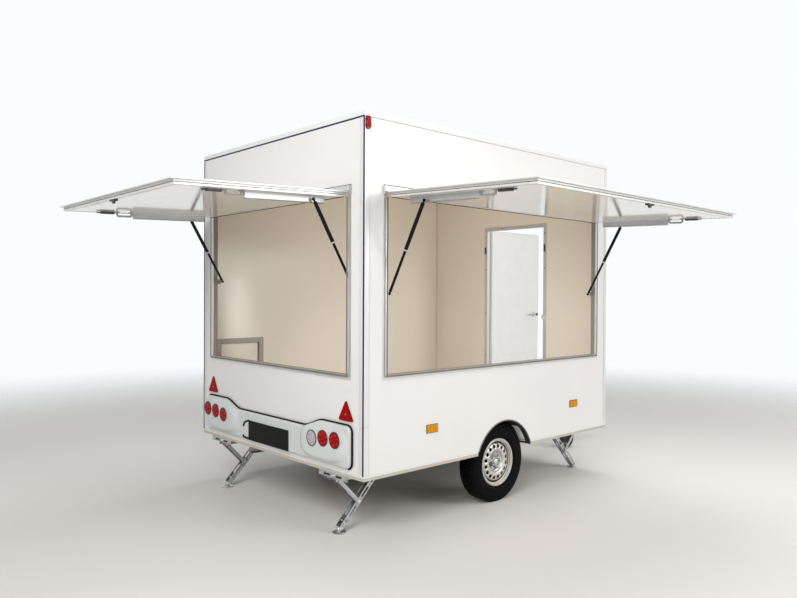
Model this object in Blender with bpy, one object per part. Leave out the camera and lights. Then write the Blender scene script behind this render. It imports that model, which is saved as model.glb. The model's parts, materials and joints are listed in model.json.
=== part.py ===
"""Single-axle sales trailer with two top-hinged serving flaps, built from separate named parts.

Units are metres. +X points to the drawbar, +Y to the left-hand side and +Z up; the ground is at zero.
Positions along the body count from its rear face (x), its right-hand face (y) and the ground (z).
"""
import math

import bmesh
import bpy
from mathutils import Matrix, Vector

# Running gap between touching parts, and the overrun of every cut
GAP = 0.0003
INLAY = 0.001
OVERRUN = 0.01
MOVING_CLEARANCE = 0.005
PIN_CLEARANCE = 0.0005

# Body shell
BODY_LENGTH = 2.76
BODY_WIDTH = 2.09
BODY_HEIGHT = 2.30
FLOOR_BASE = 0.40
FLOOR_THICKNESS = 0.028
WALL_THICKNESS = 0.034
WALL_SETBACK = 0.002
CORNER_LEG = 0.042
CORNER_RADIUS = 0.012
ROOF_EDGE_HEIGHT = 0.038
ROOF_EDGE_WIDTH = 0.052
ROOF_EDGE_RADIUS = 0.012
ROOF_RECESS = 0.004

# Serving openings, heights counted from the floor's underside
OPENING_SILL = 0.62
OPENING_TOP = 1.84
SIDE_OPENING_MARGIN = 0.155
REAR_OPENING_MARGIN = 0.130
FRAME_WIDTH = 0.030
FRAME_PROUD = 0.003
FRAME_CHAMFER = 0.002

# Serving flaps: an edge frame with a bead that turns in the hooked hinge profile above the opening
HINGE_DROP = 0.036
HINGE_STANDOFF = 0.010
BEAD_RADIUS = 0.0045
HOOK_CLEARANCE = 0.0007
HOOK_WALL = 0.0033
HOOK_START_DEG = 50.0
HOOK_END_DEG = 205.0
HOOK_STEP_DEG = 15.5
HINGE_PROFILE_HEIGHT = 0.041
HINGE_PROFILE_DEPTH = 0.0065
LIP_THICKNESS = 0.006
LIP_OVERLAP = 0.022
FLAP_THICKNESS = 0.033
FLAP_EDGE_WIDTH = 0.030
FLAP_PANEL_RECESS = 0.0015
EDGE_GROOVE_DEPTH = 0.0015
EDGE_GROOVE_WIDTH = 0.005
FLAP_OPEN_DEG = 88.0
FLAP_RAIL_START = 0.12
FLAP_RAIL_END = 0.69
FLAP_RAIL_WIDTH = 0.025
FLAP_RAIL_HEIGHT = 0.045
FLAP_RAIL_CHAMFER = 0.006
FLAP_LATCH_START = 0.83
FLAP_LATCH_END = 0.92
FLAP_LATCH_WIDTH = 0.022
FLAP_LATCH_HEIGHT = 0.014

# Gas struts beside each end of a flap
STRUT_INSET = 0.055
STRUT_EYE_RADIUS = 0.009
STRUT_EYE_WIDTH = 0.012
STRUT_TUBE_RADIUS = 0.010
STRUT_ROD_RADIUS = 0.0045
STRUT_BORE_RADIUS = 0.0053
STRUT_STUD_RADIUS = 0.005
STRUT_TUBE_END_LAP = 0.030
STRUT_BORE_END_GAP = 0.006
STRUT_EYE_LAP = 0.004
BRACKET_THICKNESS = 0.004
BRACKET_HALF_HEIGHT = 0.020
BRACKET_MARGIN = 0.012
SIDE_STRUT_OUT = 0.270
SIDE_STRUT_DEPTH = 0.060
SIDE_STRUT_DROP = 0.639
SIDE_STRUT_INSIDE = 0.036
SIDE_STRUT_TUBE = 0.340
REAR_STRUT_OUT = 0.220
REAR_STRUT_DEPTH = 0.052
REAR_STRUT_DROP = 0.549
REAR_STRUT_INSIDE = 0.055
REAR_STRUT_TUBE = 0.300

# Personnel door in the front wall
DOOR_RIGHT = 0.615
DOOR_LEFT = 1.370
DOOR_TOP = 1.830
DOOR_FRAME_WIDTH = 0.034
DOOR_AXIS_BESIDE_FRAME = 0.015
DOOR_AXIS_STANDOFF = 0.044
DOOR_LEAF_THICKNESS = 0.030
DOOR_LEAF_WIDTH = 0.782
DOOR_LEAF_TOP_OVERLAP = 0.012
DOOR_LEAF_BOTTOM_OVERLAP = 0.012
DOOR_LEAF_CHAMFER = 0.003
DOOR_EDGE_GAP = 0.008
DOOR_OPEN_DEG = 90.0
DOOR_HINGE_HEIGHTS = (0.30, 0.92, 1.54)
DOOR_BARREL_RADIUS = 0.007
DOOR_BARREL_LENGTH = 0.040
DOOR_HINGE_PLATE = 0.003
DOOR_HINGE_FLANGE = 0.045
DOOR_LOCK_HEIGHT = 0.945
DOOR_LOCK_INSET = 0.084
DOOR_LEVER_LENGTH = 0.125
DOOR_LEVER_STANDOFF = 0.045
DOOR_LEVER_RADIUS = 0.009
DOOR_ROSE_RADIUS = 0.024
DOOR_ROSE_DEPTH = 0.008

# Service hatch low in the left wall
HATCH_REAR = 0.100
HATCH_FRONT = 0.550
HATCH_BOTTOM = 0.175
HATCH_TOP = 0.775
HATCH_FRAME_WIDTH = 0.042
HATCH_LEAF_THICKNESS = 0.022
HATCH_AXIS_STANDOFF = 0.014
HATCH_STRAP_THICKNESS = 0.004
HATCH_STRAP_REACH = 0.030
HATCH_BARREL_RADIUS = 0.005
HATCH_BARREL_LENGTH = 0.050
HATCH_BARREL_PLACE_SHARES = (0.27, 0.75)
HATCH_KNOB_RADIUS = 0.022
HATCH_KNOB_DEPTH = 0.004

# Moulded rear light panel with three round lamps in each pod
LIGHT_PANEL_SIDE = 0.107
LIGHT_PANEL_BOTTOM = 0.060
LIGHT_PANEL_MIDDLE_TOP = 0.270
LIGHT_PANEL_SHOULDER_TOP = 0.330
LIGHT_PANEL_FLAT_HALF = 0.415
LIGHT_PANEL_RISE_END = 0.645
LIGHT_PANEL_THICKNESS = 0.030
LIGHT_PANEL_CORNER = 0.040
POD_CENTRE = 0.663
POD_CENTRE_HEIGHT = 0.190
POD_HALF_LENGTH = 0.268
POD_HALF_HEIGHT = 0.122
POD_DEPTH = 0.073
POD_ROUNDNESS = 2.6
POD_STEPS = 20
POD_LAYER_SHARES = ((1.0, 0.36), (0.985, 0.66), (0.945, 0.88), (0.88, 1.0))
LAMP_RADIUS = 0.0525
LAMP_DEPTH = 0.010
LAMP_RIM = 0.005
LAMP_FLAT_SHARE = 0.6
LAMP_SEGMENTS = 14
PANEL_RISE_STEPS = 8
LAMP_PLACES = ((0.837, 0.208), (0.713, 0.203), (0.590, 0.190))
PLATE_WIDTH = 0.520
PLATE_HEIGHT = 0.120
PLATE_THICKNESS = 0.003
PLATE_CENTRE_HEIGHT = 0.130
PLATE_CORNER = 0.008
TRIANGLE_SIDE = 0.153
TRIANGLE_BASE = 0.357
TRIANGLE_INSET = 0.173
TRIANGLE_THICKNESS = 0.008
TRIANGLE_CORNER = 0.008
MARKER_LENGTH = 0.100
MARKER_HEIGHT = 0.050
MARKER_DEPTH = 0.012
MARKER_CENTRE_HEIGHT = 0.258
MARKER_REAR_INSET = 0.600
MARKER_FRONT_INSET = 0.500
MARKER_CHAMFER = 0.004
TOP_LAMP_RADIUS = 0.015
TOP_LAMP_LENGTH = 0.080
TOP_LAMP_DEPTH = 0.014
TOP_LAMP_HEIGHT = 2.220

# Running gear
AXLE_BEHIND_MIDDLE = 0.003
TYRE_RADIUS = 0.295
TYRE_WIDTH = 0.165
TYRE_SHOULDER_SHARES = (0.88, 0.93)
TYRE_TREAD_SHARE = 0.72
WHEEL_INSET = 0.055
RIM_FLANGE_RADIUS = 0.180
RIM_SEAT_RADIUS = 0.166
RIM_WELL_RADIUS = 0.142
RIM_WIDTH = 0.128
RIM_WALL = 0.005
RIM_WELL_SHARE = 0.45
RIM_SEAT_SHARE = 0.74
RIM_HOLES = 16
RIM_HOLE_RADIUS = 0.0125
RIM_HOLE_CIRCLE = 0.110
RIM_DISC_OFFSET = 0.030
HUB_RADIUS = 0.034
HUB_CAP_RADIUS = 0.030
HUB_CAP_LENGTH = 0.022
DRUM_RADIUS = 0.090
DRUM_WIDTH = 0.055
RIM_HOLE_SEGMENTS = 6
STUB_RADIUS = 0.015
STUB_CLEARANCE = 0.0006
BACKPLATE_RADIUS = 0.100
BACKPLATE_THICKNESS = 0.008
BACKPLATE_GAP = 0.0008
ARCH_RADIUS = 0.325
MUDGUARD_THICKNESS = 0.004
MUDGUARD_WIDTH = 0.265
MUDGUARD_STEPS = 20
AXLE_BEAM_SIZE = 0.060
AXLE_BEAM_AHEAD = 0.140
AXLE_BEAM_END = 0.280
SWING_ARM_THICKNESS = 0.026
SWING_ARM_RADIUS = 0.032
ARM_BOSS_SHARE = 0.7
ARM_HUB_LAP = 0.003
ARM_KNEE_LAP = 0.005
BEAM_CHAMFER_SHARE = 0.1
ARM_END_STEPS = 6
BACKPLATE_SEGMENTS = 20
WHEEL_SEGMENTS = 24

# Chassis rails, bent inwards ahead of the body to carry the coupling
RAIL_HEIGHT = 0.100
RAIL_FLANGE = 0.045
RAIL_WALL = 0.004
RAIL_INSET = 0.550
RAIL_REAR = 0.120
RAIL_BEND_INSET = 0.760
RAIL_AHEAD = 0.960
RAIL_NOSE_HALF_GAP = 0.030
OUTRIGGER_WIDTH = 0.050
OUTRIGGER_HEIGHT = 0.045
CROSS_MEMBER_WIDTH = 0.045
CROSS_MEMBER_HEIGHT = 0.060
REAR_CROSS_X = 0.220
FRONT_CROSS_INSET = 0.860

# Corner steadies: a push arm and a leg of equal upper length, so that the leg's top runs level
STEADY_INSET = 0.310
STEADY_PIVOT_X = 0.030
STEADY_PIVOT_DROP = 0.048
STEADY_ARM = 0.240
STEADY_DOWN_DEG = 46.0
STEADY_PIN_RADIUS = 0.006
BASE_CHANNEL_LENGTH = 0.540
BASE_CHANNEL_WIDTH = 0.076
BASE_CHANNEL_HEIGHT = 0.054
BASE_CHANNEL_WALL = 0.003
END_PLATE_WIDTH = 0.300
END_PLATE_HEIGHT = 0.034
END_PLATE_THICKNESS = 0.004
SPINDLE_RADIUS = 0.006
SPINDLE_DROP = 0.020
SPINDLE_HEX_RADIUS = 0.011
SPINDLE_HEX_LENGTH = 0.014
ARM_WIDTH = 0.060
ARM_WALL = 0.004
ARM_HALF_HEIGHT = 0.013
ARM_WEB_START = 0.062
LEG_WIDTH = 0.046
LEG_WALL = 0.003
LEG_HALF_HEIGHT = 0.017
LEG_SLOT_WIDTH = 0.014
LEG_SLOT_LENGTH = 0.040
LEG_SLOT_PLACE_SHARES = (0.22, 0.40, 0.66, 0.84)
LEG_NUT_RADIUS = 0.010
FOOT_RADIUS = 0.038
FOOT_THICKNESS = 0.010
FOOT_NECK_RADIUS = 0.013
FOOT_ANKLE_HEIGHT = 0.030

# Overrun coupling and jockey wheel
HOUSING_LENGTH = 0.220
HOUSING_WIDTH = 0.100
HOUSING_HEIGHT = 0.082
HOUSING_BEVEL = 0.012
BELLOWS_LENGTH = 0.130
BELLOWS_RADIUS = 0.036
BELLOWS_DEPTH = 0.006
BELLOWS_RIBS = 5
HEAD_LENGTH = 0.165
HEAD_RADIUS = 0.042
HEAD_SHAPE_SHARES = ((0.0, 0.62, 0.62), (0.25, 0.70, 0.75), (0.50, 0.95, 0.95),
                     (0.80, 1.0, 1.0), (1.0, 0.72, 0.7))
SOCKET_SHARE = 0.62
HEAD_STEPS = 11
HEAD_HANDLE_LIFT = 0.0165
HEAD_HANDLE_LENGTH = 0.120
HEAD_HANDLE_RADIUS = 0.011
BRAKE_LEVER_LENGTH = 0.330
BRAKE_LEVER_LEAN_DEG = 12.0
BRAKE_LEVER_WIDTH = 0.034
BRAKE_LEVER_THICKNESS = 0.008
BRAKE_GRIP_RADIUS = 0.014
BRAKE_GRIP_LENGTH = 0.110
BRAKE_GRIP_LAP = 0.010
BRAKE_LEVER_PLACE_SHARE = 0.55
JOCKEY_AHEAD = 0.640
JOCKEY_OUTER_RADIUS = 0.024
JOCKEY_BORE_RADIUS = 0.0198
JOCKEY_INNER_RADIUS = 0.019
JOCKEY_OUTER_BOTTOM = 0.330
JOCKEY_OUTER_TOP = 0.700
JOCKEY_OUTER_CAP = 0.012
JOCKEY_INNER_LENGTH = 0.320
JOCKEY_CLAMP_LENGTH = 0.070
JOCKEY_CLAMP_HEIGHT = 0.070
JOCKEY_CLAMP_STANDOFF = 0.075
JOCKEY_WHEEL_RADIUS = 0.100
JOCKEY_WHEEL_WIDTH = 0.050
JOCKEY_HUB_RADIUS = 0.022
JOCKEY_HUB_WIDTH = 0.056
JOCKEY_SPOKE_SHARES = (0.62, 0.5)
JOCKEY_TREAD_SHARES = (0.70, 0.93, 0.6)
JOCKEY_SEGMENTS = 20
JOCKEY_AXLE_RADIUS = 0.006
JOCKEY_TRAIL = 0.045
JOCKEY_FORK_WALL = 0.004
JOCKEY_FORK_EYE_RADIUS = 0.016
JOCKEY_FORK_GAP = 0.0008
JOCKEY_FORK_CROWN = 0.012
JOCKEY_CROWN_CLEARANCE = 0.008
JOCKEY_CROWN_HALF_LENGTH = 0.026
JOCKEY_STEM_RADIUS = 0.010
JOCKEY_STEM_LENGTH = 0.018
JOCKEY_CRANK_REACH = 0.120
JOCKEY_CRANK_RADIUS = 0.006
JOCKEY_GRIP_LENGTH = 0.085
JOCKEY_GRIP_RADIUS = 0.012

# Worked-out levels and places
FLOOR_TOP = FLOOR_BASE + FLOOR_THICKNESS
BODY_TOP = FLOOR_BASE + BODY_HEIGHT
WALL_BOTTOM = FLOOR_TOP + GAP
WALL_TOP = BODY_TOP - ROOF_EDGE_HEIGHT - GAP
WALL_END = CORNER_LEG + GAP
MIDDLE = BODY_WIDTH / 2
SILL_Z = FLOOR_BASE + OPENING_SILL
LINTEL_Z = FLOOR_BASE + OPENING_TOP
HINGE_Z = LINTEL_Z - HINGE_DROP
LIP_INSET = FRAME_WIDTH + MOVING_CLEARANCE - LIP_OVERLAP + WALL_SETBACK / 2
FLAP_LENGTH = HINGE_Z - (SILL_Z + LIP_INSET)
FLAP_FACE = LIP_THICKNESS / 2
FLAP_BACK = FLAP_THICKNESS - FLAP_FACE
AXLE_X = BODY_LENGTH / 2 - AXLE_BEHIND_MIDDLE
WHEEL_Y = WHEEL_INSET + TYRE_WIDTH / 2
RIM_FACE = RIM_WIDTH / 2
RAIL_BEND_X = BODY_LENGTH - RAIL_BEND_INSET
RAIL_FRONT = BODY_LENGTH + RAIL_AHEAD
FRONT_CROSS_X = BODY_LENGTH - FRONT_CROSS_INSET
JOCKEY_X = BODY_LENGTH + JOCKEY_AHEAD
STEADY_PIVOT_Z = FLOOR_BASE - STEADY_PIVOT_DROP
STEADY_DOWN = math.radians(STEADY_DOWN_DEG)
STEADY_KNEE_X = STEADY_PIVOT_X + STEADY_ARM * math.cos(STEADY_DOWN)
STEADY_KNEE_Z = STEADY_PIVOT_Z - STEADY_ARM * math.sin(STEADY_DOWN)
STEADY_SHIN = (STEADY_KNEE_Z - FOOT_ANKLE_HEIGHT) / math.sin(STEADY_DOWN)
COUPLING_X = RAIL_FRONT - HOUSING_LENGTH + CROSS_MEMBER_WIDTH
COUPLING_Z = FLOOR_BASE + GAP + HOUSING_HEIGHT / 2
DOOR_AXIS_X = BODY_LENGTH + DOOR_AXIS_STANDOFF
DOOR_AXIS_Y = DOOR_LEFT + DOOR_AXIS_BESIDE_FRAME

# Axes of the four walls: along the wall, up, and inwards from its outer face
RIGHT_WALL = Matrix(((1, 0, 0, 0), (0, 0, 1, 0), (0, 1, 0, 0), (0, 0, 0, 1)))
LEFT_WALL = Matrix(((1, 0, 0, 0), (0, 0, -1, BODY_WIDTH), (0, 1, 0, 0), (0, 0, 0, 1)))
REAR_WALL = Matrix(((0, 0, 1, 0), (1, 0, 0, 0), (0, 1, 0, 0), (0, 0, 0, 1)))
FRONT_WALL = Matrix(((0, 0, -1, BODY_LENGTH), (1, 0, 0, 0), (0, 1, 0, 0), (0, 0, 0, 1)))
LEVEL = Matrix.Identity(4)


def clear_scene():
    """Remove every object of the open file."""
    for item in list(bpy.data.objects):
        bpy.data.objects.remove(item, do_unlink=True)


def make_material(name, colour, roughness, metallic=0.0):
    """Make one plain finish."""
    material = bpy.data.materials.new(name)
    material.use_nodes = True
    shader = material.node_tree.nodes["Principled BSDF"]
    shader.inputs["Base Color"].default_value = (*colour, 1.0)
    shader.inputs["Roughness"].default_value = roughness
    shader.inputs["Metallic"].default_value = metallic
    material.diffuse_color = (*colour, 1.0)
    return material


def white_laminate():
    """Glossy white skin of the sandwich panels."""
    return make_material("white_laminate", (0.86, 0.85, 0.83), 0.25)


def aluminium():
    """Natural aluminium profile."""
    return make_material("aluminium", (0.62, 0.62, 0.60), 0.35, 0.9)


def floor_board():
    """Grey-beige floor board."""
    return make_material("floor_board", (0.45, 0.42, 0.36), 0.7)


def galvanised_steel():
    """Hot-dip galvanised steel."""
    return make_material("galvanised_steel", (0.55, 0.56, 0.57), 0.45, 0.9)


def black_paint():
    """Black painted steel."""
    return make_material("black_paint", (0.02, 0.02, 0.02), 0.4)


def black_rubber():
    """Black rubber and soft plastic."""
    return make_material("black_rubber", (0.03, 0.03, 0.03), 0.8)


def pale_plastic():
    """Pale grey moulded plastic."""
    return make_material("pale_plastic", (0.60, 0.62, 0.62), 0.4)


def red_lens():
    """Red reflector plastic."""
    return make_material("red_lens", (0.55, 0.02, 0.02), 0.2)


def silver_paint():
    """Silver wheel paint."""
    return make_material("silver_paint", (0.50, 0.50, 0.49), 0.35, 0.6)


def solid_from(vertices, faces):
    """Return a closed bmesh with its faces pointing out."""
    mesh = bmesh.new()
    corners = [mesh.verts.new(point) for point in vertices]
    for face in faces:
        mesh.faces.new([corners[index] for index in face])
    bmesh.ops.recalc_face_normals(mesh, faces=mesh.faces)
    return mesh


def block(low, high, frame=LEVEL):
    """Return a box between two corners."""
    vertices = [frame @ Vector((x, y, z)) for x in (low[0], high[0]) for y in (low[1], high[1])
                for z in (low[2], high[2])]
    faces = [(0, 1, 3, 2), (4, 6, 7, 5), (0, 4, 5, 1), (2, 3, 7, 6), (0, 2, 6, 4), (1, 5, 7, 3)]
    return solid_from(vertices, faces)


def eased_block(low, high, ease, frame=LEVEL):
    """Return a box with chamfered edges."""
    mesh = block(low, high, frame)
    bmesh.ops.bevel(mesh, geom=mesh.edges[:], offset=ease, segments=1, affect="EDGES")
    return mesh


def plate(outline, near, far, frame=LEVEL, holes=()):
    """Return a flat plate: an outline with holes, thick from near to far along the frame's third axis."""
    mesh = bmesh.new()
    edges = []
    for loop in (outline, *holes):
        ring_of_corners = [mesh.verts.new((u, v, near)) for u, v in loop]
        count = len(ring_of_corners)
        edges += [mesh.edges.new((ring_of_corners[i], ring_of_corners[(i + 1) % count]))
                  for i in range(count)]
    bmesh.ops.triangle_fill(mesh, edges=edges, use_beauty=True)
    raised = bmesh.ops.extrude_face_region(mesh, geom=mesh.faces[:])
    moved = [item for item in raised["geom"] if isinstance(item, bmesh.types.BMVert)]
    bmesh.ops.translate(mesh, verts=moved, vec=(0, 0, far - near))
    bmesh.ops.transform(mesh, matrix=frame, verts=mesh.verts)
    bmesh.ops.recalc_face_normals(mesh, faces=mesh.faces)
    return mesh


def mitred_frame(profile, low, high, frame=LEVEL):
    """Return a rectangular frame: a closed profile of (inset, depth) points run round a rectangle."""
    vertices = []
    for inset, depth in profile:
        for u, v in ((low[0] + inset, low[1] + inset), (high[0] - inset, low[1] + inset),
                     (high[0] - inset, high[1] - inset), (low[0] + inset, high[1] - inset)):
            vertices.append(frame @ Vector((u, v, depth)))
    faces = []
    count = len(profile)
    for i in range(count):
        here = 4 * i
        after = 4 * ((i + 1) % count)
        for side in range(4):
            turn = (side + 1) % 4
            faces.append((here + side, here + turn, after + turn, after + side))
    return solid_from(vertices, faces)


def turned(profile, segments, frame=LEVEL):
    """Return a solid turned about the frame's third axis from (radius, height) points."""
    vertices = []
    rows = []
    for radius, height in profile:
        steps = segments if radius > 0 else 1
        rows.append([len(vertices) + i for i in range(steps)])
        for i in range(steps):
            angle = 2 * math.pi * i / segments
            vertices.append(frame @ Vector((radius * math.cos(angle), radius * math.sin(angle), height)))
    on_axis = len(rows[0]) == 1 and len(rows[-1]) == 1
    pairs = list(zip(rows, rows[1:]))
    if not on_axis:
        pairs.append((rows[-1], rows[0]))
    faces = []
    for row, after in pairs:
        for i in range(segments):
            j = (i + 1) % segments
            if len(row) == 1:
                faces.append((row[0], after[i], after[j]))
            elif len(after) == 1:
                faces.append((row[i], row[j], after[0]))
            else:
                faces.append((row[i], row[j], after[j], after[i]))
    return solid_from(vertices, faces)


def along(start, end):
    """Return a frame at start whose third axis points to end."""
    start = Vector(start)
    direction = Vector(end) - start
    return Matrix.Translation(start) @ direction.to_track_quat("Z", "Y").to_matrix().to_4x4()


def rod(start, end, radius, segments=10):
    """Return a round bar between two points."""
    length = (Vector(end) - Vector(start)).length
    return turned([(0, 0), (radius, 0), (radius, length), (0, length)], segments, along(start, end))


def lofted(layers):
    """Return a solid through equal-length rings of points, closed by its first and last ring."""
    count = len(layers[0])
    vertices = [point for layer in layers for point in layer]
    faces = [tuple(range(count)), tuple(range(len(vertices) - count, len(vertices)))]
    for row in range(len(layers) - 1):
        for i in range(count):
            j = (i + 1) % count
            faces.append((row * count + i, row * count + j, (row + 1) * count + j, (row + 1) * count + i))
    return solid_from(vertices, faces)


def arc(centre, radius, start_deg, end_deg, steps):
    """Return points on an arc, both ends included."""
    angles = [math.radians(start_deg + (end_deg - start_deg) * i / steps) for i in range(steps + 1)]
    return [(centre[0] + radius * math.cos(a), centre[1] + radius * math.sin(a)) for a in angles]


def rectangle(low, high):
    """Return the four corners of a rectangle."""
    return [(low[0], low[1]), (high[0], low[1]), (high[0], high[1]), (low[0], high[1])]


def rounded_rectangle(low, high, radius, steps=4):
    """Return a rectangle with round corners."""
    points = arc((low[0] + radius, low[1] + radius), radius, 180, 270, steps)
    points += arc((high[0] - radius, low[1] + radius), radius, 270, 360, steps)
    points += arc((high[0] - radius, high[1] - radius), radius, 0, 90, steps)
    points += arc((low[0] + radius, high[1] - radius), radius, 90, 180, steps)
    return points


def combined(base, joined=(), cut=()):
    """Return base with some solids joined to it and others cut from it."""
    helpers = []

    def helper(mesh, name):
        data = bpy.data.meshes.new(name)
        mesh.to_mesh(data)
        mesh.free()
        item = bpy.data.objects.new(name, data)
        item.hide_render = True
        item.display_type = "WIRE"
        helpers.append(item)
        return item

    body = helper(base, "blank")
    bpy.context.scene.collection.objects.link(body)
    for operation, solids in (("UNION", joined), ("DIFFERENCE", cut)):
        for solid in solids:
            tool = helper(solid, "tool")
            bpy.context.scene.collection.objects.link(tool)
            modifier = body.modifiers.new(operation.title(), "BOOLEAN")
            modifier.operation = operation
            modifier.solver = "EXACT"
            modifier.object = tool
    evaluated = body.evaluated_get(bpy.context.evaluated_depsgraph_get())
    result = bmesh.new()
    result.from_mesh(evaluated.to_mesh())
    evaluated.to_mesh_clear()
    for item in helpers:
        data = item.data
        bpy.data.objects.remove(item, do_unlink=True)
        bpy.data.meshes.remove(data)
    return result


def add_empty(name, parent, location=(0, 0, 0), rotation=(0, 0, 0)):
    """Add an empty that carries parts."""
    empty = bpy.data.objects.new(name, None)
    bpy.context.scene.collection.objects.link(empty)
    empty.parent = parent
    empty.location = location
    empty.rotation_euler = rotation
    return empty


def add_part(name, mesh, material, parent, location=(0, 0, 0), rotation=(0, 0, 0), smooth_deg=30.0):
    """Add one named part from its bmesh."""
    data = bpy.data.meshes.new(name)
    mesh.to_mesh(data)
    mesh.free()
    data.shade_smooth()
    data.set_sharp_from_angle(angle=math.radians(smooth_deg))
    data.materials.append(material)
    part = bpy.data.objects.new(name, data)
    bpy.context.scene.collection.objects.link(part)
    part.parent = parent
    part.location = location
    part.rotation_euler = rotation
    return part


def arch_outline(radius, bottom):
    """Return the arch round a wheel, from its front foot over the top to its rear foot."""
    half = math.degrees(math.asin((bottom - TYRE_RADIUS) / radius))
    return arc((AXLE_X, TYRE_RADIUS), radius, half, 180 - half, MUDGUARD_STEPS)


def arch_above(radius, bottom):
    """Return the same arch, cut off level at a higher bottom, so that its facets match the housing's."""
    points = arch_outline(radius, FLOOR_BASE)
    kept = [point for point in points if point[1] > bottom]
    ends = []
    for inner, outer in ((kept[0], points[points.index(kept[0]) - 1]),
                         (kept[-1], points[points.index(kept[-1]) + 1])):
        share = (bottom - outer[1]) / (inner[1] - outer[1])
        ends.append((outer[0] + (inner[0] - outer[0]) * share, bottom))
    return [ends[0], *kept, ends[1]]


def marker_blocks(frame):
    """Return the two side marker lamps of a side wall."""
    base = WALL_SETBACK + MARKER_CHAMFER
    height = FLOOR_BASE + MARKER_CENTRE_HEIGHT
    return [eased_block((x - MARKER_LENGTH / 2, height - MARKER_HEIGHT / 2, base - MARKER_DEPTH),
                        (x + MARKER_LENGTH / 2, height + MARKER_HEIGHT / 2, base), MARKER_CHAMFER / 2, frame)
            for x in (MARKER_REAR_INSET, BODY_LENGTH - MARKER_FRONT_INSET)]


def side_wall(frame, window):
    """Return a side wall with its wheel arch, one window or hatch cut-out and two marker lamps."""
    outline = [(BODY_LENGTH - WALL_END, WALL_BOTTOM), (BODY_LENGTH - WALL_END, WALL_TOP),
               (WALL_END, WALL_TOP), (WALL_END, WALL_BOTTOM)]
    outline += reversed(arch_above(ARCH_RADIUS + GAP, WALL_BOTTOM))
    wall = plate(outline, WALL_SETBACK, WALL_THICKNESS, frame, holes=[window])
    return combined(wall, joined=marker_blocks(frame))


def grown(low, high, amount=GAP):
    """Return a rectangle grown on every side."""
    return rectangle((low[0] - amount, low[1] - amount), (high[0] + amount, high[1] + amount))


def side_opening():
    """Return the outer corners of the side serving frame."""
    return (SIDE_OPENING_MARGIN, SILL_Z), (BODY_LENGTH - SIDE_OPENING_MARGIN, LINTEL_Z)


def rear_opening():
    """Return the outer corners of the rear serving frame."""
    return (REAR_OPENING_MARGIN, SILL_Z), (BODY_WIDTH - REAR_OPENING_MARGIN, LINTEL_Z)


def door_opening():
    """Return the outer corners of the door frame."""
    return (DOOR_RIGHT, WALL_BOTTOM + GAP), (DOOR_LEFT, FLOOR_BASE + DOOR_TOP)


def hatch_opening():
    """Return the outer corners of the hatch frame."""
    return (HATCH_REAR, FLOOR_BASE + HATCH_BOTTOM), (HATCH_FRONT, FLOOR_BASE + HATCH_TOP)


def end_wall(frame, window):
    """Return the rear wall with its window."""
    outline = rectangle((WALL_END, WALL_BOTTOM), (BODY_WIDTH - WALL_END, WALL_TOP))
    return plate(outline, WALL_SETBACK, WALL_THICKNESS, frame, holes=[window])


def front_wall():
    """Return the front wall, notched from below for the door frame."""
    low, high = door_opening()
    outline = [(WALL_END, WALL_BOTTOM), (low[0] - GAP, WALL_BOTTOM), (low[0] - GAP, high[1] + GAP),
               (high[0] + GAP, high[1] + GAP), (high[0] + GAP, WALL_BOTTOM),
               (BODY_WIDTH - WALL_END, WALL_BOTTOM), (BODY_WIDTH - WALL_END, WALL_TOP), (WALL_END, WALL_TOP)]
    return plate(outline, WALL_SETBACK, WALL_THICKNESS, FRONT_WALL)


def floor_panel():
    """Return the floor board with its two wheel notches."""
    half = math.sqrt((ARCH_RADIUS + GAP) ** 2 - (FLOOR_BASE - TYRE_RADIUS) ** 2)
    depth = MUDGUARD_WIDTH + GAP
    right = [(AXLE_X - half, 0), (AXLE_X - half, depth), (AXLE_X + half, depth), (AXLE_X + half, 0)]
    left = [(x, BODY_WIDTH - y) for x, y in reversed(right)]
    outline = [(0, 0), *right, (BODY_LENGTH, 0), (BODY_LENGTH, BODY_WIDTH), *left, (0, BODY_WIDTH)]
    return plate(outline, FLOOR_BASE, FLOOR_TOP)


def corner_post(outward_x, outward_y, lamp_side):
    """Return a corner profile whose outer edge points to (outward_x, outward_y), with a lamp at its head."""
    corner_x = 0 if outward_x < 0 else BODY_LENGTH
    corner_y = 0 if outward_y < 0 else BODY_WIDTH
    frame = Matrix(((-outward_x, 0, 0, corner_x), (0, -outward_y, 0, corner_y), (0, 0, 1, 0), (0, 0, 0, 1)))
    outline = arc((CORNER_RADIUS, CORNER_RADIUS), CORNER_RADIUS, 180, 270, 5)
    outline += [(CORNER_LEG, 0), (CORNER_LEG, WALL_THICKNESS), (WALL_THICKNESS, CORNER_LEG), (0, CORNER_LEG)]
    post = plate(outline, WALL_BOTTOM, WALL_TOP, frame)
    if not lamp_side:
        return post
    half = TOP_LAMP_LENGTH / 2 - TOP_LAMP_RADIUS
    middle = CORNER_LEG / 2 + ROOF_RECESS / 2
    height = FLOOR_BASE + TOP_LAMP_HEIGHT
    lamp_outline = arc((middle, height + half), TOP_LAMP_RADIUS, 0, 180, 8)
    lamp_outline += arc((middle, height - half), TOP_LAMP_RADIUS, 180, 360, 8)
    upright = frame @ RIGHT_WALL
    lamp = plate(lamp_outline, -TOP_LAMP_DEPTH, TOP_LAMP_RADIUS, upright)
    return combined(post, joined=[lamp])


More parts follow.
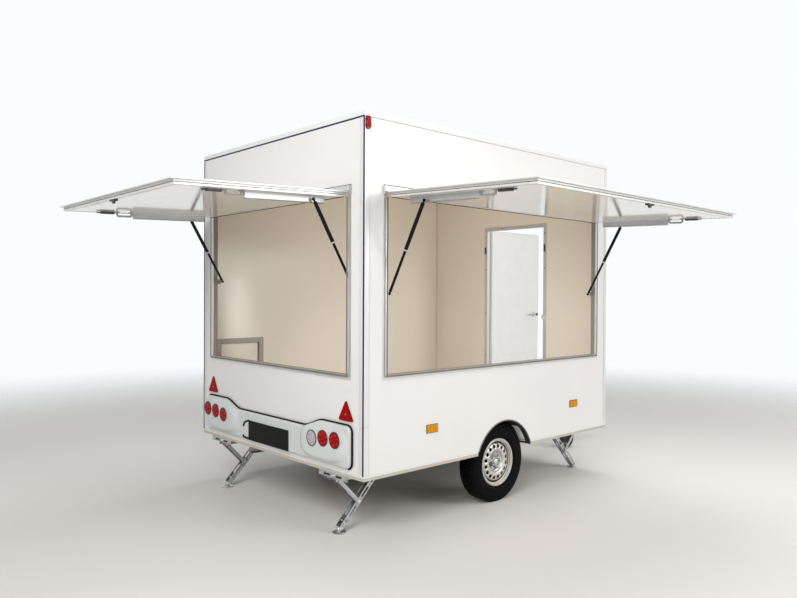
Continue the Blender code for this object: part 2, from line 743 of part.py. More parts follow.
def build_shell(root, white, board):
    """Add floor, walls, corner posts and roof."""
    add_part("floor_panel", floor_panel(), board, root)
    add_part("right_wall", side_wall(RIGHT_WALL, grown(*side_opening())), white, root)
    add_part("left_wall", side_wall(LEFT_WALL, grown(*hatch_opening())), white, root)
    add_part("rear_wall", end_wall(REAR_WALL, grown(*rear_opening())), white, root)
    add_part("front_wall", front_wall(), white, root)
    for name, outward_x, outward_y in (("rear_right", -1, -1), ("rear_left", -1, 1),
                                       ("front_right", 1, -1), ("front_left", 1, 1)):
        post = corner_post(outward_x, outward_y, lamp_side=outward_x < 0)
        add_part(f"corner_post_{name}", post, white, root)
    profile = [(0, BODY_TOP - ROOF_EDGE_HEIGHT)]
    profile += arc((ROOF_EDGE_RADIUS, BODY_TOP - ROOF_EDGE_RADIUS), ROOF_EDGE_RADIUS, 180, 90, 5)
    profile += [(ROOF_EDGE_WIDTH, BODY_TOP), (ROOF_EDGE_WIDTH, BODY_TOP - ROOF_EDGE_HEIGHT)]
    edge = mitred_frame(profile, (0, 0), (BODY_LENGTH, BODY_WIDTH))
    add_part("roof_edge_frame", edge, white, root)
    inset = ROOF_EDGE_WIDTH + GAP
    roof = block((inset, inset, BODY_TOP - ROOF_EDGE_HEIGHT),
                 (BODY_LENGTH - inset, BODY_WIDTH - inset, BODY_TOP - ROOF_RECESS))
    add_part("roof_panel", roof, white, root)


def frame_profile(width):
    """Return the cross-section of an opening frame as (inset, depth) points."""
    return [(0, -FRAME_PROUD), (width - FRAME_CHAMFER, -FRAME_PROUD), (width, FRAME_CHAMFER - FRAME_PROUD),
            (width, WALL_THICKNESS + FRAME_PROUD), (0, WALL_THICKNESS + FRAME_PROUD)]


def hook_section():
    """Return the hinge profile's section as (outward, up) points from the hinge axis."""
    inner = BEAD_RADIUS + HOOK_CLEARANCE
    outer = inner + HOOK_WALL
    steps = round((HOOK_END_DEG - HOOK_START_DEG) / HOOK_STEP_DEG)
    back = -(HINGE_STANDOFF - FRAME_PROUD) - HOOK_CLEARANCE
    inside = arc((0, 0), inner, HOOK_END_DEG, HOOK_START_DEG, steps)
    tip = math.radians(HOOK_START_DEG)
    heel = math.radians(HOOK_END_DEG)
    section = [(outer * math.cos(heel), outer * math.sin(heel)), *inside]
    section += [(outer * math.cos(tip), outer * math.sin(tip)), (HINGE_PROFILE_DEPTH, outer),
                (HINGE_PROFILE_DEPTH, HINGE_PROFILE_HEIGHT - HOOK_WALL),
                (HINGE_PROFILE_DEPTH - HOOK_WALL, HINGE_PROFILE_HEIGHT), (back, HINGE_PROFILE_HEIGHT),
                (back, inner)]
    return section


def opening_frame(low, high, frame, strut):
    """Return a serving frame with its hooked hinge profile and the two studs for the gas struts."""
    ring_solid = mitred_frame(frame_profile(FRAME_WIDTH), low, high, frame)
    across = frame @ Matrix(((0, 0, 1, 0), (0, 1, 0, 0), (1, 0, 0, 0), (0, 0, 0, 1)))
    section = [(-HINGE_STANDOFF - outward, HINGE_Z + up) for outward, up in hook_section()]
    hinge = plate(section, low[0] + FRAME_CHAMFER, high[0] - FRAME_CHAMFER, across)
    joined = [hinge]
    pin_height = HINGE_Z - strut.drop
    for edge, inward in ((low[0] + FRAME_WIDTH, 1), (high[0] - FRAME_WIDTH, -1)):
        root_u = edge - inward * OVERRUN
        face_u = edge + inward * BRACKET_THICKNESS
        tip_u = edge + inward * (STRUT_INSET - STRUT_EYE_WIDTH / 2 - PIN_CLEARANCE)
        joined.append(block((min(root_u, face_u), pin_height - BRACKET_HALF_HEIGHT, BRACKET_MARGIN),
                            (max(root_u, face_u), pin_height + BRACKET_HALF_HEIGHT,
                             strut.inside + BRACKET_MARGIN), frame))
        joined.append(rod(frame @ Vector((edge, pin_height, strut.inside)),
                          frame @ Vector((tip_u, pin_height, strut.inside)), STRUT_STUD_RADIUS, 12))
    return combined(ring_solid, joined=joined)


class Strut:
    """Sizes of one pair of gas struts, in the flap's own frame.

    out and depth place the upper stud on the closed flap; drop and inside place the lower stud.
    """

    def __init__(self, out, depth, drop, inside, tube):
        self.out = out
        self.depth = depth
        self.drop = drop
        self.inside = inside
        self.tube = tube

    def upper(self, open_deg):
        """Return the upper eye in the hinge's frame with the flap opened by open_deg."""
        turn = Matrix.Rotation(-math.radians(open_deg), 3, "X")
        return turn @ Vector((0, self.depth, -self.out))

    def lower(self):
        """Return the lower eye in the hinge's frame."""
        return Vector((0, self.inside + HINGE_STANDOFF, -self.drop))

    def length(self, open_deg):
        """Return the distance between the eyes."""
        return (self.lower() - self.upper(open_deg)).length

    def rod_reach(self):
        """Return the rod's length from its eye to its end inside the tube."""
        return self.length(FLAP_OPEN_DEG) - self.tube + STRUT_TUBE_END_LAP

    def slope(self, open_deg):
        """Return the strut's turn about the hinge's direction, zero when it hangs straight down."""
        run = self.lower() - self.upper(open_deg)
        return math.atan2(run.y, -run.z)


SIDE_STRUT = Strut(SIDE_STRUT_OUT, SIDE_STRUT_DEPTH, SIDE_STRUT_DROP, SIDE_STRUT_INSIDE, SIDE_STRUT_TUBE)
REAR_STRUT = Strut(REAR_STRUT_OUT, REAR_STRUT_DEPTH, REAR_STRUT_DROP, REAR_STRUT_INSIDE, REAR_STRUT_TUBE)


def flap_edge_frame(half_width):
    """Return the flap's edge frame: outer lip, grooved edge and hinge bead, seen with the flap closed."""
    groove = (FLAP_BACK + FLAP_FACE) / 2
    profile = [(0, -FLAP_FACE), (0, FLAP_FACE), (LIP_OVERLAP, FLAP_FACE),
               (LIP_OVERLAP, groove - EDGE_GROOVE_WIDTH / 2),
               (LIP_OVERLAP + EDGE_GROOVE_DEPTH, groove - EDGE_GROOVE_WIDTH / 2),
               (LIP_OVERLAP + EDGE_GROOVE_DEPTH, groove + EDGE_GROOVE_WIDTH / 2),
               (LIP_OVERLAP, groove + EDGE_GROOVE_WIDTH / 2), (LIP_OVERLAP, FLAP_BACK),
               (LIP_OVERLAP + FLAP_EDGE_WIDTH, FLAP_BACK), (LIP_OVERLAP + FLAP_EDGE_WIDTH, -FLAP_FACE)]
    edge = mitred_frame(profile, (-half_width, -FLAP_LENGTH), (half_width, 0), RIGHT_WALL)
    bead = rod((-half_width, 0, 0), (half_width, 0, 0), BEAD_RADIUS, 16)
    return combined(edge, joined=[bead])


def flap_panel(half_width, strut):
    """Return the flap's sandwich panel with its two stiffening rails, strut studs and latches."""
    inset = LIP_OVERLAP + FLAP_EDGE_WIDTH + GAP
    face = FLAP_PANEL_RECESS - FLAP_FACE
    back = FLAP_BACK - FLAP_PANEL_RECESS
    panel = block((-half_width + inset, -FLAP_LENGTH + inset, face), (half_width - inset, -inset, back),
                  RIGHT_WALL)
    joined = []
    opening_half = half_width + LIP_INSET - FRAME_WIDTH
    for side in (-1, 1):
        strut_x = opening_half - STRUT_INSET
        outer = strut_x - 2 * STRUT_TUBE_RADIUS
        inner = outer - FLAP_RAIL_WIDTH
        low_x, high_x = sorted((side * inner, side * outer))
        joined.append(eased_block((low_x, back - FLAP_RAIL_CHAMFER, -FLAP_RAIL_END),
                                  (high_x, back + FLAP_RAIL_HEIGHT, -FLAP_RAIL_START), FLAP_RAIL_CHAMFER))
        stud_end = strut_x - STRUT_EYE_WIDTH / 2 - PIN_CLEARANCE
        joined.append(rod((side * (outer - FLAP_RAIL_CHAMFER), strut.depth, -strut.out),
                          (side * stud_end, strut.depth, -strut.out), STRUT_STUD_RADIUS, 12))
        middle = (inner + outer) / 2 * side
        latch_half = FLAP_LATCH_WIDTH / 2
        joined.append(eased_block((middle - latch_half, back - FLAP_RAIL_CHAMFER, -FLAP_LATCH_END),
                                  (middle + latch_half, back + FLAP_LATCH_HEIGHT, -FLAP_LATCH_START),
                                  FLAP_RAIL_CHAMFER / 2))
    return combined(panel, joined=joined)


def strut_tube(strut):
    """Return a strut's tube: eye at the origin, body hanging down, bored for the rod."""
    start = STRUT_EYE_RADIUS - STRUT_EYE_LAP
    end = -strut.tube
    bore_top = strut.rod_reach() - strut.length(0) + STRUT_BORE_END_GAP
    profile = [(0, -start), (STRUT_TUBE_RADIUS, -start), (STRUT_TUBE_RADIUS, end),
               (STRUT_BORE_RADIUS, end), (STRUT_BORE_RADIUS, bore_top), (0, bore_top)]
    eye = rod((-STRUT_EYE_WIDTH / 2, 0, 0), (STRUT_EYE_WIDTH / 2, 0, 0), STRUT_EYE_RADIUS, 12)
    return combined(turned(profile, 12), joined=[eye])


def strut_rod(strut):
    """Return a strut's rod: eye at the origin, rod standing up into the tube."""
    start = STRUT_EYE_RADIUS - STRUT_EYE_LAP
    reach = strut.rod_reach()
    eye = rod((-STRUT_EYE_WIDTH / 2, 0, 0), (STRUT_EYE_WIDTH / 2, 0, 0), STRUT_EYE_RADIUS, 12)
    return combined(rod((0, 0, start), (0, 0, reach), STRUT_ROD_RADIUS), joined=[eye])


def build_flap(root, name, hinge_middle, yaw, half_width, strut, white, metal, black):
    """Add one flap, open, with its struts."""
    mount = add_empty(f"{name}_mount", root, hinge_middle, (0, 0, yaw))
    hinge = add_empty(f"{name}_hinge", mount, rotation=(-math.radians(FLAP_OPEN_DEG), 0, 0))
    add_part(f"{name}_panel", flap_panel(half_width, strut), white, hinge)
    add_part(f"{name}_edge_frame", flap_edge_frame(half_width), metal, hinge)
    strut_x = half_width + LIP_INSET - FRAME_WIDTH - STRUT_INSET
    slope = strut.slope(FLAP_OPEN_DEG)
    upper = strut.upper(FLAP_OPEN_DEG)
    lower = strut.lower()
    for side, x in (("a", -strut_x), ("b", strut_x)):
        add_part(f"{name}_strut_tube_{side}", strut_tube(strut), black, mount,
                 (x, upper.y, upper.z), (slope, 0, 0))
        add_part(f"{name}_strut_rod_{side}", strut_rod(strut), black, mount,
                 (x, lower.y, lower.z), (slope, 0, 0))


def build_openings(root, white, metal, black):
    """Add the serving frames and their flaps."""
    low, high = side_opening()
    add_part("side_opening_frame", opening_frame(low, high, RIGHT_WALL, SIDE_STRUT), metal, root)
    half = (high[0] - low[0]) / 2 - LIP_INSET
    build_flap(root, "side_flap", ((low[0] + high[0]) / 2, -HINGE_STANDOFF, HINGE_Z), 0, half, SIDE_STRUT,
               white, metal, black)
    low, high = rear_opening()
    add_part("rear_opening_frame", opening_frame(low, high, REAR_WALL, REAR_STRUT), metal, root)
    half = (high[0] - low[0]) / 2 - LIP_INSET
    build_flap(root, "rear_flap", (-HINGE_STANDOFF, (low[0] + high[0]) / 2, HINGE_Z), -math.pi / 2, half,
               REAR_STRUT, white, metal, black)


def door_frame():
    """Return the door frame with the fixed halves of its hinges."""
    low, high = door_opening()
    joined = []
    for height in DOOR_HINGE_HEIGHTS:
        base = FLOOR_BASE + height
        top = base + DOOR_BARREL_LENGTH
        plate_y = DOOR_AXIS_Y - DOOR_BARREL_RADIUS / 2
        joined.append(block((BODY_LENGTH - GAP, DOOR_LEFT - OVERRUN, base),
                            (BODY_LENGTH + FRAME_PROUD - GAP, DOOR_AXIS_Y + DOOR_HINGE_FLANGE, top)))
        joined.append(block((BODY_LENGTH, plate_y, base + INLAY),
                            (DOOR_AXIS_X, plate_y + DOOR_HINGE_PLATE + DOOR_BARREL_RADIUS / 2, top - INLAY)))
        joined.append(rod((DOOR_AXIS_X, DOOR_AXIS_Y, base), (DOOR_AXIS_X, DOOR_AXIS_Y, top),
                          DOOR_BARREL_RADIUS))
    return combined(mitred_frame(frame_profile(DOOR_FRAME_WIDTH), low, high, FRONT_WALL), joined=joined)


def door_leaf():
    """Return the door leaf with hinge barrels, lock and levers, closed, about its hinge axis."""
    low, high = door_opening()
    bottom = low[1] + DOOR_FRAME_WIDTH - DOOR_LEAF_BOTTOM_OVERLAP
    top = high[1] - DOOR_FRAME_WIDTH + DOOR_LEAF_TOP_OVERLAP
    inner = FRAME_PROUD + MOVING_CLEARANCE - DOOR_AXIS_STANDOFF
    outer = inner + DOOR_LEAF_THICKNESS
    far = -DOOR_EDGE_GAP - DOOR_LEAF_WIDTH
    leaf = eased_block((inner, far, bottom), (outer, -DOOR_EDGE_GAP, top), DOOR_LEAF_CHAMFER)
    joined = []
    for height in DOOR_HINGE_HEIGHTS:
        base = FLOOR_BASE + height + DOOR_BARREL_LENGTH + PIN_CLEARANCE
        end = base + DOOR_BARREL_LENGTH
        joined.append(rod((0, 0, base), (0, 0, end), DOOR_BARREL_RADIUS))
        joined.append(block((outer - DOOR_HINGE_PLATE, -DOOR_HINGE_FLANGE, base + INLAY),
                            (outer + DOOR_HINGE_PLATE, 0, end - INLAY)))
    lock_y = far + DOOR_LOCK_INSET
    lock_z = FLOOR_BASE + DOOR_LOCK_HEIGHT
    for face, outward in ((inner, -1), (outer, 1)):
        joined.append(rod((face - outward * DOOR_ROSE_DEPTH, lock_y, lock_z),
                          (face + outward * DOOR_ROSE_DEPTH, lock_y, lock_z), DOOR_ROSE_RADIUS, 12))
        tip = face + outward * DOOR_LEVER_STANDOFF
        joined.append(rod((face, lock_y, lock_z), (tip, lock_y, lock_z), DOOR_LEVER_RADIUS, 8))
        joined.append(rod((tip - outward * DOOR_LEVER_RADIUS, lock_y - DOOR_LEVER_RADIUS, lock_z),
                          (tip - outward * DOOR_LEVER_RADIUS, lock_y + DOOR_LEVER_LENGTH, lock_z),
                          DOOR_LEVER_RADIUS - INLAY, 8))
    return combined(leaf, joined=joined)


def build_door(root, white, metal):
    """Add the door frame and the open leaf."""
    add_part("door_frame", door_frame(), metal, root)
    add_part("door_leaf", door_leaf(), white, root, (DOOR_AXIS_X, DOOR_AXIS_Y, 0),
             (0, 0, math.radians(DOOR_OPEN_DEG)))


def hatch_barrel_places():
    """Return the x places of the hatch's two hinges, from the frame's middle."""
    length = HATCH_FRONT - HATCH_REAR
    return [share * length - length / 2 for share in HATCH_BARREL_PLACE_SHARES]


def hatch_frame():
    """Return the hatch frame with the fixed halves of its top hinges."""
    low, high = hatch_opening()
    middle = (low[0] + high[0]) / 2
    joined = []
    for place in hatch_barrel_places():
        start = middle + place
        end = start + HATCH_BARREL_LENGTH
        axis_y = BODY_WIDTH + HATCH_AXIS_STANDOFF
        axis_z = high[1] - HATCH_FRAME_WIDTH / 2
        joined.append(rod((start, axis_y, axis_z), (end, axis_y, axis_z), HATCH_BARREL_RADIUS))
        joined.append(block((start + INLAY, BODY_WIDTH - FRAME_PROUD, axis_z),
                            (end - INLAY, axis_y, axis_z + HATCH_BARREL_RADIUS - INLAY)))
    return combined(mitred_frame(frame_profile(HATCH_FRAME_WIDTH), low, high, LEFT_WALL), joined=joined)


def hatch_leaf():
    """Return the hatch leaf, closed, about its top hinge axis."""
    low, high = hatch_opening()
    half = (high[0] - low[0]) / 2 - HATCH_FRAME_WIDTH - MOVING_CLEARANCE
    top = HATCH_FRAME_WIDTH / 2 - HATCH_FRAME_WIDTH - MOVING_CLEARANCE
    bottom = -(high[1] - low[1] - HATCH_FRAME_WIDTH / 2 - HATCH_FRAME_WIDTH - MOVING_CLEARANCE)
    outer = -HATCH_AXIS_STANDOFF + WALL_SETBACK
    leaf = eased_block((-half, outer - HATCH_LEAF_THICKNESS, bottom), (half, outer, top), FRAME_CHAMFER)
    joined = []
    for place in hatch_barrel_places():
        end = place - PIN_CLEARANCE
        start = end - HATCH_BARREL_LENGTH
        joined.append(rod((start, 0, 0), (end, 0, 0), HATCH_BARREL_RADIUS))
        half_strap = HATCH_STRAP_THICKNESS / 2
        foot = top - HATCH_STRAP_REACH
        strap = [(-half_strap, 0), (half_strap, 0), (half_strap, foot), (outer - half_strap, foot),
                 (outer - half_strap, foot + HATCH_STRAP_THICKNESS),
                 (-half_strap, foot + HATCH_STRAP_THICKNESS)]
        across = Matrix(((0, 0, 1, 0), (1, 0, 0, 0), (0, 1, 0, 0), (0, 0, 0, 1)))
        joined.append(plate(strap, start + INLAY, end - INLAY, across))
    lock_z = bottom + 2 * HATCH_KNOB_RADIUS
    joined.append(rod((0, outer - HATCH_KNOB_DEPTH, lock_z), (0, outer + HATCH_KNOB_DEPTH, lock_z),
                      HATCH_KNOB_RADIUS, 14))
    return combined(leaf, joined=joined)


def build_hatch(root, white, metal):
    """Add the low service hatch of the left wall."""
    low, high = hatch_opening()
    add_part("hatch_frame", hatch_frame(), metal, root)
    add_part("hatch_leaf", hatch_leaf(), white, root,
             ((low[0] + high[0]) / 2, BODY_WIDTH + HATCH_AXIS_STANDOFF, high[1] - HATCH_FRAME_WIDTH / 2))


def light_panel_outline():
    """Return the light panel's outline in the rear wall's frame."""
    side = MIDDLE - LIGHT_PANEL_SIDE
    radius = LIGHT_PANEL_CORNER
    points = arc((side - radius, LIGHT_PANEL_BOTTOM + radius), radius, 270, 360, 4)
    points += arc((side - radius, LIGHT_PANEL_SHOULDER_TOP - radius), radius, 0, 90, 4)
    for i in range(PANEL_RISE_STEPS + 1):
        share = i / PANEL_RISE_STEPS
        ease = share * share * (3 - 2 * share)
        points.append((LIGHT_PANEL_RISE_END + (LIGHT_PANEL_FLAT_HALF - LIGHT_PANEL_RISE_END) * share,
                       LIGHT_PANEL_SHOULDER_TOP + (LIGHT_PANEL_MIDDLE_TOP - LIGHT_PANEL_SHOULDER_TOP) * ease))
    points += [(-u, v) for u, v in reversed(points)]
    return [(MIDDLE + u, FLOOR_BASE + v) for u, v in points]


def pod_layer(side, scale, depth):
    """Return one ring of a lamp pod: a rounded oval."""
    points = []
    for i in range(POD_STEPS):
        angle = 2 * math.pi * i / POD_STEPS
        c = math.cos(angle)
        s = math.sin(angle)
        u = math.copysign(abs(c) ** (2 / POD_ROUNDNESS), c) * POD_HALF_LENGTH * scale
        v = math.copysign(abs(s) ** (2 / POD_ROUNDNESS), s) * POD_HALF_HEIGHT * scale
        place = Vector((MIDDLE + side * POD_CENTRE + u, FLOOR_BASE + POD_CENTRE_HEIGHT + v, -depth))
        points.append(REAR_WALL @ place)
    return points


def rear_light_panel():
    """Return the moulded light panel with its two pods and six round lamps."""
    base = plate(light_panel_outline(), WALL_SETBACK - GAP, -LIGHT_PANEL_THICKNESS, REAR_WALL)
    joined = []
    for side in (-1, 1):
        layers = [pod_layer(side, scale, POD_DEPTH * share) for scale, share in POD_LAYER_SHARES]
        joined.append(lofted(layers))
        for place, height in LAMP_PLACES:
            centre = REAR_WALL @ Vector((MIDDLE + side * place, FLOOR_BASE + height, LAMP_RIM - POD_DEPTH))
            profile = [(0, 0), (LAMP_RADIUS, 0), (LAMP_RADIUS, LAMP_RIM + LAMP_DEPTH / 2),
                       (LAMP_RADIUS * LAMP_FLAT_SHARE, LAMP_RIM + LAMP_DEPTH), (0, LAMP_RIM + LAMP_DEPTH)]
            joined.append(turned(profile, LAMP_SEGMENTS, along(centre, centre + Vector((-1, 0, 0)))))
    return combined(base, joined=joined)


def number_plate():
    """Return the blank number plate."""
    height = FLOOR_BASE + PLATE_CENTRE_HEIGHT
    outline = rounded_rectangle((MIDDLE - PLATE_WIDTH / 2, height - PLATE_HEIGHT / 2),
                                (MIDDLE + PLATE_WIDTH / 2, height + PLATE_HEIGHT / 2), PLATE_CORNER)
    near = -LIGHT_PANEL_THICKNESS - GAP
    return plate(outline, near, near - PLATE_THICKNESS, REAR_WALL)


def triangle_reflector(middle):
    """Return a triangular reflector on the rear wall."""
    height = TRIANGLE_SIDE * math.sqrt(3) / 2
    base = FLOOR_BASE + TRIANGLE_BASE
    centre = (middle, base + height / 3)
    reach = TRIANGLE_SIDE / math.sqrt(3) - 2 * TRIANGLE_CORNER
    outline = []
    for angle in (90, 210, 330):
        turn = math.radians(angle)
        corner = (centre[0] + reach * math.cos(turn), centre[1] + reach * math.sin(turn))
        outline += arc(corner, TRIANGLE_CORNER, angle - 60, angle + 60, 4)
    near = WALL_SETBACK - GAP
    return plate(outline, near, near - TRIANGLE_THICKNESS, REAR_WALL)


def build_rear_lights(root, plastic, black, red):
    """Add the light panel, the number plate and the triangular reflectors."""
    add_part("rear_light_panel", rear_light_panel(), plastic, root)
    add_part("number_plate", number_plate(), black, root)
    add_part("triangle_reflector_right", triangle_reflector(TRIANGLE_INSET), red, root)
    add_part("triangle_reflector_left", triangle_reflector(BODY_WIDTH - TRIANGLE_INSET), red, root)


def mudguard(frame):
    """Return a half-round wheel housing, closed on its inner side."""
    outer = plate(arch_outline(ARCH_RADIUS, FLOOR_BASE), WALL_SETBACK, MUDGUARD_WIDTH, frame)
    hollow = arch_outline(ARCH_RADIUS - MUDGUARD_THICKNESS, FLOOR_BASE)
    left = hollow[-1][0]
    right = hollow[0][0]
    outline = [*hollow, (left, FLOOR_BASE - OVERRUN), (right, FLOOR_BASE - OVERRUN)]
    cutter = plate(outline, -OVERRUN, MUDGUARD_WIDTH - MUDGUARD_THICKNESS, frame)
    return combined(outer, cut=[cutter])


def tyre():
    """Return the tyre about its own axis, which is the third axis."""
    half = TYRE_WIDTH / 2
    bead = RIM_WIDTH / 2 - RIM_WALL - GAP
    seat = RIM_SEAT_RADIUS + GAP
    wall = TYRE_RADIUS - seat
    shoulder_out, shoulder_wide = TYRE_SHOULDER_SHARES
    side = [(seat, bead), (RIM_FLANGE_RADIUS, bead), (RIM_FLANGE_RADIUS + RIM_WALL, bead + RIM_WALL),
            (seat + wall / 2, half), (seat + wall * shoulder_out, half * shoulder_wide),
            (TYRE_RADIUS, half * TYRE_TREAD_SHARE)]
    profile = side + [(radius, -height) for radius, height in reversed(side)]
    return turned(profile, WHEEL_SEGMENTS)


def rim():
    """Return the steel rim with its pierced disc, brake drum, hub and cap; its outer face looks along -z."""
    face = RIM_FACE
    bore = STUB_RADIUS + STUB_CLEARANCE
    disc = -face + RIM_DISC_OFFSET
    drum_back = disc + RIM_WALL + DRUM_WIDTH
    slope_start = RIM_HOLE_CIRCLE - RIM_HOLE_RADIUS - RIM_WALL
    slope_end = RIM_HOLE_CIRCLE + RIM_HOLE_RADIUS + RIM_WALL
    lining = RIM_WELL_RADIUS - RIM_WALL
    seat_lining = RIM_SEAT_RADIUS - RIM_WALL
    well = face * RIM_WELL_SHARE
    seat = face * RIM_SEAT_SHARE
    profile = [
        (0, disc - HUB_CAP_LENGTH), (HUB_CAP_RADIUS - RIM_WALL, disc - HUB_CAP_LENGTH),
        (HUB_CAP_RADIUS, disc),
        (HUB_RADIUS + HUB_CAP_RADIUS, disc), (slope_start, disc - 2 * RIM_WALL), (slope_end, disc + RIM_WALL),
        (lining, disc + 3 * RIM_WALL), (lining, -well), (seat_lining, -face), (RIM_FLANGE_RADIUS, -face),
        (RIM_FLANGE_RADIUS, RIM_WALL - face), (RIM_SEAT_RADIUS, RIM_WALL - face), (RIM_SEAT_RADIUS, -seat),
        (RIM_WELL_RADIUS, -well), (RIM_WELL_RADIUS, well), (RIM_SEAT_RADIUS, seat),
        (RIM_SEAT_RADIUS, face - RIM_WALL), (RIM_FLANGE_RADIUS, face - RIM_WALL), (RIM_FLANGE_RADIUS, face),
        (seat_lining, face), (lining, well), (lining, disc + 5 * RIM_WALL), (slope_end, disc + 3 * RIM_WALL),
        (DRUM_RADIUS, disc + 3 * RIM_WALL), (DRUM_RADIUS, drum_back), (bore, drum_back),
        (bore, disc + RIM_WALL), (0, disc + RIM_WALL)]
    solid = turned(profile, WHEEL_SEGMENTS)
    cutters = []
    for i in range(RIM_HOLES):
        angle = 2 * math.pi * (i + 0.5) / RIM_HOLES
        x = RIM_HOLE_CIRCLE * math.cos(angle)
        y = RIM_HOLE_CIRCLE * math.sin(angle)
        cutters.append(rod((x, y, -face), (x, y, disc + 4 * RIM_WALL), RIM_HOLE_RADIUS, RIM_HOLE_SEGMENTS))
    return combined(solid, cut=cutters)


def axle():
    """Return the torsion axle: beam, swing arms, brake back plates and stub axles."""
    beam_x = AXLE_X + AXLE_BEAM_AHEAD
    top = FLOOR_BASE - 2 * GAP - RAIL_HEIGHT
    beam_z = top - AXLE_BEAM_SIZE / 2
    half = AXLE_BEAM_SIZE / 2
    beam = eased_block((beam_x - half, AXLE_BEAM_END, beam_z - half),
                       (beam_x + half, BODY_WIDTH - AXLE_BEAM_END, top), AXLE_BEAM_SIZE * BEAM_CHAMFER_SHARE)
    joined = []
    drum_back = WHEEL_Y - RIM_FACE + RIM_DISC_OFFSET + RIM_WALL + DRUM_WIDTH
    for frame in (RIGHT_WALL, LEFT_WALL):
        plate_near = drum_back + BACKPLATE_GAP
        plate_far = plate_near + BACKPLATE_THICKNESS
        arm_near = WHEEL_Y + RIM_FACE + MOVING_CLEARANCE
        arm_far = arm_near + SWING_ARM_THICKNESS
        hub = Vector((AXLE_X, TYRE_RADIUS))
        knee = Vector((beam_x, beam_z))
        lean = math.degrees(math.atan2(knee.y - hub.y, knee.x - hub.x))
        outline = arc(hub, SWING_ARM_RADIUS, lean + 90, lean + 270, ARM_END_STEPS)
        outline += arc(knee, SWING_ARM_RADIUS, lean - 90, lean + 90, ARM_END_STEPS)
        joined.append(plate(outline, arm_near, arm_far, frame))
        joined.append(rod(frame @ Vector((AXLE_X, TYRE_RADIUS, plate_near + INLAY)),
                          frame @ Vector((AXLE_X, TYRE_RADIUS, arm_near + ARM_HUB_LAP)),
                          SWING_ARM_RADIUS * ARM_BOSS_SHARE))
        joined.append(rod(frame @ Vector((beam_x, beam_z, arm_near + ARM_KNEE_LAP)),
                          frame @ Vector((beam_x, beam_z, AXLE_BEAM_END + OVERRUN)), half * ARM_BOSS_SHARE))
        joined.append(rod(frame @ Vector((AXLE_X, TYRE_RADIUS, plate_near)),
                          frame @ Vector((AXLE_X, TYRE_RADIUS, plate_far)), BACKPLATE_RADIUS,
                          BACKPLATE_SEGMENTS))
        stub_end = WHEEL_Y - RIM_FACE + RIM_DISC_OFFSET + RIM_WALL + PIN_CLEARANCE
        joined.append(rod(frame @ Vector((AXLE_X, TYRE_RADIUS, stub_end)),
                          frame @ Vector((AXLE_X, TYRE_RADIUS, plate_far + INLAY)), STUB_RADIUS, 12))
    return combined(beam, joined=joined)


def build_running_gear(root, rubber, silver, steel, black):
    """Add axle, wheels and wheel housings."""
    add_part("axle", axle(), steel, root)
    for side, frame, y, turn in (("right", RIGHT_WALL, WHEEL_Y, -math.pi / 2),
                                 ("left", LEFT_WALL, BODY_WIDTH - WHEEL_Y, math.pi / 2)):
        add_part(f"mudguard_{side}", mudguard(frame), rubber, root)
        wheel = add_empty(f"wheel_{side}", root, (AXLE_X, y, TYRE_RADIUS), (turn, 0, 0))
        add_part(f"tyre_{side}", tyre(), rubber, wheel)
        add_part(f"rim_{side}", rim(), silver, wheel)


def rail_centre():
    """Return the rail's plan as (x, distance from the body's middle) points."""
    half = MIDDLE - RAIL_INSET
    return [(RAIL_REAR, half), (RAIL_BEND_X, half), (RAIL_FRONT, RAIL_NOSE_HALF_GAP + RAIL_FLANGE / 2)]


def rail_half_at(x):
    """Return the rail's distance from the middle at x."""
    start, bend, nose = rail_centre()
    if x <= bend[0]:
        return bend[1]
    return bend[1] + (nose[1] - bend[1]) * (x - bend[0]) / (nose[0] - bend[0])


def channel_along(points, side):
    """Return an upright channel with its back outward, along plan points on one side of the middle."""
    top = FLOOR_BASE - GAP
    bottom = top - RAIL_HEIGHT
    half = RAIL_FLANGE / 2
    section = [(half, bottom), (half, top), (-half, top), (-half, top - RAIL_WALL),
               (half - RAIL_WALL, top - RAIL_WALL), (half - RAIL_WALL, bottom + RAIL_WALL),
               (-half, bottom + RAIL_WALL), (-half, bottom)]
    layers = [[Vector((x, MIDDLE + side * (middle + offset), z)) for offset, z in section]
              for x, middle in points]
    return lofted(layers)


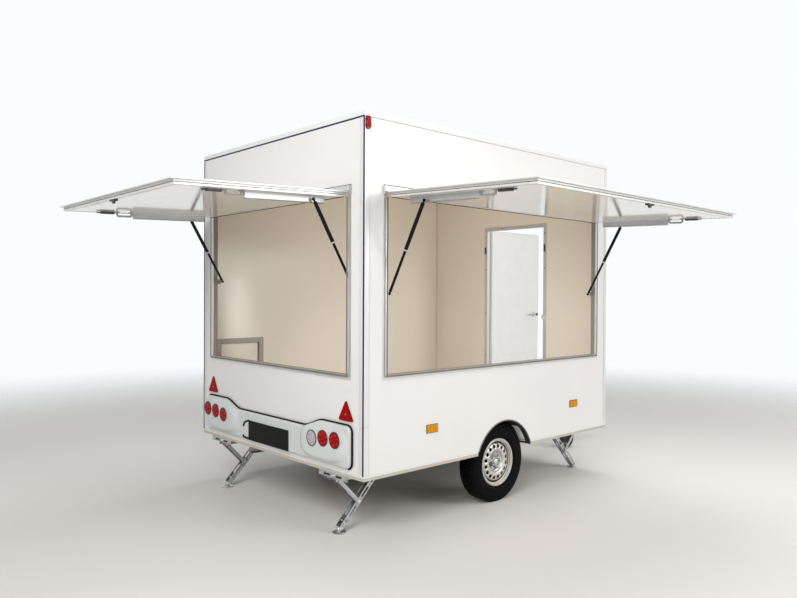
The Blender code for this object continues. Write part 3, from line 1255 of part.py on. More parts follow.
def steady_base(x_sign, y_sign):
    """Return the solids of one steady's base: channel, end plate, spindle, pivot pin and outrigger."""
    frame = steady_frame(x_sign, y_sign)
    top = FLOOR_BASE - GAP
    half = BASE_CHANNEL_WIDTH / 2
    wall = BASE_CHANNEL_WALL
    bottom = top - BASE_CHANNEL_HEIGHT
    section = [(-half, bottom), (-half, top), (half, top), (half, bottom), (half - wall, bottom),
               (half - wall, top - wall), (wall - half, top - wall), (wall - half, bottom)]
    lengthwise = frame @ Matrix(((0, 0, 1, 0), (1, 0, 0, 0), (0, 1, 0, 0), (0, 0, 0, 1)))
    solids = [plate(section, 0, BASE_CHANNEL_LENGTH, lengthwise)]
    solids.append(block((-END_PLATE_THICKNESS / 2, -END_PLATE_WIDTH / 2, top - END_PLATE_HEIGHT),
                        (END_PLATE_THICKNESS / 2, END_PLATE_WIDTH / 2, top), frame))
    spindle_z = top - SPINDLE_DROP
    solids.append(rod(frame @ Vector((0, 0, spindle_z)), frame @ Vector((BASE_CHANNEL_LENGTH, 0, spindle_z)),
                      SPINDLE_RADIUS, 10))
    solids.append(block((BASE_CHANNEL_LENGTH - END_PLATE_THICKNESS, wall - half - GAP,
                         top - END_PLATE_HEIGHT),
                        (BASE_CHANNEL_LENGTH, half - wall + GAP, top - GAP), frame))
    solids.append(rod(frame @ Vector((-SPINDLE_HEX_LENGTH, 0, spindle_z)), frame @ Vector((0, 0, spindle_z)),
                      SPINDLE_HEX_RADIUS, 6))
    solids.append(rod(frame @ Vector((STEADY_PIVOT_X, GAP - half, STEADY_PIVOT_Z)),
                      frame @ Vector((STEADY_PIVOT_X, half - GAP, STEADY_PIVOT_Z)), STEADY_PIN_RADIUS))
    return solids


def steady_frame(x_sign, y_sign):
    """Return the frame of one steady: x counts from its end face inwards, y from its middle plane."""
    end_x = 0 if x_sign < 0 else BODY_LENGTH
    middle_y = STEADY_INSET if y_sign < 0 else BODY_WIDTH - STEADY_INSET
    return Matrix(((-x_sign, 0, 0, end_x), (0, -y_sign, 0, middle_y), (0, 0, 1, 0), (0, 0, 0, 1)))


def chassis_rail(y_sign):
    """Return one chassis rail with its outriggers and the bases of its two corner steadies."""
    top = FLOOR_BASE - GAP
    rail = channel_along(rail_centre(), y_sign)
    joined = []
    for x_sign in (-1, 1):
        joined += steady_base(x_sign, y_sign)
        x_middle = BASE_CHANNEL_LENGTH - OUTRIGGER_WIDTH
        x_world = x_middle if x_sign < 0 else BODY_LENGTH - x_middle
        reach = MIDDLE - STEADY_INSET - BASE_CHANNEL_WIDTH / 2 + BASE_CHANNEL_WALL / 2
        inner = rail_half_at(x_world) - RAIL_FLANGE / 2 + RAIL_WALL
        low_y, high_y = sorted((MIDDLE + y_sign * inner, MIDDLE + y_sign * reach))
        joined.append(block((x_world - OUTRIGGER_WIDTH / 2, low_y, top - OUTRIGGER_HEIGHT),
                            (x_world + OUTRIGGER_WIDTH / 2, high_y, top - RAIL_WALL / 2)))
    return combined(rail, joined=joined)


def cross_member(x):
    """Return a cross member between the two rails."""
    reach = rail_half_at(x + CROSS_MEMBER_WIDTH / 2) - RAIL_FLANGE / 2 - GAP
    top = FLOOR_BASE - GAP
    half = CROSS_MEMBER_WIDTH / 2
    wall = RAIL_WALL
    bottom = top - CROSS_MEMBER_HEIGHT
    section = [(-half, bottom), (-half, top), (half, top), (half, top - wall), (wall - half, top - wall),
               (wall - half, bottom + wall), (half, bottom + wall), (half, bottom)]
    section = [(x + u, v) for u, v in section]
    return plate(section, MIDDLE - reach, MIDDLE + reach, RIGHT_WALL)


def build_chassis(root, steel):
    """Add rails and cross members."""
    add_part("chassis_rail_right", chassis_rail(-1), steel, root)
    add_part("chassis_rail_left", chassis_rail(1), steel, root)
    add_part("rear_cross_member", cross_member(REAR_CROSS_X), steel, root)
    add_part("front_cross_member", cross_member(FRONT_CROSS_X), steel, root)


def arm_cheek():
    """Return a push arm's cheek as a long plate outline with round ends, from pivot to knee."""
    return arc((0, 0), ARM_HALF_HEIGHT, 90, 270, 4) + arc((STEADY_ARM, 0), ARM_HALF_HEIGHT, -90, 90, 4)


def push_arm():
    """Return a push arm about its base pivot, lying along x: two cheeks, a web above and the knee pin."""
    half = ARM_WIDTH / 2
    hole = arc((0, 0), STEADY_PIN_RADIUS + PIN_CLEARANCE, 0, 324, 9)
    cheeks = [plate(arm_cheek(), low, low + ARM_WALL, RIGHT_WALL, holes=[hole])
              for low in (-half, half - ARM_WALL)]
    web = block((OVERRUN + ARM_HALF_HEIGHT, -half + GAP, ARM_HALF_HEIGHT - ARM_WALL),
                (STEADY_ARM - ARM_WEB_START, half - GAP, ARM_HALF_HEIGHT))
    pin = rod((STEADY_ARM, -half + GAP, 0), (STEADY_ARM, half - GAP, 0), STEADY_PIN_RADIUS)
    return combined(cheeks[0], joined=[cheeks[1], web, pin])


def steady_leg():
    """Return a leg about its knee: a channel with slots, nut at its top, and a flat foot on the ground."""
    half = LEG_WIDTH / 2
    deep = LEG_HALF_HEIGHT
    wall = LEG_WALL
    length = STEADY_ARM + STEADY_SHIN
    section = [(-half, -deep), (half, -deep), (half, deep), (half - wall, deep), (half - wall, wall - deep),
               (wall - half, wall - deep), (wall - half, deep), (-half, deep)]
    turn = Matrix.Rotation(-STEADY_DOWN, 4, "Y")
    lengthwise = turn @ Matrix(((0, 0, 1, 0), (1, 0, 0, 0), (0, 1, 0, 0), (0, 0, 0, 1)))
    channel = plate(section, -STEADY_SHIN, STEADY_ARM, lengthwise)
    cuts = [rod(turn @ Vector((0, -half - OVERRUN, 0)), turn @ Vector((0, half + OVERRUN, 0)),
                STEADY_PIN_RADIUS + PIN_CLEARANCE, 10)]
    for share in LEG_SLOT_PLACE_SHARES:
        middle = -STEADY_SHIN + share * length
        outline = (arc((middle - LEG_SLOT_LENGTH / 2, 0), LEG_SLOT_WIDTH / 2, 90, 270, 2)
                   + arc((middle + LEG_SLOT_LENGTH / 2, 0), LEG_SLOT_WIDTH / 2, -90, 90, 2))
        cuts.append(plate(outline, -deep - OVERRUN, wall * 2 - deep, turn))
    ankle = turn @ Vector((-STEADY_SHIN, 0, 0))
    ground = -STEADY_KNEE_Z
    joined = [rod(turn @ Vector((STEADY_ARM, -half, 0)), turn @ Vector((STEADY_ARM, half, 0)),
                  LEG_NUT_RADIUS, 8),
              rod(turn @ Vector((-STEADY_SHIN, -half, 0)), turn @ Vector((-STEADY_SHIN, half, 0)), deep),
              rod((ankle.x, 0, ankle.z), (ankle.x, 0, ground + FOOT_THICKNESS / 2), FOOT_NECK_RADIUS, 8),
              turned([(0, ground), (FOOT_RADIUS, ground), (FOOT_RADIUS, ground + FOOT_THICKNESS / 2),
                      (FOOT_RADIUS - FOOT_THICKNESS / 2, ground + FOOT_THICKNESS),
                      (0, ground + FOOT_THICKNESS)], 14, Matrix.Translation((ankle.x, 0, 0)))]
    return combined(combined(channel, cut=cuts), joined=joined)


def build_steadies(root, steel):
    """Add the push arm and leg of each corner steady, wound down to the ground."""
    for name, x_sign, y_sign in (("rear_right", -1, -1), ("rear_left", -1, 1),
                                 ("front_right", 1, -1), ("front_left", 1, 1)):
        frame = steady_frame(x_sign, y_sign)
        yaw = 0 if x_sign < 0 else math.pi
        pivot = frame @ Vector((STEADY_PIVOT_X, 0, STEADY_PIVOT_Z))
        knee = frame @ Vector((STEADY_KNEE_X, 0, STEADY_KNEE_Z))
        base = add_empty(f"steady_{name}_pivot", root, pivot, (0, 0, yaw))
        add_part(f"steady_arm_{name}", push_arm(), steel, base, rotation=(0, STEADY_DOWN, 0))
        add_part(f"steady_leg_{name}", steady_leg(), steel, root, knee, (0, 0, yaw))


def coupling():
    """Return the overrun coupling: housing, bellows, ball head, release handle and handbrake lever."""
    start = COUPLING_X
    half = HOUSING_WIDTH / 2
    housing = eased_block((start, MIDDLE - half, COUPLING_Z - HOUSING_HEIGHT / 2),
                          (start + HOUSING_LENGTH, MIDDLE + half, COUPLING_Z + HOUSING_HEIGHT / 2),
                          HOUSING_BEVEL)
    nose = start + HOUSING_LENGTH
    forward = along((nose, MIDDLE, COUPLING_Z), (nose + HEAD_LENGTH, MIDDLE, COUPLING_Z))
    ribs = [(0, -HOUSING_BEVEL)]
    pitch = (BELLOWS_LENGTH + HOUSING_BEVEL) / (2 * BELLOWS_RIBS)
    for i in range(2 * BELLOWS_RIBS + 1):
        ribs.append((BELLOWS_RADIUS - (i % 2) * BELLOWS_DEPTH, i * pitch - HOUSING_BEVEL))
    ribs.append((0, BELLOWS_LENGTH))
    head_start = nose + BELLOWS_LENGTH - HOUSING_BEVEL
    head_end = nose + BELLOWS_LENGTH + HEAD_LENGTH
    layers = []
    for place, wide, high in HEAD_SHAPE_SHARES:
        x = head_start + (head_end - head_start) * place
        layers.append([Vector((x, MIDDLE + u * wide, COUPLING_Z + v * high)) for u, v in
                       arc((0, 0), HEAD_RADIUS, 0, 360 - 360 / (HEAD_STEPS + 1), HEAD_STEPS)])
    ball_x = head_end - HEAD_RADIUS
    socket = rod((ball_x, MIDDLE, COUPLING_Z - 2 * HEAD_RADIUS), (ball_x, MIDDLE, COUPLING_Z),
                 HEAD_RADIUS * SOCKET_SHARE, HEAD_STEPS + 1)
    handle_top = COUPLING_Z + HEAD_RADIUS + HEAD_HANDLE_LIFT
    handle = [rod((head_start, MIDDLE, handle_top), (head_start - HEAD_HANDLE_LENGTH, MIDDLE, handle_top),
                  HEAD_HANDLE_RADIUS),
              block((head_start - HEAD_HANDLE_RADIUS, MIDDLE - HEAD_HANDLE_RADIUS / 2, COUPLING_Z),
                    (ball_x, MIDDLE + HEAD_HANDLE_RADIUS / 2, handle_top))]
    lever_y = MIDDLE + half
    pivot = Vector((start + HOUSING_LENGTH * BRAKE_LEVER_PLACE_SHARE, lever_y, COUPLING_Z))
    lean = math.radians(BRAKE_LEVER_LEAN_DEG)
    upward = Vector((-math.sin(lean), 0, math.cos(lean)))
    bare = BRAKE_LEVER_LENGTH - BRAKE_GRIP_LENGTH
    lever_frame = Matrix.Translation(pivot) @ Matrix.Rotation(-lean, 4, "Y")
    lever = [block((-BRAKE_LEVER_WIDTH / 2, -BRAKE_LEVER_THICKNESS, -BRAKE_LEVER_WIDTH / 2),
                   (BRAKE_LEVER_WIDTH / 2, BRAKE_LEVER_THICKNESS, bare), lever_frame),
             rod(pivot + upward * (bare - BRAKE_GRIP_LAP), pivot + upward * BRAKE_LEVER_LENGTH,
                 BRAKE_GRIP_RADIUS)]
    bellows = turned(ribs, HEAD_STEPS + 1, forward)
    return combined(housing, joined=[bellows, lofted(layers), *handle, *lever], cut=[socket])


def jockey_y():
    """Return the jockey wheel's place beside the right-hand rail."""
    return MIDDLE - rail_half_at(JOCKEY_X) - RAIL_FLANGE / 2 - JOCKEY_CLAMP_STANDOFF


def jockey_clamp():
    """Return the jockey's outer tube with its clamp on the rail and its crank."""
    y = jockey_y()
    cap = JOCKEY_OUTER_TOP - JOCKEY_OUTER_CAP
    outer = turned([(0, JOCKEY_OUTER_TOP), (JOCKEY_OUTER_RADIUS, JOCKEY_OUTER_TOP),
                    (JOCKEY_OUTER_RADIUS, JOCKEY_OUTER_BOTTOM), (JOCKEY_BORE_RADIUS, JOCKEY_OUTER_BOTTOM),
                    (JOCKEY_BORE_RADIUS, cap), (0, cap)], JOCKEY_SEGMENTS,
                   Matrix.Translation((JOCKEY_X, y, 0)))
    ends = [JOCKEY_X + JOCKEY_CLAMP_LENGTH / 2, JOCKEY_X - JOCKEY_CLAMP_LENGTH / 2]
    wall = y + (JOCKEY_OUTER_RADIUS + JOCKEY_BORE_RADIUS) / 2
    outline = [(ends[1], wall), (ends[0], wall)]
    outline += [(x, MIDDLE - rail_half_at(x) - RAIL_FLANGE / 2 - GAP) for x in ends]
    top = FLOOR_BASE - GAP
    clamp = plate(outline, top - JOCKEY_CLAMP_HEIGHT, top)
    elbow = JOCKEY_OUTER_TOP + JOCKEY_GRIP_RADIUS
    reach_y = y - JOCKEY_CRANK_REACH
    crank = [rod((JOCKEY_X, y, JOCKEY_OUTER_TOP - JOCKEY_OUTER_CAP / 2),
                 (JOCKEY_X, y, elbow + 2 * JOCKEY_CRANK_RADIUS), JOCKEY_CRANK_RADIUS + INLAY),
             rod((JOCKEY_X, y, elbow), (JOCKEY_X, reach_y, elbow), JOCKEY_CRANK_RADIUS, 8),
             rod((JOCKEY_X, reach_y, elbow - 2 * JOCKEY_CRANK_RADIUS),
                 (JOCKEY_X, reach_y, elbow + JOCKEY_GRIP_LENGTH), JOCKEY_GRIP_RADIUS)]
    return combined(outer, joined=[clamp, *crank])


def jockey_crown_z():
    """Return the height of the fork crown's underside."""
    return 2 * JOCKEY_WHEEL_RADIUS + JOCKEY_CROWN_CLEARANCE


def jockey_inner():
    """Return the jockey's sliding inner tube, bored below for the fork's stem."""
    bottom = jockey_crown_z() + JOCKEY_FORK_CROWN + GAP
    bore = JOCKEY_STEM_RADIUS + PIN_CLEARANCE
    depth = bottom + JOCKEY_STEM_LENGTH + PIN_CLEARANCE
    top = bottom + JOCKEY_INNER_LENGTH
    return turned([(0, top), (JOCKEY_INNER_RADIUS, top), (JOCKEY_INNER_RADIUS, bottom), (bore, bottom),
                   (bore, depth), (0, depth)], JOCKEY_SEGMENTS)


def jockey_fork():
    """Return the swivelling fork about the jockey's axis, with the wheel trailing to the rear."""
    crown_low = jockey_crown_z()
    crown_high = crown_low + JOCKEY_FORK_CROWN
    half = JOCKEY_HUB_WIDTH / 2 + JOCKEY_FORK_GAP
    outer = half + JOCKEY_FORK_WALL
    reach = JOCKEY_CROWN_HALF_LENGTH
    outline = arc((-JOCKEY_TRAIL, JOCKEY_WHEEL_RADIUS), JOCKEY_FORK_EYE_RADIUS, 170, 350, 6)
    outline += [(reach, crown_low), (reach, crown_high), (-reach, crown_high)]
    crown = block((-reach, -outer, crown_low), (reach, outer, crown_high))
    cheeks = [plate(outline, low, low + JOCKEY_FORK_WALL, RIGHT_WALL) for low in (-outer, half)]
    stem = rod((0, 0, crown_high - GAP), (0, 0, crown_high + JOCKEY_STEM_LENGTH), JOCKEY_STEM_RADIUS,
               JOCKEY_SEGMENTS)
    pin = rod((-JOCKEY_TRAIL, -outer - GAP, JOCKEY_WHEEL_RADIUS),
              (-JOCKEY_TRAIL, outer + GAP, JOCKEY_WHEEL_RADIUS), JOCKEY_AXLE_RADIUS, JOCKEY_SEGMENTS)
    return combined(crown, joined=[*cheeks, stem, pin])


def jockey_wheel():
    """Return the solid jockey wheel about its own axis."""
    bore = JOCKEY_AXLE_RADIUS + PIN_CLEARANCE
    tread = JOCKEY_WHEEL_WIDTH / 2
    hub = JOCKEY_HUB_WIDTH / 2
    radius = JOCKEY_WHEEL_RADIUS
    spoke_out, spoke_wide = JOCKEY_SPOKE_SHARES
    tread_start, tread_end, crown_wide = JOCKEY_TREAD_SHARES
    side = [(bore, hub), (JOCKEY_HUB_RADIUS, hub), (JOCKEY_HUB_RADIUS, tread * spoke_wide),
            (radius * spoke_out, tread * spoke_wide), (radius * tread_start, tread),
            (radius * tread_end, tread), (radius, tread * crown_wide)]
    return turned(side + [(r, -h) for r, h in reversed(side)], JOCKEY_SEGMENTS)


def build_jockey(root, steel, rubber):
    """Add the jockey wheel: clamped outer tube, sliding inner tube, swivelling fork and wheel."""
    y = jockey_y()
    add_part("jockey_clamp", jockey_clamp(), steel, root)
    add_part("jockey_inner_tube", jockey_inner(), steel, root, (JOCKEY_X, y, 0))
    add_part("jockey_fork", jockey_fork(), steel, root, (JOCKEY_X, y, 0))
    add_part("jockey_wheel", jockey_wheel(), rubber, root, (JOCKEY_X - JOCKEY_TRAIL, y, JOCKEY_WHEEL_RADIUS),
             (math.pi / 2, 0, 0))


def build(root):
    """Build every part under the root."""
    white = white_laminate()
    metal = aluminium()
    steel = galvanised_steel()
    black = black_paint()
    rubber = black_rubber()
    build_shell(root, white, floor_board())
    build_openings(root, white, metal, black)
    build_door(root, white, metal)
    build_hatch(root, white, metal)
    build_rear_lights(root, pale_plastic(), black, red_lens())
    build_running_gear(root, rubber, silver_paint(), steel, black)
    build_chassis(root, steel)
    build_steadies(root, steel)
    add_part("coupling", coupling(), steel, root)
    build_jockey(root, steel, rubber)


def centre_footprint(root):
    """Move the root so that the middle of the whole footprint is at the origin."""
    bpy.context.view_layer.update()
    corners = [item.matrix_world @ vertex.co for item in bpy.data.objects if item.type == "MESH"
               for vertex in item.data.vertices]
    middle_x = (min(c.x for c in corners) + max(c.x for c in corners)) / 2
    middle_y = (min(c.y for c in corners) + max(c.y for c in corners)) / 2
    root.location = (-middle_x, -middle_y, 0)
    bpy.context.view_layer.update()


def main():
    """Build the trailer."""
    clear_scene()
    root = add_empty("trailer", None)
    build(root)
    centre_footprint(root)


main()
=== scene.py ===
"""Sales trailer in a pale studio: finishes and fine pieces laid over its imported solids.

Units are metres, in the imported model's frame: +X towards the drawbar, +Y to the left-hand side, +Z up.
"""

import json
import logging
import math
from collections.abc import Callable, Iterable, Sequence
from dataclasses import dataclass
from enum import Enum

import bmesh
import bpy
from bmesh.types import BMVert
from bpy.types import NodeSocket
from mathutils import Matrix, Vector

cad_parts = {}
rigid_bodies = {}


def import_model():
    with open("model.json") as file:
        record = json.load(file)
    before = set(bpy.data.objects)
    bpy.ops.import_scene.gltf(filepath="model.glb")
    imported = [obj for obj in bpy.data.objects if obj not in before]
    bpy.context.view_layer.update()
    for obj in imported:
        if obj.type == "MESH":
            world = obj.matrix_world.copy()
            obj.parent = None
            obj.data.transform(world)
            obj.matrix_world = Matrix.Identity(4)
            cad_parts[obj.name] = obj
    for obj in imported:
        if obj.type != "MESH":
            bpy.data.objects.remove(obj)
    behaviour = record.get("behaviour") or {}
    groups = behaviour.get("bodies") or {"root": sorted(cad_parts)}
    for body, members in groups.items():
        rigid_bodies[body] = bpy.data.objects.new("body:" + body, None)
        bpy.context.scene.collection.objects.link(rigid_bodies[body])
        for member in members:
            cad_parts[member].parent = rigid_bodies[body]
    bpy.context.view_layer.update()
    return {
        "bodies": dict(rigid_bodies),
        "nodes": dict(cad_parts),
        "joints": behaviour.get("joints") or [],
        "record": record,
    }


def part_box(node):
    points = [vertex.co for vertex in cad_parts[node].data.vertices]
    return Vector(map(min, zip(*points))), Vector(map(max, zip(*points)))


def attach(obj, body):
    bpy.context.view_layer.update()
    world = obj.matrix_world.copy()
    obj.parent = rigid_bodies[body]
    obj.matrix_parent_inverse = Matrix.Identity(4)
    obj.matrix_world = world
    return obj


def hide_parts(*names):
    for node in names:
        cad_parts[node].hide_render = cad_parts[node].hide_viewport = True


LOG = logging.getLogger("trailer")
LEVEL = Matrix.Identity(4)
UP = Vector((0.0, 0.0, 1.0))
REARWARD = Vector((-1.0, 0.0, 0.0))
SIDES = (-1, 1)
CORNERS = ("rear_right", "rear_left", "front_right", "front_left")
Colour = tuple[float, float, float]
Spot = tuple[float, float, float]
Flat = tuple[float, float]
Path = Sequence[Vector]


def paint(red: int, green: int, blue: int) -> Colour:
    """Return the linear colour of a display colour.

    Args:
        red: Red level from 0 to 255.
        green: Green level from 0 to 255.
        blue: Blue level from 0 to 255.

    Returns:
        The three linear shares.
    """
    def linear(level: int) -> float:
        """Return the linear share of one level."""
        share = level / 255
        return share / 12.92 if share <= 0.04045 else ((share + 0.055) / 1.055) ** 2.4

    return linear(red), linear(green), linear(blue)


class Nodes:
    """The nodes of one tree, laid by short calls."""

    def __init__(self, group: bpy.types.NodeTree) -> None:
        """Take the tree that the nodes go into."""
        self.group = group

    def add(self, kind: str, inputs: dict | None = None, **settings: object) -> bpy.types.Node:
        """Add a node.

        Args:
            kind: The node's type.
            inputs: Sockets to join, or values to set, by input name or number.
            settings: The node's own settings.

        Returns:
            The node.
        """
        node = self.group.nodes.new(kind)
        for name, value in settings.items():
            setattr(node, name, value)
        for name, value in (inputs or {}).items():
            self.feed(node.inputs[name], value)
        return node

    def out(self, kind: str, inputs: dict | None = None, **settings: object) -> NodeSocket:
        """Add a node in the same way and return its first output."""
        return self.add(kind, inputs, **settings).outputs[0]

    def maths(self, operation: str, first: object, second: object = 0.0) -> NodeSocket:
        """Return the outcome of one sum, comparison or function."""
        return self.out("ShaderNodeMath", {0: first, 1: second}, operation=operation)

    def feed(self, target: NodeSocket, value: object) -> None:
        """Join a socket to the target, or set the target's own value.

        Args:
            target: The socket that takes the value.
            value: Another socket, or a plain value.
        """
        if isinstance(value, NodeSocket):
            self.group.links.new(value, target)
        elif isinstance(value, tuple) and len(value) == 3 and target.type == "RGBA":
            target.default_value = (*value, 1.0)
        else:
            target.default_value = value


class Graph(Nodes):
    """The shader nodes of one material."""

    def __init__(self, name: str) -> None:
        """Start a material with a principled shader.

        Args:
            name: The material's name.
        """
        self.material = bpy.data.materials.new(name)
        self.material.use_nodes = True
        super().__init__(self.material.node_tree)
        self.shader = self.group.nodes["Principled BSDF"]
        self.place = self.add("ShaderNodeTexCoord").outputs["Object"]

    def set(self, name: str, value: object) -> None:
        """Join one of the shader's own sockets, or set its value."""
        self.feed(self.shader.inputs[name], value)

    def noise(self, scale: float, detail: float = 3.0, stretch: Colour = (1.0, 1.0, 1.0)) -> NodeSocket:
        """Return a noise over the object's own coordinates.

        Args:
            scale: Waves to the metre.
            detail: Octaves.
            stretch: Scale of each axis, for grain that runs one way.

        Returns:
            The noise's factor.
        """
        place = self.out("ShaderNodeMapping", {"Vector": self.place, "Scale": stretch})
        return self.out("ShaderNodeTexNoise", {"Vector": place, "Scale": scale, "Detail": detail})

    def cells(self, scale: float, feature: str = "F1") -> bpy.types.Node:
        """Return a cell texture over the object's own coordinates."""
        return self.add("ShaderNodeTexVoronoi", {"Vector": self.place, "Scale": scale}, feature=feature)

    def ramp(self, factor: NodeSocket, low: float, high: float) -> NodeSocket:
        """Return a factor stretched so that low becomes 0 and high becomes 1."""
        return self.out("ShaderNodeMapRange", {"Value": factor, "From Min": low, "From Max": high})

    def between(self, factor: object, first: object, second: object) -> NodeSocket:
        """Return a colour that goes from the first to the second with the factor.

        Args:
            factor: Share of the second colour.
            first: Colour at 0.
            second: Colour at 1.

        Returns:
            The mixed colour.
        """
        node = self.add("ShaderNodeMix", data_type="RGBA")
        for index, value in ((0, factor), (6, first), (7, second)):
            self.feed(node.inputs[index], value)
        return node.outputs[2]

    def level(self, factor: object, first: float, second: float) -> NodeSocket:
        """Return a number that goes from the first to the second with the factor."""
        return self.out("ShaderNodeMapRange", {"Value": factor, "To Min": first, "To Max": second})

    def axis(self, letter: str) -> NodeSocket:
        """Return one of the object's own coordinates."""
        return self.add("ShaderNodeSeparateXYZ", {0: self.place}).outputs[letter]

    def relief(self, height: NodeSocket, distance: float, strength: float = 1.0) -> None:
        """Raise the surface by a height map."""
        self.set("Normal", self.out("ShaderNodeBump", {"Height": height, "Distance": distance, "Strength": strength}))


class Zone:
    """A region of a node's mesh that has a finish of its own."""

    def mask(self, graph: Graph) -> NodeSocket:
        """Return 1 inside the region and 0 outside."""
        raise NotImplementedError


@dataclass(frozen=True)
class Beyond(Zone):
    """The side of a plane that its normal points to."""

    normal: Spot
    offset: float

    def mask(self, graph: Graph) -> NodeSocket:
        """Return 1 beyond the plane."""
        node = graph.add("ShaderNodeVectorMath", {0: graph.place, 1: self.normal}, operation="DOT_PRODUCT")
        return graph.maths("GREATER_THAN", node.outputs["Value"], self.offset)


@dataclass(frozen=True)
class Between(Zone):
    """A box with its sides along the axes."""

    low: Spot
    high: Spot

    def mask(self, graph: Graph) -> NodeSocket:
        """Return 1 inside the box.

        Args:
            graph: The material's nodes.

        Returns:
            The mask.
        """
        result = None
        for letter, low, high in zip("XYZ", self.low, self.high):
            place = graph.axis(letter)
            for part in (graph.maths("GREATER_THAN", place, low), graph.maths("LESS_THAN", place, high)):
                result = part if result is None else graph.maths("MULTIPLY", result, part)
        return result


@dataclass(frozen=True)
class Around(Zone):
    """A round bar along the Y axis."""

    x: float
    z: float
    radius: float

    def mask(self, graph: Graph) -> NodeSocket:
        """Return 1 within the radius.

        Args:
            graph: The material's nodes.

        Returns:
            The mask.
        """
        across = graph.maths("SUBTRACT", graph.axis("X"), self.x)
        up = graph.maths("SUBTRACT", graph.axis("Z"), self.z)
        squared = graph.maths("ADD", graph.maths("MULTIPLY", across, across), graph.maths("MULTIPLY", up, up))
        return graph.maths("LESS_THAN", squared, self.radius ** 2)


@dataclass(frozen=True)
class Finish:
    """A moulded or painted surface with a fine grain and a slight unevenness.

    Attributes:
        name: Name of the material.
        colour: Main linear colour.
        roughness: Mean roughness.
        metallic: Share of metal.
        grain: Grains to the metre.
        depth: Height of the grain.
        mottle: Share by which the colour wanders.
        coat: Share of clear lacquer.
        specular: Strength of the plain reflection.
    """

    name: str
    colour: Colour
    roughness: float = 0.4
    metallic: float = 0.0
    grain: float = 700.0
    depth: float = 0.00008
    mottle: float = 0.05
    coat: float = 0.0
    specular: float = 0.5

    def material(self) -> bpy.types.Material:
        """Return the finish's material, made once.

        Returns:
            The material.
        """
        if self not in FINISHED:
            graph = Graph(self.name)
            graph.set("Metallic", self.metallic)
            graph.set("Coat Weight", self.coat)
            graph.set("Specular IOR Level", self.specular)
            self.draw(graph)
            graph.material.diffuse_color = (*self.colour, 1.0)
            FINISHED[self] = graph.material
        return FINISHED[self]

    def tinted(self, graph: Graph, factor: NodeSocket, colour: Colour) -> NodeSocket:
        """Return a colour that wanders a little about its mean.

        Args:
            graph: The material's nodes.
            factor: Where the colour is darker or lighter.
            colour: Its mean.

        Returns:
            The colour's socket.
        """
        darker = tuple(share * (1 - self.mottle) for share in colour)
        lighter = tuple(min(1.0, share * (1 + self.mottle)) for share in colour)
        return graph.between(factor, darker, lighter)

    def draw(self, graph: Graph) -> None:
        """Lay colour, gloss and grain.

        Args:
            graph: The material's nodes.
        """
        patches = graph.ramp(graph.noise(6.0), 0.3, 0.7)
        graph.set("Base Color", self.tinted(graph, patches, self.colour))
        fine = graph.noise(self.grain, 2.0)
        gloss = graph.level(fine, self.roughness * 0.85, self.roughness * 1.15)
        graph.set("Roughness", gloss)
        graph.relief(fine, self.depth)


FINISHED: dict[Finish, bpy.types.Material] = {}


@dataclass(frozen=True)
class Laminate(Finish):
    """Sandwich panel: glossy white skin outside and a warm skin inside, told apart by place."""

    inner: Colour = (0.6, 0.5, 0.4)
    low: Spot = (0.0, 0.0, 0.0)
    high: Spot = (1.0, 1.0, 1.0)

    def draw(self, graph: Graph) -> None:
        """Lay both skins with a faint ripple and specks.

        Args:
            graph: The material's nodes.
        """
        inside = Between(self.low, self.high).mask(graph)
        patches = graph.ramp(graph.noise(2.2), 0.3, 0.7)
        outer = self.tinted(graph, patches, self.colour)
        inner = self.tinted(graph, patches, self.inner)
        graph.set("Base Color", graph.between(inside, outer, inner))
        smear = graph.noise(9.0, 4.0)
        gloss = graph.maths("ADD", graph.level(inside, self.roughness, self.roughness * 0.8),
                            graph.level(smear, -0.04, 0.06))
        graph.set("Roughness", gloss)
        ripple = graph.noise(5.0, 2.0)
        peel = graph.noise(self.grain, 2.0)
        graph.relief(graph.maths("ADD", ripple, graph.maths("MULTIPLY", peel, 0.05)), 0.0006, 0.35)


@dataclass(frozen=True)
class Brushed(Finish):
    """Drawn aluminium with faint lines along the profile and dull patches."""

    def draw(self, graph: Graph) -> None:
        """Lay drawing lines that run along whichever axis is long.

        Args:
            graph: The material's nodes.
        """
        fine = graph.noise(self.grain, 2.0, (0.02, 1.0, 1.0))
        cross = graph.noise(self.grain, 2.0, (1.0, 0.02, 1.0))
        lines = graph.maths("MULTIPLY", graph.maths("ADD", fine, cross), 0.5)
        dull = graph.ramp(graph.noise(5.0, 2.0), 0.3, 0.7)
        graph.set("Base Color", self.tinted(graph, lines, self.colour))
        graph.set("Roughness", graph.level(dull, self.roughness * 0.9, self.roughness * 1.15))
        graph.relief(lines, self.depth)


@dataclass(frozen=True)
class Galvanised(Finish):
    """Hot-dip zinc: crystal flakes of slightly different grey, with white bloom in places."""

    flakes: float = 130.0

    def draw(self, graph: Graph) -> None:
        """Lay zinc flakes, bloom and pitting.

        Args:
            graph: The material's nodes.
        """
        cell = graph.cells(self.flakes)
        shade = graph.maths("FRACT", graph.maths("MULTIPLY", cell.outputs["Position"], 37.0))
        bloom = graph.ramp(graph.noise(18.0, 5.0), 0.52, 0.8)
        zinc = self.tinted(graph, shade, self.colour)
        graph.set("Base Color", graph.between(bloom, zinc, (0.62, 0.62, 0.60)))
        gloss = graph.level(shade, self.roughness * 0.8, self.roughness * 1.1)
        graph.set("Roughness", graph.maths("ADD", gloss, graph.maths("MULTIPLY", bloom, 0.15)))
        graph.relief(graph.noise(self.grain, 3.0), self.depth)


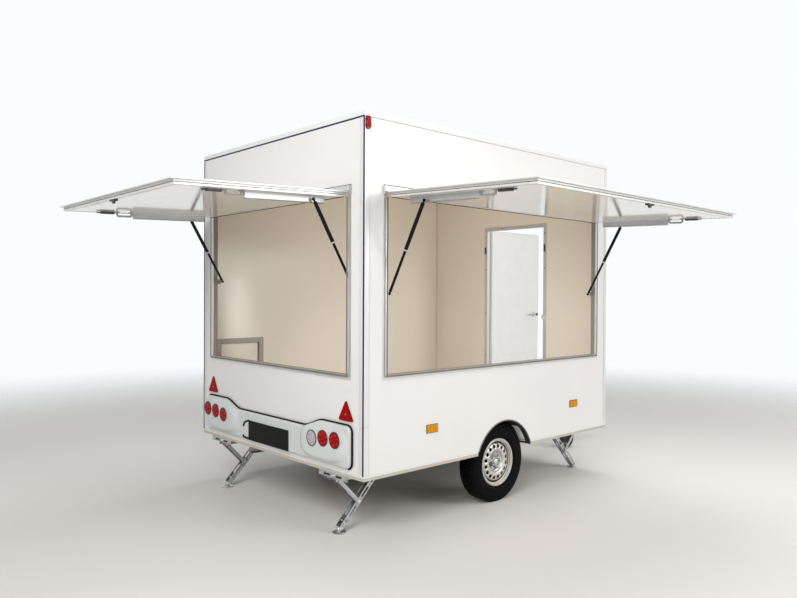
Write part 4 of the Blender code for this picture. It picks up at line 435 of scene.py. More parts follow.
@dataclass(frozen=True)
class Rubber(Finish):
    """Dull rubber with dust in its hollows."""

    def draw(self, graph: Graph) -> None:
        """Lay dust and a coarse grain.

        Args:
            graph: The material's nodes.
        """
        dust = graph.ramp(graph.noise(16.0, 5.0), 0.5, 0.9)
        pale = tuple(share * 2.4 for share in self.colour)
        graph.set("Base Color", graph.between(dust, self.colour, pale))
        graph.set("Roughness", graph.level(dust, self.roughness, self.roughness * 1.2))
        graph.relief(graph.noise(self.grain, 3.0), self.depth)


@dataclass(frozen=True)
class Prism(Finish):
    """Lens or reflector plastic over a field of small prisms."""

    pitch: float = 210.0

    def draw(self, graph: Graph) -> None:
        """Lay facets between darker borders, the darker borders being painted shade in the grooves between the prisms.

        Args:
            graph: The material's nodes.
        """
        cell = graph.cells(self.pitch, "DISTANCE_TO_EDGE")
        border = graph.ramp(cell.outputs["Distance"], 0.0, 0.35)
        # Painted shade in the grooves between the prisms.
        deep = tuple(share * 0.45 for share in self.colour)
        graph.set("Base Color", graph.between(border, deep, self.colour))
        graph.relief(border, 0.0006, 0.6)
        graph.set("Roughness", self.roughness)


@dataclass(frozen=True)
class Board(Finish):
    """Floor board: studded grey deck, bare metal edge strip and white rim above it."""

    low: Spot = (0.0, 0.0, 0.0)
    high: Spot = (1.0, 1.0, 1.0)
    strip_top: float = 0.0
    strip: Colour = (0.5, 0.5, 0.5)
    rim: Colour = (0.8, 0.8, 0.8)

    def draw(self, graph: Graph) -> None:
        """Lay deck, strip and rim by place.

        Args:
            graph: The material's nodes.
        """
        deck = Between(self.low, self.high).mask(graph)
        above = graph.maths("GREATER_THAN", graph.axis("Z"), self.strip_top)
        specks = graph.ramp(graph.noise(160.0, 3.0), 0.35, 0.65)
        edge = graph.between(above, self.strip, self.rim)
        graph.set("Base Color", graph.between(deck, edge, self.tinted(graph, specks, self.colour)))
        graph.set("Roughness", graph.level(specks, self.roughness * 0.9, self.roughness))
        studs = graph.ramp(graph.cells(70.0).outputs["Distance"], 0.25, 0.4)
        graph.relief(graph.maths("MULTIPLY", studs, deck), 0.0004)


@dataclass(frozen=True)
class Zoned(Finish):
    """One solid that carries a second finish in some of its regions."""

    second: Colour = (0.5, 0.5, 0.5)
    second_roughness: float = 0.4
    second_metallic: float = 0.0
    zones: tuple[Zone, ...] = ()

    def draw(self, graph: Graph) -> None:
        """Lay both finishes, with the second one in the zones.

        Args:
            graph: The material's nodes.
        """
        inside = self.zones[0].mask(graph)
        for zone in self.zones[1:]:
            inside = graph.maths("MAXIMUM", inside, zone.mask(graph))
        patches = graph.ramp(graph.noise(11.0, 4.0), 0.3, 0.7)
        graph.set("Base Color", graph.between(inside, self.tinted(graph, patches, self.colour),
                                              self.tinted(graph, patches, self.second)))
        fine = graph.noise(self.grain, 2.0)
        gloss = graph.maths("ADD", graph.level(inside, self.roughness, self.second_roughness),
                            graph.level(fine, -0.03, 0.03))
        graph.set("Roughness", gloss)
        graph.set("Metallic", graph.level(inside, self.metallic, self.second_metallic))
        graph.relief(fine, self.depth)


METAL_GRAIN = 260.0
WHITE = paint(234, 233, 231)
BEIGE = paint(230, 220, 205)
GREY_METAL = paint(196, 196, 194)
ZINC = paint(178, 181, 182)
NEAR_BLACK = paint(26, 26, 27)
# Dark blue-grey of the sealant lines: painted shadow in the gaps where they lie.
GAP_SHADOW_BLUE = paint(34, 46, 84)

ALUMINIUM = Brushed("drawn_aluminium", paint(206, 206, 204), 0.36, 0.7, grain=METAL_GRAIN, depth=0.00003)
PALE_METAL = Brushed("anodised_edge", paint(222, 221, 217), 0.34, 0.45, grain=METAL_GRAIN, depth=0.00003)
DARK_METAL = Brushed("dull_steel", paint(78, 78, 80), 0.42, 0.8, grain=METAL_GRAIN, depth=0.00003)
ZINC_STEEL = Galvanised("hot_dip_zinc", ZINC, 0.36, 0.85, grain=METAL_GRAIN, depth=0.00012, mottle=0.16)
BOLT_ZINC = Finish("bright_zinc", paint(205, 206, 204), 0.28, 0.95, mottle=0.06)
# Dark zinc for the hub flange: painted shade round the hub.
HUB_ZINC_SHADE = Galvanised("hub_zinc", paint(82, 82, 81), 0.5, 0.4, grain=METAL_GRAIN, depth=0.00015, mottle=0.25)
BLACK_PAINT = Finish("black_powder_coat", paint(9, 9, 10), 0.35, grain=900.0, depth=0.0001, specular=0.14)
BLACK_PLASTIC = Finish("black_moulding", NEAR_BLACK, 0.5, grain=600.0, depth=0.00015, mottle=0.12, specular=0.3)
TYRE_RUBBER = Rubber("tyre_compound", paint(11, 11, 12), 0.75, grain=420.0, depth=0.0002, specular=0.07)
# Near-black rubber for seals, also used for dark marks that are painted shade.
SEAL_RUBBER_AND_SHADE = Rubber("sealing_rubber", paint(12, 12, 13), 0.6, grain=900.0, depth=0.00005, specular=0.12)
# Brownish grey for the seal and strips round the openings: painted shade along the reveal.
REVEAL_SEAL_SHADE = Finish("frame_seal", paint(126, 120, 110), 0.55, mottle=0.1, specular=0.2)
GROOVE_SEAL = Finish("grey_groove_seal", paint(122, 123, 124), 0.55, mottle=0.1)
# Sealant bead painted dark as the shadow in its gap.
SEAL_GAP_SHADOW = Finish("blue_grey_sealant", GAP_SHADOW_BLUE, 0.5, mottle=0.1, specular=0.25)
GREY_SEAL = Finish("grey_sealant", paint(196, 196, 194), 0.5, mottle=0.06)
PANEL_PLASTIC = Finish("pale_moulding", paint(211, 214, 213), 0.26, grain=450.0, depth=0.00008, mottle=0.02, coat=0.2)
GREY_PLASTIC = Finish("grey_moulding", paint(188, 187, 184), 0.42, grain=500.0, depth=0.0001)
RED_LENS = Prism("red_prisms", paint(196, 3, 6), 0.2, specular=0.08)
RED_REFLECTOR = Prism("red_reflector", paint(184, 4, 7), 0.25, pitch=150.0, specular=0.07)
AMBER_LENS = Prism("amber_prisms", paint(255, 176, 6), 0.22, specular=0.1)
CLEAR_LENS = Prism("clear_prisms", paint(214, 217, 220), 0.14, coat=0.6)
RIM_PAINT = Finish("silver_wheel_paint", paint(200, 197, 190), 0.32, 0.6, grain=1200.0, mottle=0.06, coat=0.3)
# Dark grey for the brake drum, partly its own colour and partly painted shade; also painted shade inside the steady
# channels.
DRUM_AND_SHADE_GREY = Finish("dark_cast_drum", paint(38, 37, 36), 0.6, 0.2, grain=300.0, mottle=0.15, specular=0.2)
PLATE_BLACK = Finish("plate_black", paint(13, 12, 12), 0.45, grain=300.0, mottle=0.3, specular=0.1)
# Darker beige for the corner mouldings: painted shade in the cabin's corners.
COVE_CORNER_SHADE = Finish("cove_moulding", paint(206, 194, 172), 0.5, mottle=0.05)


class Shape:
    """The mesh of one piece, gathered from closed solids."""

    def __init__(self) -> None:
        """Start an empty mesh."""
        self.mesh = bmesh.new()

    def skin(self, rings: Sequence[Path], looped: bool = False) -> None:
        """Add a solid through rings of points.

        Args:
            rings: Rings of the same number of points, or of one point at a pole.
            looped: Whether the last ring joins the first.
        """
        rows = [[self.mesh.verts.new(point) for point in ring] for ring in rings]
        pairs = list(zip(rows, rows[1:]))
        if looped:
            pairs.append((rows[-1], rows[0]))
        for row, after in pairs:
            count = max(len(row), len(after))
            for i in range(count):
                j = (i + 1) % count
                if len(row) == 1:
                    corners = (row[0], after[j], after[i])
                elif len(after) == 1:
                    corners = (row[i], row[j], after[0])
                else:
                    corners = (row[i], row[j], after[j], after[i])
                self.mesh.faces.new(corners)
        if not looped:
            for row in (rows[0], rows[-1]):
                if len(row) > 2:
                    self.mesh.faces.new(row)

    def turned(self, profile: Sequence[Flat], segments: int, frame: Matrix = LEVEL) -> None:
        """Add a solid turned about the frame's third axis.

        Args:
            profile: Points of radius and height, open from pole to pole or a closed loop.
            segments: Steps round the axis.
            frame: Where the axis stands.
        """
        rings = []
        for radius, height in profile:
            steps = segments if radius > 0 else 1
            rings.append([frame @ Vector((radius * math.cos(2 * math.pi * i / segments),
                                          radius * math.sin(2 * math.pi * i / segments), height))
                          for i in range(steps)])
        self.skin(rings, looped=len(rings[0]) > 1)

    def prism(self, outline: Sequence[Flat], near: float, far: float, frame: Matrix = LEVEL,
              ease: float = 0.0) -> None:
        """Add a plate with an outline in the frame's first two axes.

        Args:
            outline: Corner points.
            near: Where the plate starts on the third axis.
            far: Where it ends.
            frame: The plate's frame.
            ease: Width of the rounding along its edges.
        """
        start = len(self.mesh.edges)
        self.skin([[frame @ Vector((u, v, depth)) for u, v in outline] for depth in (near, far)])
        if ease > 0:
            self.mesh.edges.ensure_lookup_table()
            bmesh.ops.bevel(self.mesh, geom=self.mesh.edges[start:], offset=ease, segments=2, affect="EDGES")

    def block(self, low: Sequence[float], high: Sequence[float], frame: Matrix = LEVEL, ease: float = 0.0) -> None:
        """Add a box between two corners, with rounded edges."""
        outline = ((low[0], low[1]), (high[0], low[1]), (high[0], high[1]), (low[0], high[1]))
        self.prism(outline, low[2], high[2], frame, ease)

    def rod(self, start: Vector, end: Vector, radius: float, segments: int = 16, ease: float = 0.0) -> None:
        """Add a round bar between two points, with its ends eased.

        Args:
            start: Centre of one end.
            end: Centre of the other end.
            radius: The bar's radius.
            segments: Steps round it.
            ease: Width of the rounding at its ends.
        """
        length = (end - start).length
        profile = [(0.0, 0.0), (radius - ease, 0.0), (radius, ease), (radius, length - ease),
                   (radius - ease, length), (0.0, length)]
        if ease == 0.0:
            profile = [(0.0, 0.0), (radius, 0.0), (radius, length), (0.0, length)]
        self.turned(profile, segments, facing(start, end - start))

    def eye(self, place: Vector, axis: Vector, radius: float) -> None:
        """Add a round eye with a hole for its stud, about an axis.

        Args:
            place: The eye's centre.
            axis: The way its hole runs.
            radius: Its radius.
        """
        hole, half = radius * 0.5, radius * 0.62
        self.turned([(hole, -half), (radius, -half), (radius * 1.1, -half * 0.5), (radius * 1.1, half * 0.5),
                     (radius, half), (hole, half)], 24, facing(place, axis))

    def slotted(self, length: float, half_width: float, thickness: float, slots: Sequence[Flat],
                half_slot: float, frame: Matrix) -> None:
        """Add a strip with slots along its middle and rounded corners.

        Args:
            length: Length of the strip along the frame's first axis.
            half_width: Half its width on the second axis.
            thickness: Its thickness on the third axis.
            slots: Start and end of each slot.
            half_slot: Half the slots' width.
            frame: The strip's frame.
        """
        us = sorted({0.0, length, *(place for slot in slots for place in slot)})
        vs = (-half_width, -half_slot, half_slot, half_width)
        solid = {(i, j) for i in range(len(us) - 1) for j in range(3)
                 if j != 1 or not any(start <= (us[i] + us[i + 1]) / 2 <= end for start, end in slots)}
        points: dict[tuple[int, int, int], BMVert] = {}

        def corner(i: int, j: int, k: int) -> BMVert:
            """Return the vertex at a crossing of the strip's lines, made once."""
            if (i, j, k) not in points:
                points[i, j, k] = self.mesh.verts.new(frame @ Vector((us[i], vs[j], thickness * k)))
            return points[i, j, k]

        uprights = []
        for i, j in solid:
            for k in (0, 1):
                self.mesh.faces.new([corner(i + a, j + b, k) for a, b in ((0, 0), (1, 0), (1, 1), (0, 1))])
            for side, (a, b) in (((-1, 0), ((0, 0), (0, 1))), ((1, 0), ((1, 0), (1, 1))),
                                 ((0, -1), ((0, 0), (1, 0))), ((0, 1), ((0, 1), (1, 1)))):
                if (i + side[0], j + side[1]) not in solid:
                    first, second = (i + a[0], j + a[1]), (i + b[0], j + b[1])
                    self.mesh.faces.new((corner(*first, 0), corner(*second, 0), corner(*second, 1),
                                         corner(*first, 1)))
        for (i, j, k), vertex in points.items():
            edge = k == 0 and self.mesh.edges.get((vertex, points[i, j, 1]))
            slot_corner = j in (1, 2) and 0 < i < len(us) - 1
            strip_corner = j in (0, 3) and i in (0, len(us) - 1)
            if edge and (slot_corner or strip_corner):
                uprights.append(edge)
        bmesh.ops.bevel(self.mesh, geom=uprights, offset=half_slot * 0.85, segments=3, affect="EDGES")

    def piece(self, name: str, body: str, slot: str, finish: Finish, replaced: Sequence[str] = (),
              smooth_deg: float = 35.0) -> bpy.types.Object:
        """Turn the mesh into a piece.

        Args:
            name: The piece's name.
            body: The body that it rides on.
            slot: The record's material slot; not used.
            finish: Its finish.
            replaced: Solids that it stands for.
            smooth_deg: Largest angle that is shaded smooth.

        Returns:
            The piece.
        """
        bmesh.ops.recalc_face_normals(self.mesh, faces=self.mesh.faces)
        data = bpy.data.meshes.new(name)
        self.mesh.to_mesh(data)
        self.mesh.free()
        data.shade_smooth()
        data.set_sharp_from_angle(angle=math.radians(smooth_deg))
        data.materials.append(finish.material())
        return add_piece(name, data, body, replaced)


def facing(place: Vector, direction: Vector) -> Matrix:
    """Return a frame at a place whose third axis looks along a direction."""
    return Matrix.Translation(place) @ direction.to_track_quat("Z", "Y").to_matrix().to_4x4()


def framed(first: Vector, second: Vector, third: Vector, place: Vector) -> Matrix:
    """Return the frame with three given axes that stands at a place.

    Args:
        first: Its first axis.
        second: Its second axis.
        third: Its third axis.
        place: Its origin.

    Returns:
        The frame.
    """
    frame = Matrix((first, second, third)).transposed().to_4x4()
    frame.translation = place
    return frame


def upright(x: float, y: float, low: float, high: float) -> Path:
    """Return an upright line at a place, between two levels."""
    return [Vector((x, y, low)), Vector((x, y, high))]


def sideways(sign: float) -> Vector:
    """Return the direction to the left-hand side, or with a negative sign to the right-hand side."""
    return Vector((0.0, sign, 0.0))


def eased(share: float) -> float:
    """Return a share between 0 and 1 with a soft start and a soft end."""
    return share * share * (3 - 2 * share)


def clamped(share: float) -> float:
    """Return a share held between 0 and 1."""
    return min(1.0, max(0.0, share))


def arc(centre: Flat, radius: float, start_deg: float, end_deg: float, steps: int) -> list[Flat]:
    """Return points on an arc, both ends included."""
    angles = [math.radians(start_deg + (end_deg - start_deg) * i / steps) for i in range(steps + 1)]
    return [(centre[0] + radius * math.cos(a), centre[1] + radius * math.sin(a)) for a in angles]


def circle(radius: float, count: int, phase: float) -> list[Flat]:
    """Return places spread evenly round a circle.

    Args:
        radius: The circle's radius.
        count: How many places there are.
        phase: How far the first one is turned on, as a share of the pitch.

    Returns:
        The places.
    """
    angles = [2 * math.pi * (i + phase) / count for i in range(count)]
    return [(radius * math.cos(a), radius * math.sin(a)) for a in angles]


def held(data: bpy.types.Mesh) -> bpy.types.Object:
    """Return an object that holds a mesh while a modifier works on it."""
    holder = bpy.data.objects.new("holder", data)
    bpy.context.scene.collection.objects.link(holder)
    return holder


def evaluated(holder: bpy.types.Object, modifier: bpy.types.Modifier) -> bpy.types.Mesh:
    """Return what a modifier makes, and take the modifier, its object and its source away.

    Args:
        holder: The object that has the modifier.
        modifier: The modifier.

    Returns:
        The result as a plain mesh.
    """
    source = holder.data
    made = bpy.data.meshes.new_from_object(holder.evaluated_get(bpy.context.evaluated_depsgraph_get()))
    holder.modifiers.remove(modifier)
    bpy.data.objects.remove(holder, do_unlink=True)
    bpy.data.meshes.remove(source)
    return made


def add_piece(name: str, data: bpy.types.Mesh, body: str,
              replaced: Sequence[str] = ()) -> bpy.types.Object:
    """Make a piece of a finished mesh and tell the frame about it.

    Args:
        name: The piece's name.
        data: Its mesh, in place.
        body: The body that it rides on.
        replaced: Solids that it stands for.

    Returns:
        The piece.
    """
    data.name = name
    item = bpy.data.objects.new(name, data)
    bpy.context.scene.collection.objects.link(item)
    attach(item, body)
    if replaced:
        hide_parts(*replaced)
    LOG.info("%s rides on %s, %d faces", name, body, len(data.polygons))
    return item


class Tree(Nodes):
    """A Geometry Nodes tree."""

    def __init__(self, name: str) -> None:
        """Start a tree with one geometry input and one output.

        Args:
            name: The tree's name.
        """
        super().__init__(bpy.data.node_groups.new(name, "GeometryNodeTree"))
        self.group.interface.new_socket("Source", in_out="INPUT", socket_type="NodeSocketGeometry")
        self.group.interface.new_socket("Piece", in_out="OUTPUT", socket_type="NodeSocketGeometry")
        self.entry = self.group.nodes.new("NodeGroupInput")
        self.leave = self.group.nodes.new("NodeGroupOutput")

    def size(self, name: str, default: float, whole: bool = False) -> NodeSocket:
        """Add a named size to the tree's inputs and return its socket.

        Args:
            name: The input's name.
            default: Its default.
            whole: Whether it is a whole number.

        Returns:
            The socket that carries it.
        """
        kind = "NodeSocketInt" if whole else "NodeSocketFloat"
        socket = self.group.interface.new_socket(name, in_out="INPUT", socket_type=kind)
        socket.default_value = default
        return self.entry.outputs[name]

    def close(self, geometry: NodeSocket, finish: Finish) -> None:
        """End the tree: real geometry with its material.

        Args:
            geometry: What the tree has made.
            finish: The finish that it gets.
        """
        real = self.out("GeometryNodeRealizeInstances", {"Geometry": geometry})
        dressed = self.out("GeometryNodeSetMaterial", {"Geometry": real, "Material": finish.material()})
        self.feed(self.leave.inputs[0], dressed)

    def spread(self, piece: NodeSocket) -> NodeSocket:
        """Set a piece on each source point, turned to the way that the point faces.

        Args:
            piece: The geometry that is repeated.

        Returns:
            All the copies.
        """
        way = self.out("GeometryNodeInputNamedAttribute", {"Name": "facing"}, data_type="FLOAT_VECTOR")
        turn = self.out("FunctionNodeAlignRotationToVector", {"Vector": way}, axis="Z")
        return self.out("GeometryNodeInstanceOnPoints", {"Points": self.entry.outputs[0], "Instance": piece,
                                                         "Rotation": turn})

    def grow(self, source: bpy.types.Mesh, sizes: dict[str, float]) -> bpy.types.Mesh:
        """Run the tree on a mesh.

        Args:
            source: The points or lines that it works on.
            sizes: Values of its named inputs.

        Returns:
            The result as a plain mesh.
        """
        holder = held(source)
        modifier = holder.modifiers.new("tree", "NODES")
        modifier.node_group = self.group
        sockets = {item.name: item.identifier for item in self.group.interface.items_tree
                   if item.in_out == "INPUT"}
        for name, value in sizes.items():
            modifier[sockets[name]] = value
        return evaluated(holder, modifier)


def pointed(name: str, points: Iterable[Sequence[float]], ways: Iterable[Sequence[float]]) -> bpy.types.Mesh:
    """Return a mesh of points that carry the way they face.

    Args:
        name: The mesh's name.
        points: The points.
        ways: The direction of each.

    Returns:
        The mesh.
    """
    source = bpy.data.meshes.new(name)
    source.from_pydata([tuple(point) for point in points], [], [])
    attribute = source.attributes.new("facing", "FLOAT_VECTOR", "POINT")
    attribute.data.foreach_set("vector", [share for way in ways for share in way])
    return source


class Head(Enum):
    """Kinds of fastener head."""

    PAN = "pan"
    HEX = "hex"
    DOME = "dome"


@dataclass(frozen=True)
class Fastener:
    """A screw, bolt or rivet head that is repeated over a list of places."""

    head: Head
    radius: float
    height: float
    finish: Finish = BOLT_ZINC

    def tree(self) -> Tree:
        """Return the tree that sets a head on each point, turned to the way the point faces.

        Returns:
            The tree.
        """
        tree = Tree(f"{self.head.value}_heads")
        radius = tree.size("Head radius", self.radius)
        height = tree.size("Head height", self.height)
        if self.head is Head.HEX:
            top = tree.out("GeometryNodeMeshCone", {"Vertices": 6, "Radius Top": radius, "Radius Bottom": radius,
                                                    "Depth": height})
            wide = tree.maths("MULTIPLY", radius, 1.35)
            washer = tree.out("GeometryNodeMeshCone", {"Vertices": 18, "Radius Top": wide, "Radius Bottom": wide,
                                                       "Depth": tree.maths("MULTIPLY", height, 0.22)})
            join = tree.add("GeometryNodeJoinGeometry")
            for part in (top, washer):
                tree.feed(join.inputs[0], part)
            shape = join.outputs[0]
        elif self.head is Head.PAN:
            share = tree.maths("MULTIPLY", radius, 0.74)
            shape = tree.out("GeometryNodeMeshCone", {"Vertices": 14, "Radius Top": share, "Radius Bottom": radius,
                                                      "Depth": height})
        else:
            ball = tree.out("GeometryNodeMeshUVSphere", {"Segments": 12, "Rings": 8, "Radius": radius})
            scale = tree.out("ShaderNodeCombineXYZ", {0: 1.0, 1: 1.0, 2: tree.maths("DIVIDE", height, radius)})
            shape = tree.out("GeometryNodeTransform", {"Geometry": ball, "Scale": scale})
        tree.close(tree.spread(shape), self.finish)
        return tree

    def fix(self, name: str, body: str, places: Iterable[tuple[Vector, Vector]]) -> None:
        """Set heads on places.

        Args:
            name: Name of the piece that all the heads make.
            body: The body that they ride on.
            places: Point and outward direction of each head.
        """
        source = pointed(name, *zip(*places))
        made = self.tree().grow(source, {"Head radius": self.radius, "Head height": self.height})
        add_piece(name, made, body)


@dataclass(frozen=True)
class Bead:
    """A round seal, trim or bent bar that follows lines."""

    radius: float
    finish: Finish
    sides: int = 10

    def run(self, name: str, body: str, paths: Sequence[Path], closed: bool = False) -> None:
        """Lay the bead along paths.

        Args:
            name: Name of the piece.
            body: The body that it rides on.
            paths: Points of each line.
            closed: Whether each line ends where it starts.
        """
        tree = Tree("bead_along_lines")
        radius = tree.size("Bead radius", self.radius)
        sides = tree.size("Bead sides", self.sides, whole=True)
        curve = tree.out("GeometryNodeMeshToCurve", {"Mesh": tree.entry.outputs[0]})
        ring = tree.out("GeometryNodeCurvePrimitiveCircle", {"Resolution": sides, "Radius": radius})
        tube = tree.out("GeometryNodeCurveToMesh", {"Curve": curve, "Profile Curve": ring, "Fill Caps": True})
        tree.close(tree.out("GeometryNodeSetShadeSmooth", {"Geometry": tube}), self.finish)
        points: list[Spot] = []
        edges = []
        for path in paths:
            start = len(points)
            points += [tuple(point) for point in path]
            edges += [(i, i + 1) for i in range(start, len(points) - 1)]
            if closed:
                edges.append((len(points) - 1, start))
        source = bpy.data.meshes.new(name)
        source.from_pydata(points, edges, [])
        made = tree.grow(source, {"Bead radius": self.radius, "Bead sides": self.sides})
        made.set_sharp_from_angle(angle=math.radians(60))
        add_piece(name, made, body)


class Wall(Enum):
    """The four walls, with the way along each and the way in."""

    RIGHT = ((1, 0, 0), (0, 1, 0))
    LEFT = ((1, 0, 0), (0, -1, 0))
    REAR = ((0, 1, 0), (1, 0, 0))
    FRONT = ((0, 1, 0), (-1, 0, 0))


@dataclass(frozen=True)
class Datum:
    """The body's outer faces and levels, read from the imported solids."""

    rear: float
    front: float
    right: float
    left: float
    floor: float
    roof: float

    @classmethod
    def measured(cls) -> "Datum":
        """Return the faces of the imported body."""
        low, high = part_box("floor_panel")
        return cls(low.x, high.x, low.y, high.y, low.z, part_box("roof_edge_frame")[1].z)

    def wall(self, wall: Wall) -> Matrix:
        """Return a wall's frame: along it from its rear or right end, up from the ground, and inwards.

        Args:
            wall: The wall.

        Returns:
            Its frame.
        """
        way, inward = wall.value
        x = self.front if wall is Wall.FRONT else self.rear
        y = self.left if wall is Wall.LEFT else self.right
        return framed(Vector(way), UP, Vector(inward), Vector((x, y, 0)))

    def outward(self, wall: Wall) -> Vector:
        """Return the direction that a wall's outer face looks in."""
        return -(self.wall(wall).to_3x3() @ UP)

    @property
    def middle(self) -> float:
        """Return where the plane midway between the sides lies."""
        return (self.right + self.left) / 2


@dataclass(frozen=True)
class Joint:
    """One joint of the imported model."""

    place: Vector
    top: float

    @classmethod
    def named(cls, frame: dict, name: str) -> "Joint":
        """Return a joint by name."""
        row = next(joint for joint in frame["joints"] if joint["name"] == name)
        return cls(Vector(row.get("pos_m", (0, 0, 0))), row.get("range_deg", (0, 0))[1])


def dress(frame: dict, finish: Finish, *names: str) -> None:
    """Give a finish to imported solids.

    Args:
        frame: The loaded model.
        finish: The finish.
        names: Names of the solids.
    """
    for name in names:
        for slot in frame["nodes"][name].material_slots:
            slot.material = finish.material()


@dataclass
class Studio:
    """Camera, lights, world and floor."""

    datum: Datum
    camera_from_corner: Spot = (-2.7773, -3.3552, 1.5690)
    yaw: float = 47.602
    pitch: float = -0.4875
    roll: float = 0.2719
    lens: float = 31.953
    sensor: float = 36.0
    clip_end: float = 200.0
    backdrop: Colour = (0.955, 0.985, 0.995)
    sky: Colour = (0.96, 0.98, 1.0)
    floor_colour: Colour = paint(236, 233, 228)
    world_light: float = 0.20
    floor_radius: float = 60.0
    floor_fade: Flat = (4.0, 11.0)
    target_height: float = 1.2
    lamps: tuple[tuple[str, Spot, float, float], ...] = (("key_lamp", (3.4, -7.6, 4.2), 5.5, 350.0),
                                                         ("top_lamp", (1.6, 0.6, 8.5), 5.0, 285.0),
                                                         ("rear_lamp", (-6.4, -3.1, 5.0), 4.5, 380.0))
    cabin_corner: Spot = (1.25, 0.40, 1.30)
    cabin_way: Spot = (0.68, 0.72, 0.05)
    cabin_size: float = 0.9
    cabin_power: float = 14.0
    floor_roughness: float = 0.55
    floor_specular: float = 0.25
    floor_mottle: float = 0.03
    floor_drop: float = 0.0005

    def build(self) -> None:
        """Set up the whole studio."""
        scene = bpy.context.scene
        scene.view_settings.view_transform = "Standard"
        self.add_camera(scene)
        self.add_world(scene)
        self.add_floor()
        middle = Vector(((self.datum.rear + self.datum.front) / 2, self.datum.middle, self.target_height))
        for name, place, size, power in self.lamps:
            self.add_lamp(name, Vector(place), middle, size, power)
        corner = Vector(self.cabin_corner) + Vector((self.datum.rear, self.datum.right, 0.0))
        self.add_lamp("cabin_lamp", corner, corner + Vector(self.cabin_way), self.cabin_size, self.cabin_power)

    def add_camera(self, scene: bpy.types.Scene) -> None:
        """Place the camera where the photograph was taken.

        Args:
            scene: The scene.
        """
        yaw, pitch, roll = (math.radians(value) for value in (self.yaw, self.pitch, self.roll))
        ahead = Vector((math.cos(pitch) * math.cos(yaw), math.cos(pitch) * math.sin(yaw), math.sin(pitch)))
        level_right = Vector((math.sin(yaw), -math.cos(yaw), 0.0))
        level_up = level_right.cross(ahead)
        right = level_right * math.cos(roll) + level_up * math.sin(roll)
        upward = level_up * math.cos(roll) - level_right * math.sin(roll)
        data = bpy.data.cameras.new("camera")
        data.lens = self.lens
        data.sensor_width = self.sensor
        data.sensor_fit = "HORIZONTAL"
        data.clip_end = self.clip_end
        camera = bpy.data.objects.new("camera", data)
        scene.collection.objects.link(camera)
        place = Vector(self.camera_from_corner) + Vector((self.datum.rear, self.datum.right, 0.0))
        camera.matrix_world = framed(right, upward, -ahead, place)
        scene.camera = camera

    def add_world(self, scene: bpy.types.Scene) -> None:
        """Light the scene evenly and show a pale backdrop to the camera and in reflections.

        Args:
            scene: The scene.
        """
        world = bpy.data.worlds.new("pale_studio")
        world.use_nodes = True
        world.node_tree.nodes.clear()
        nodes = Nodes(world.node_tree)
        rays = nodes.add("ShaderNodeLightPath").outputs
        through = nodes.maths("MAXIMUM", rays["Is Glossy Ray"], rays["Is Transmission Ray"])
        seen = nodes.maths("MAXIMUM", rays["Is Camera Ray"], through)
        light = nodes.out("ShaderNodeBackground", {"Color": self.sky, "Strength": self.world_light})
        view = nodes.out("ShaderNodeBackground", {"Color": self.backdrop})
        nodes.add("ShaderNodeOutputWorld", {0: nodes.out("ShaderNodeMixShader", {0: seen, 1: light, 2: view})})
        scene.world = world

    def add_floor(self) -> None:
        """Add a pale floor that fades into the backdrop far from the trailer."""
        shape = bmesh.new()
        bmesh.ops.create_circle(shape, cap_ends=True, segments=96, radius=self.floor_radius)
        data = bpy.data.meshes.new("studio_floor")
        shape.to_mesh(data)
        shape.free()
        graph = Graph("studio_floor")
        graph.set("Roughness", self.floor_roughness)
        graph.set("Specular IOR Level", self.floor_specular)
        sweep = graph.noise(0.6, 2.0)
        shade = tuple(share * (1 - self.floor_mottle) for share in self.floor_colour)
        graph.set("Base Color", graph.between(sweep, shade, self.floor_colour))
        away = graph.add("ShaderNodeVectorMath", {0: graph.place}, operation="LENGTH").outputs["Value"]
        near, far = self.floor_fade
        fade = graph.out("ShaderNodeMapRange", {"Value": away, "From Min": near, "From Max": far},
                         interpolation_type="SMOOTHSTEP")
        clear = graph.out("ShaderNodeBsdfTransparent")
        mix = graph.out("ShaderNodeMixShader", {0: fade, 1: graph.shader.outputs[0], 2: clear})
        graph.feed(graph.group.nodes["Material Output"].inputs["Surface"], mix)
        data.materials.append(graph.material)
        floor = bpy.data.objects.new("studio_floor", data)
        floor.location.z = -self.floor_drop
        bpy.context.scene.collection.objects.link(floor)

    def add_lamp(self, name: str, place: Vector, target: Vector, size: float, power: float) -> None:
        """Add a large soft lamp that looks at the trailer.

        Args:
            name: The lamp's name.
            place: Where it hangs.
            target: The point that it looks at.
            size: Its diameter.
            power: Its power in watts.
        """
        data = bpy.data.lights.new(name, "AREA")
        data.shape = "DISK"
        data.size = size
        data.energy = power
        lamp = bpy.data.objects.new(name, data)
        lamp.matrix_world = facing(place, place - target)
        lamp.visible_camera = False
        bpy.context.scene.collection.objects.link(lamp)


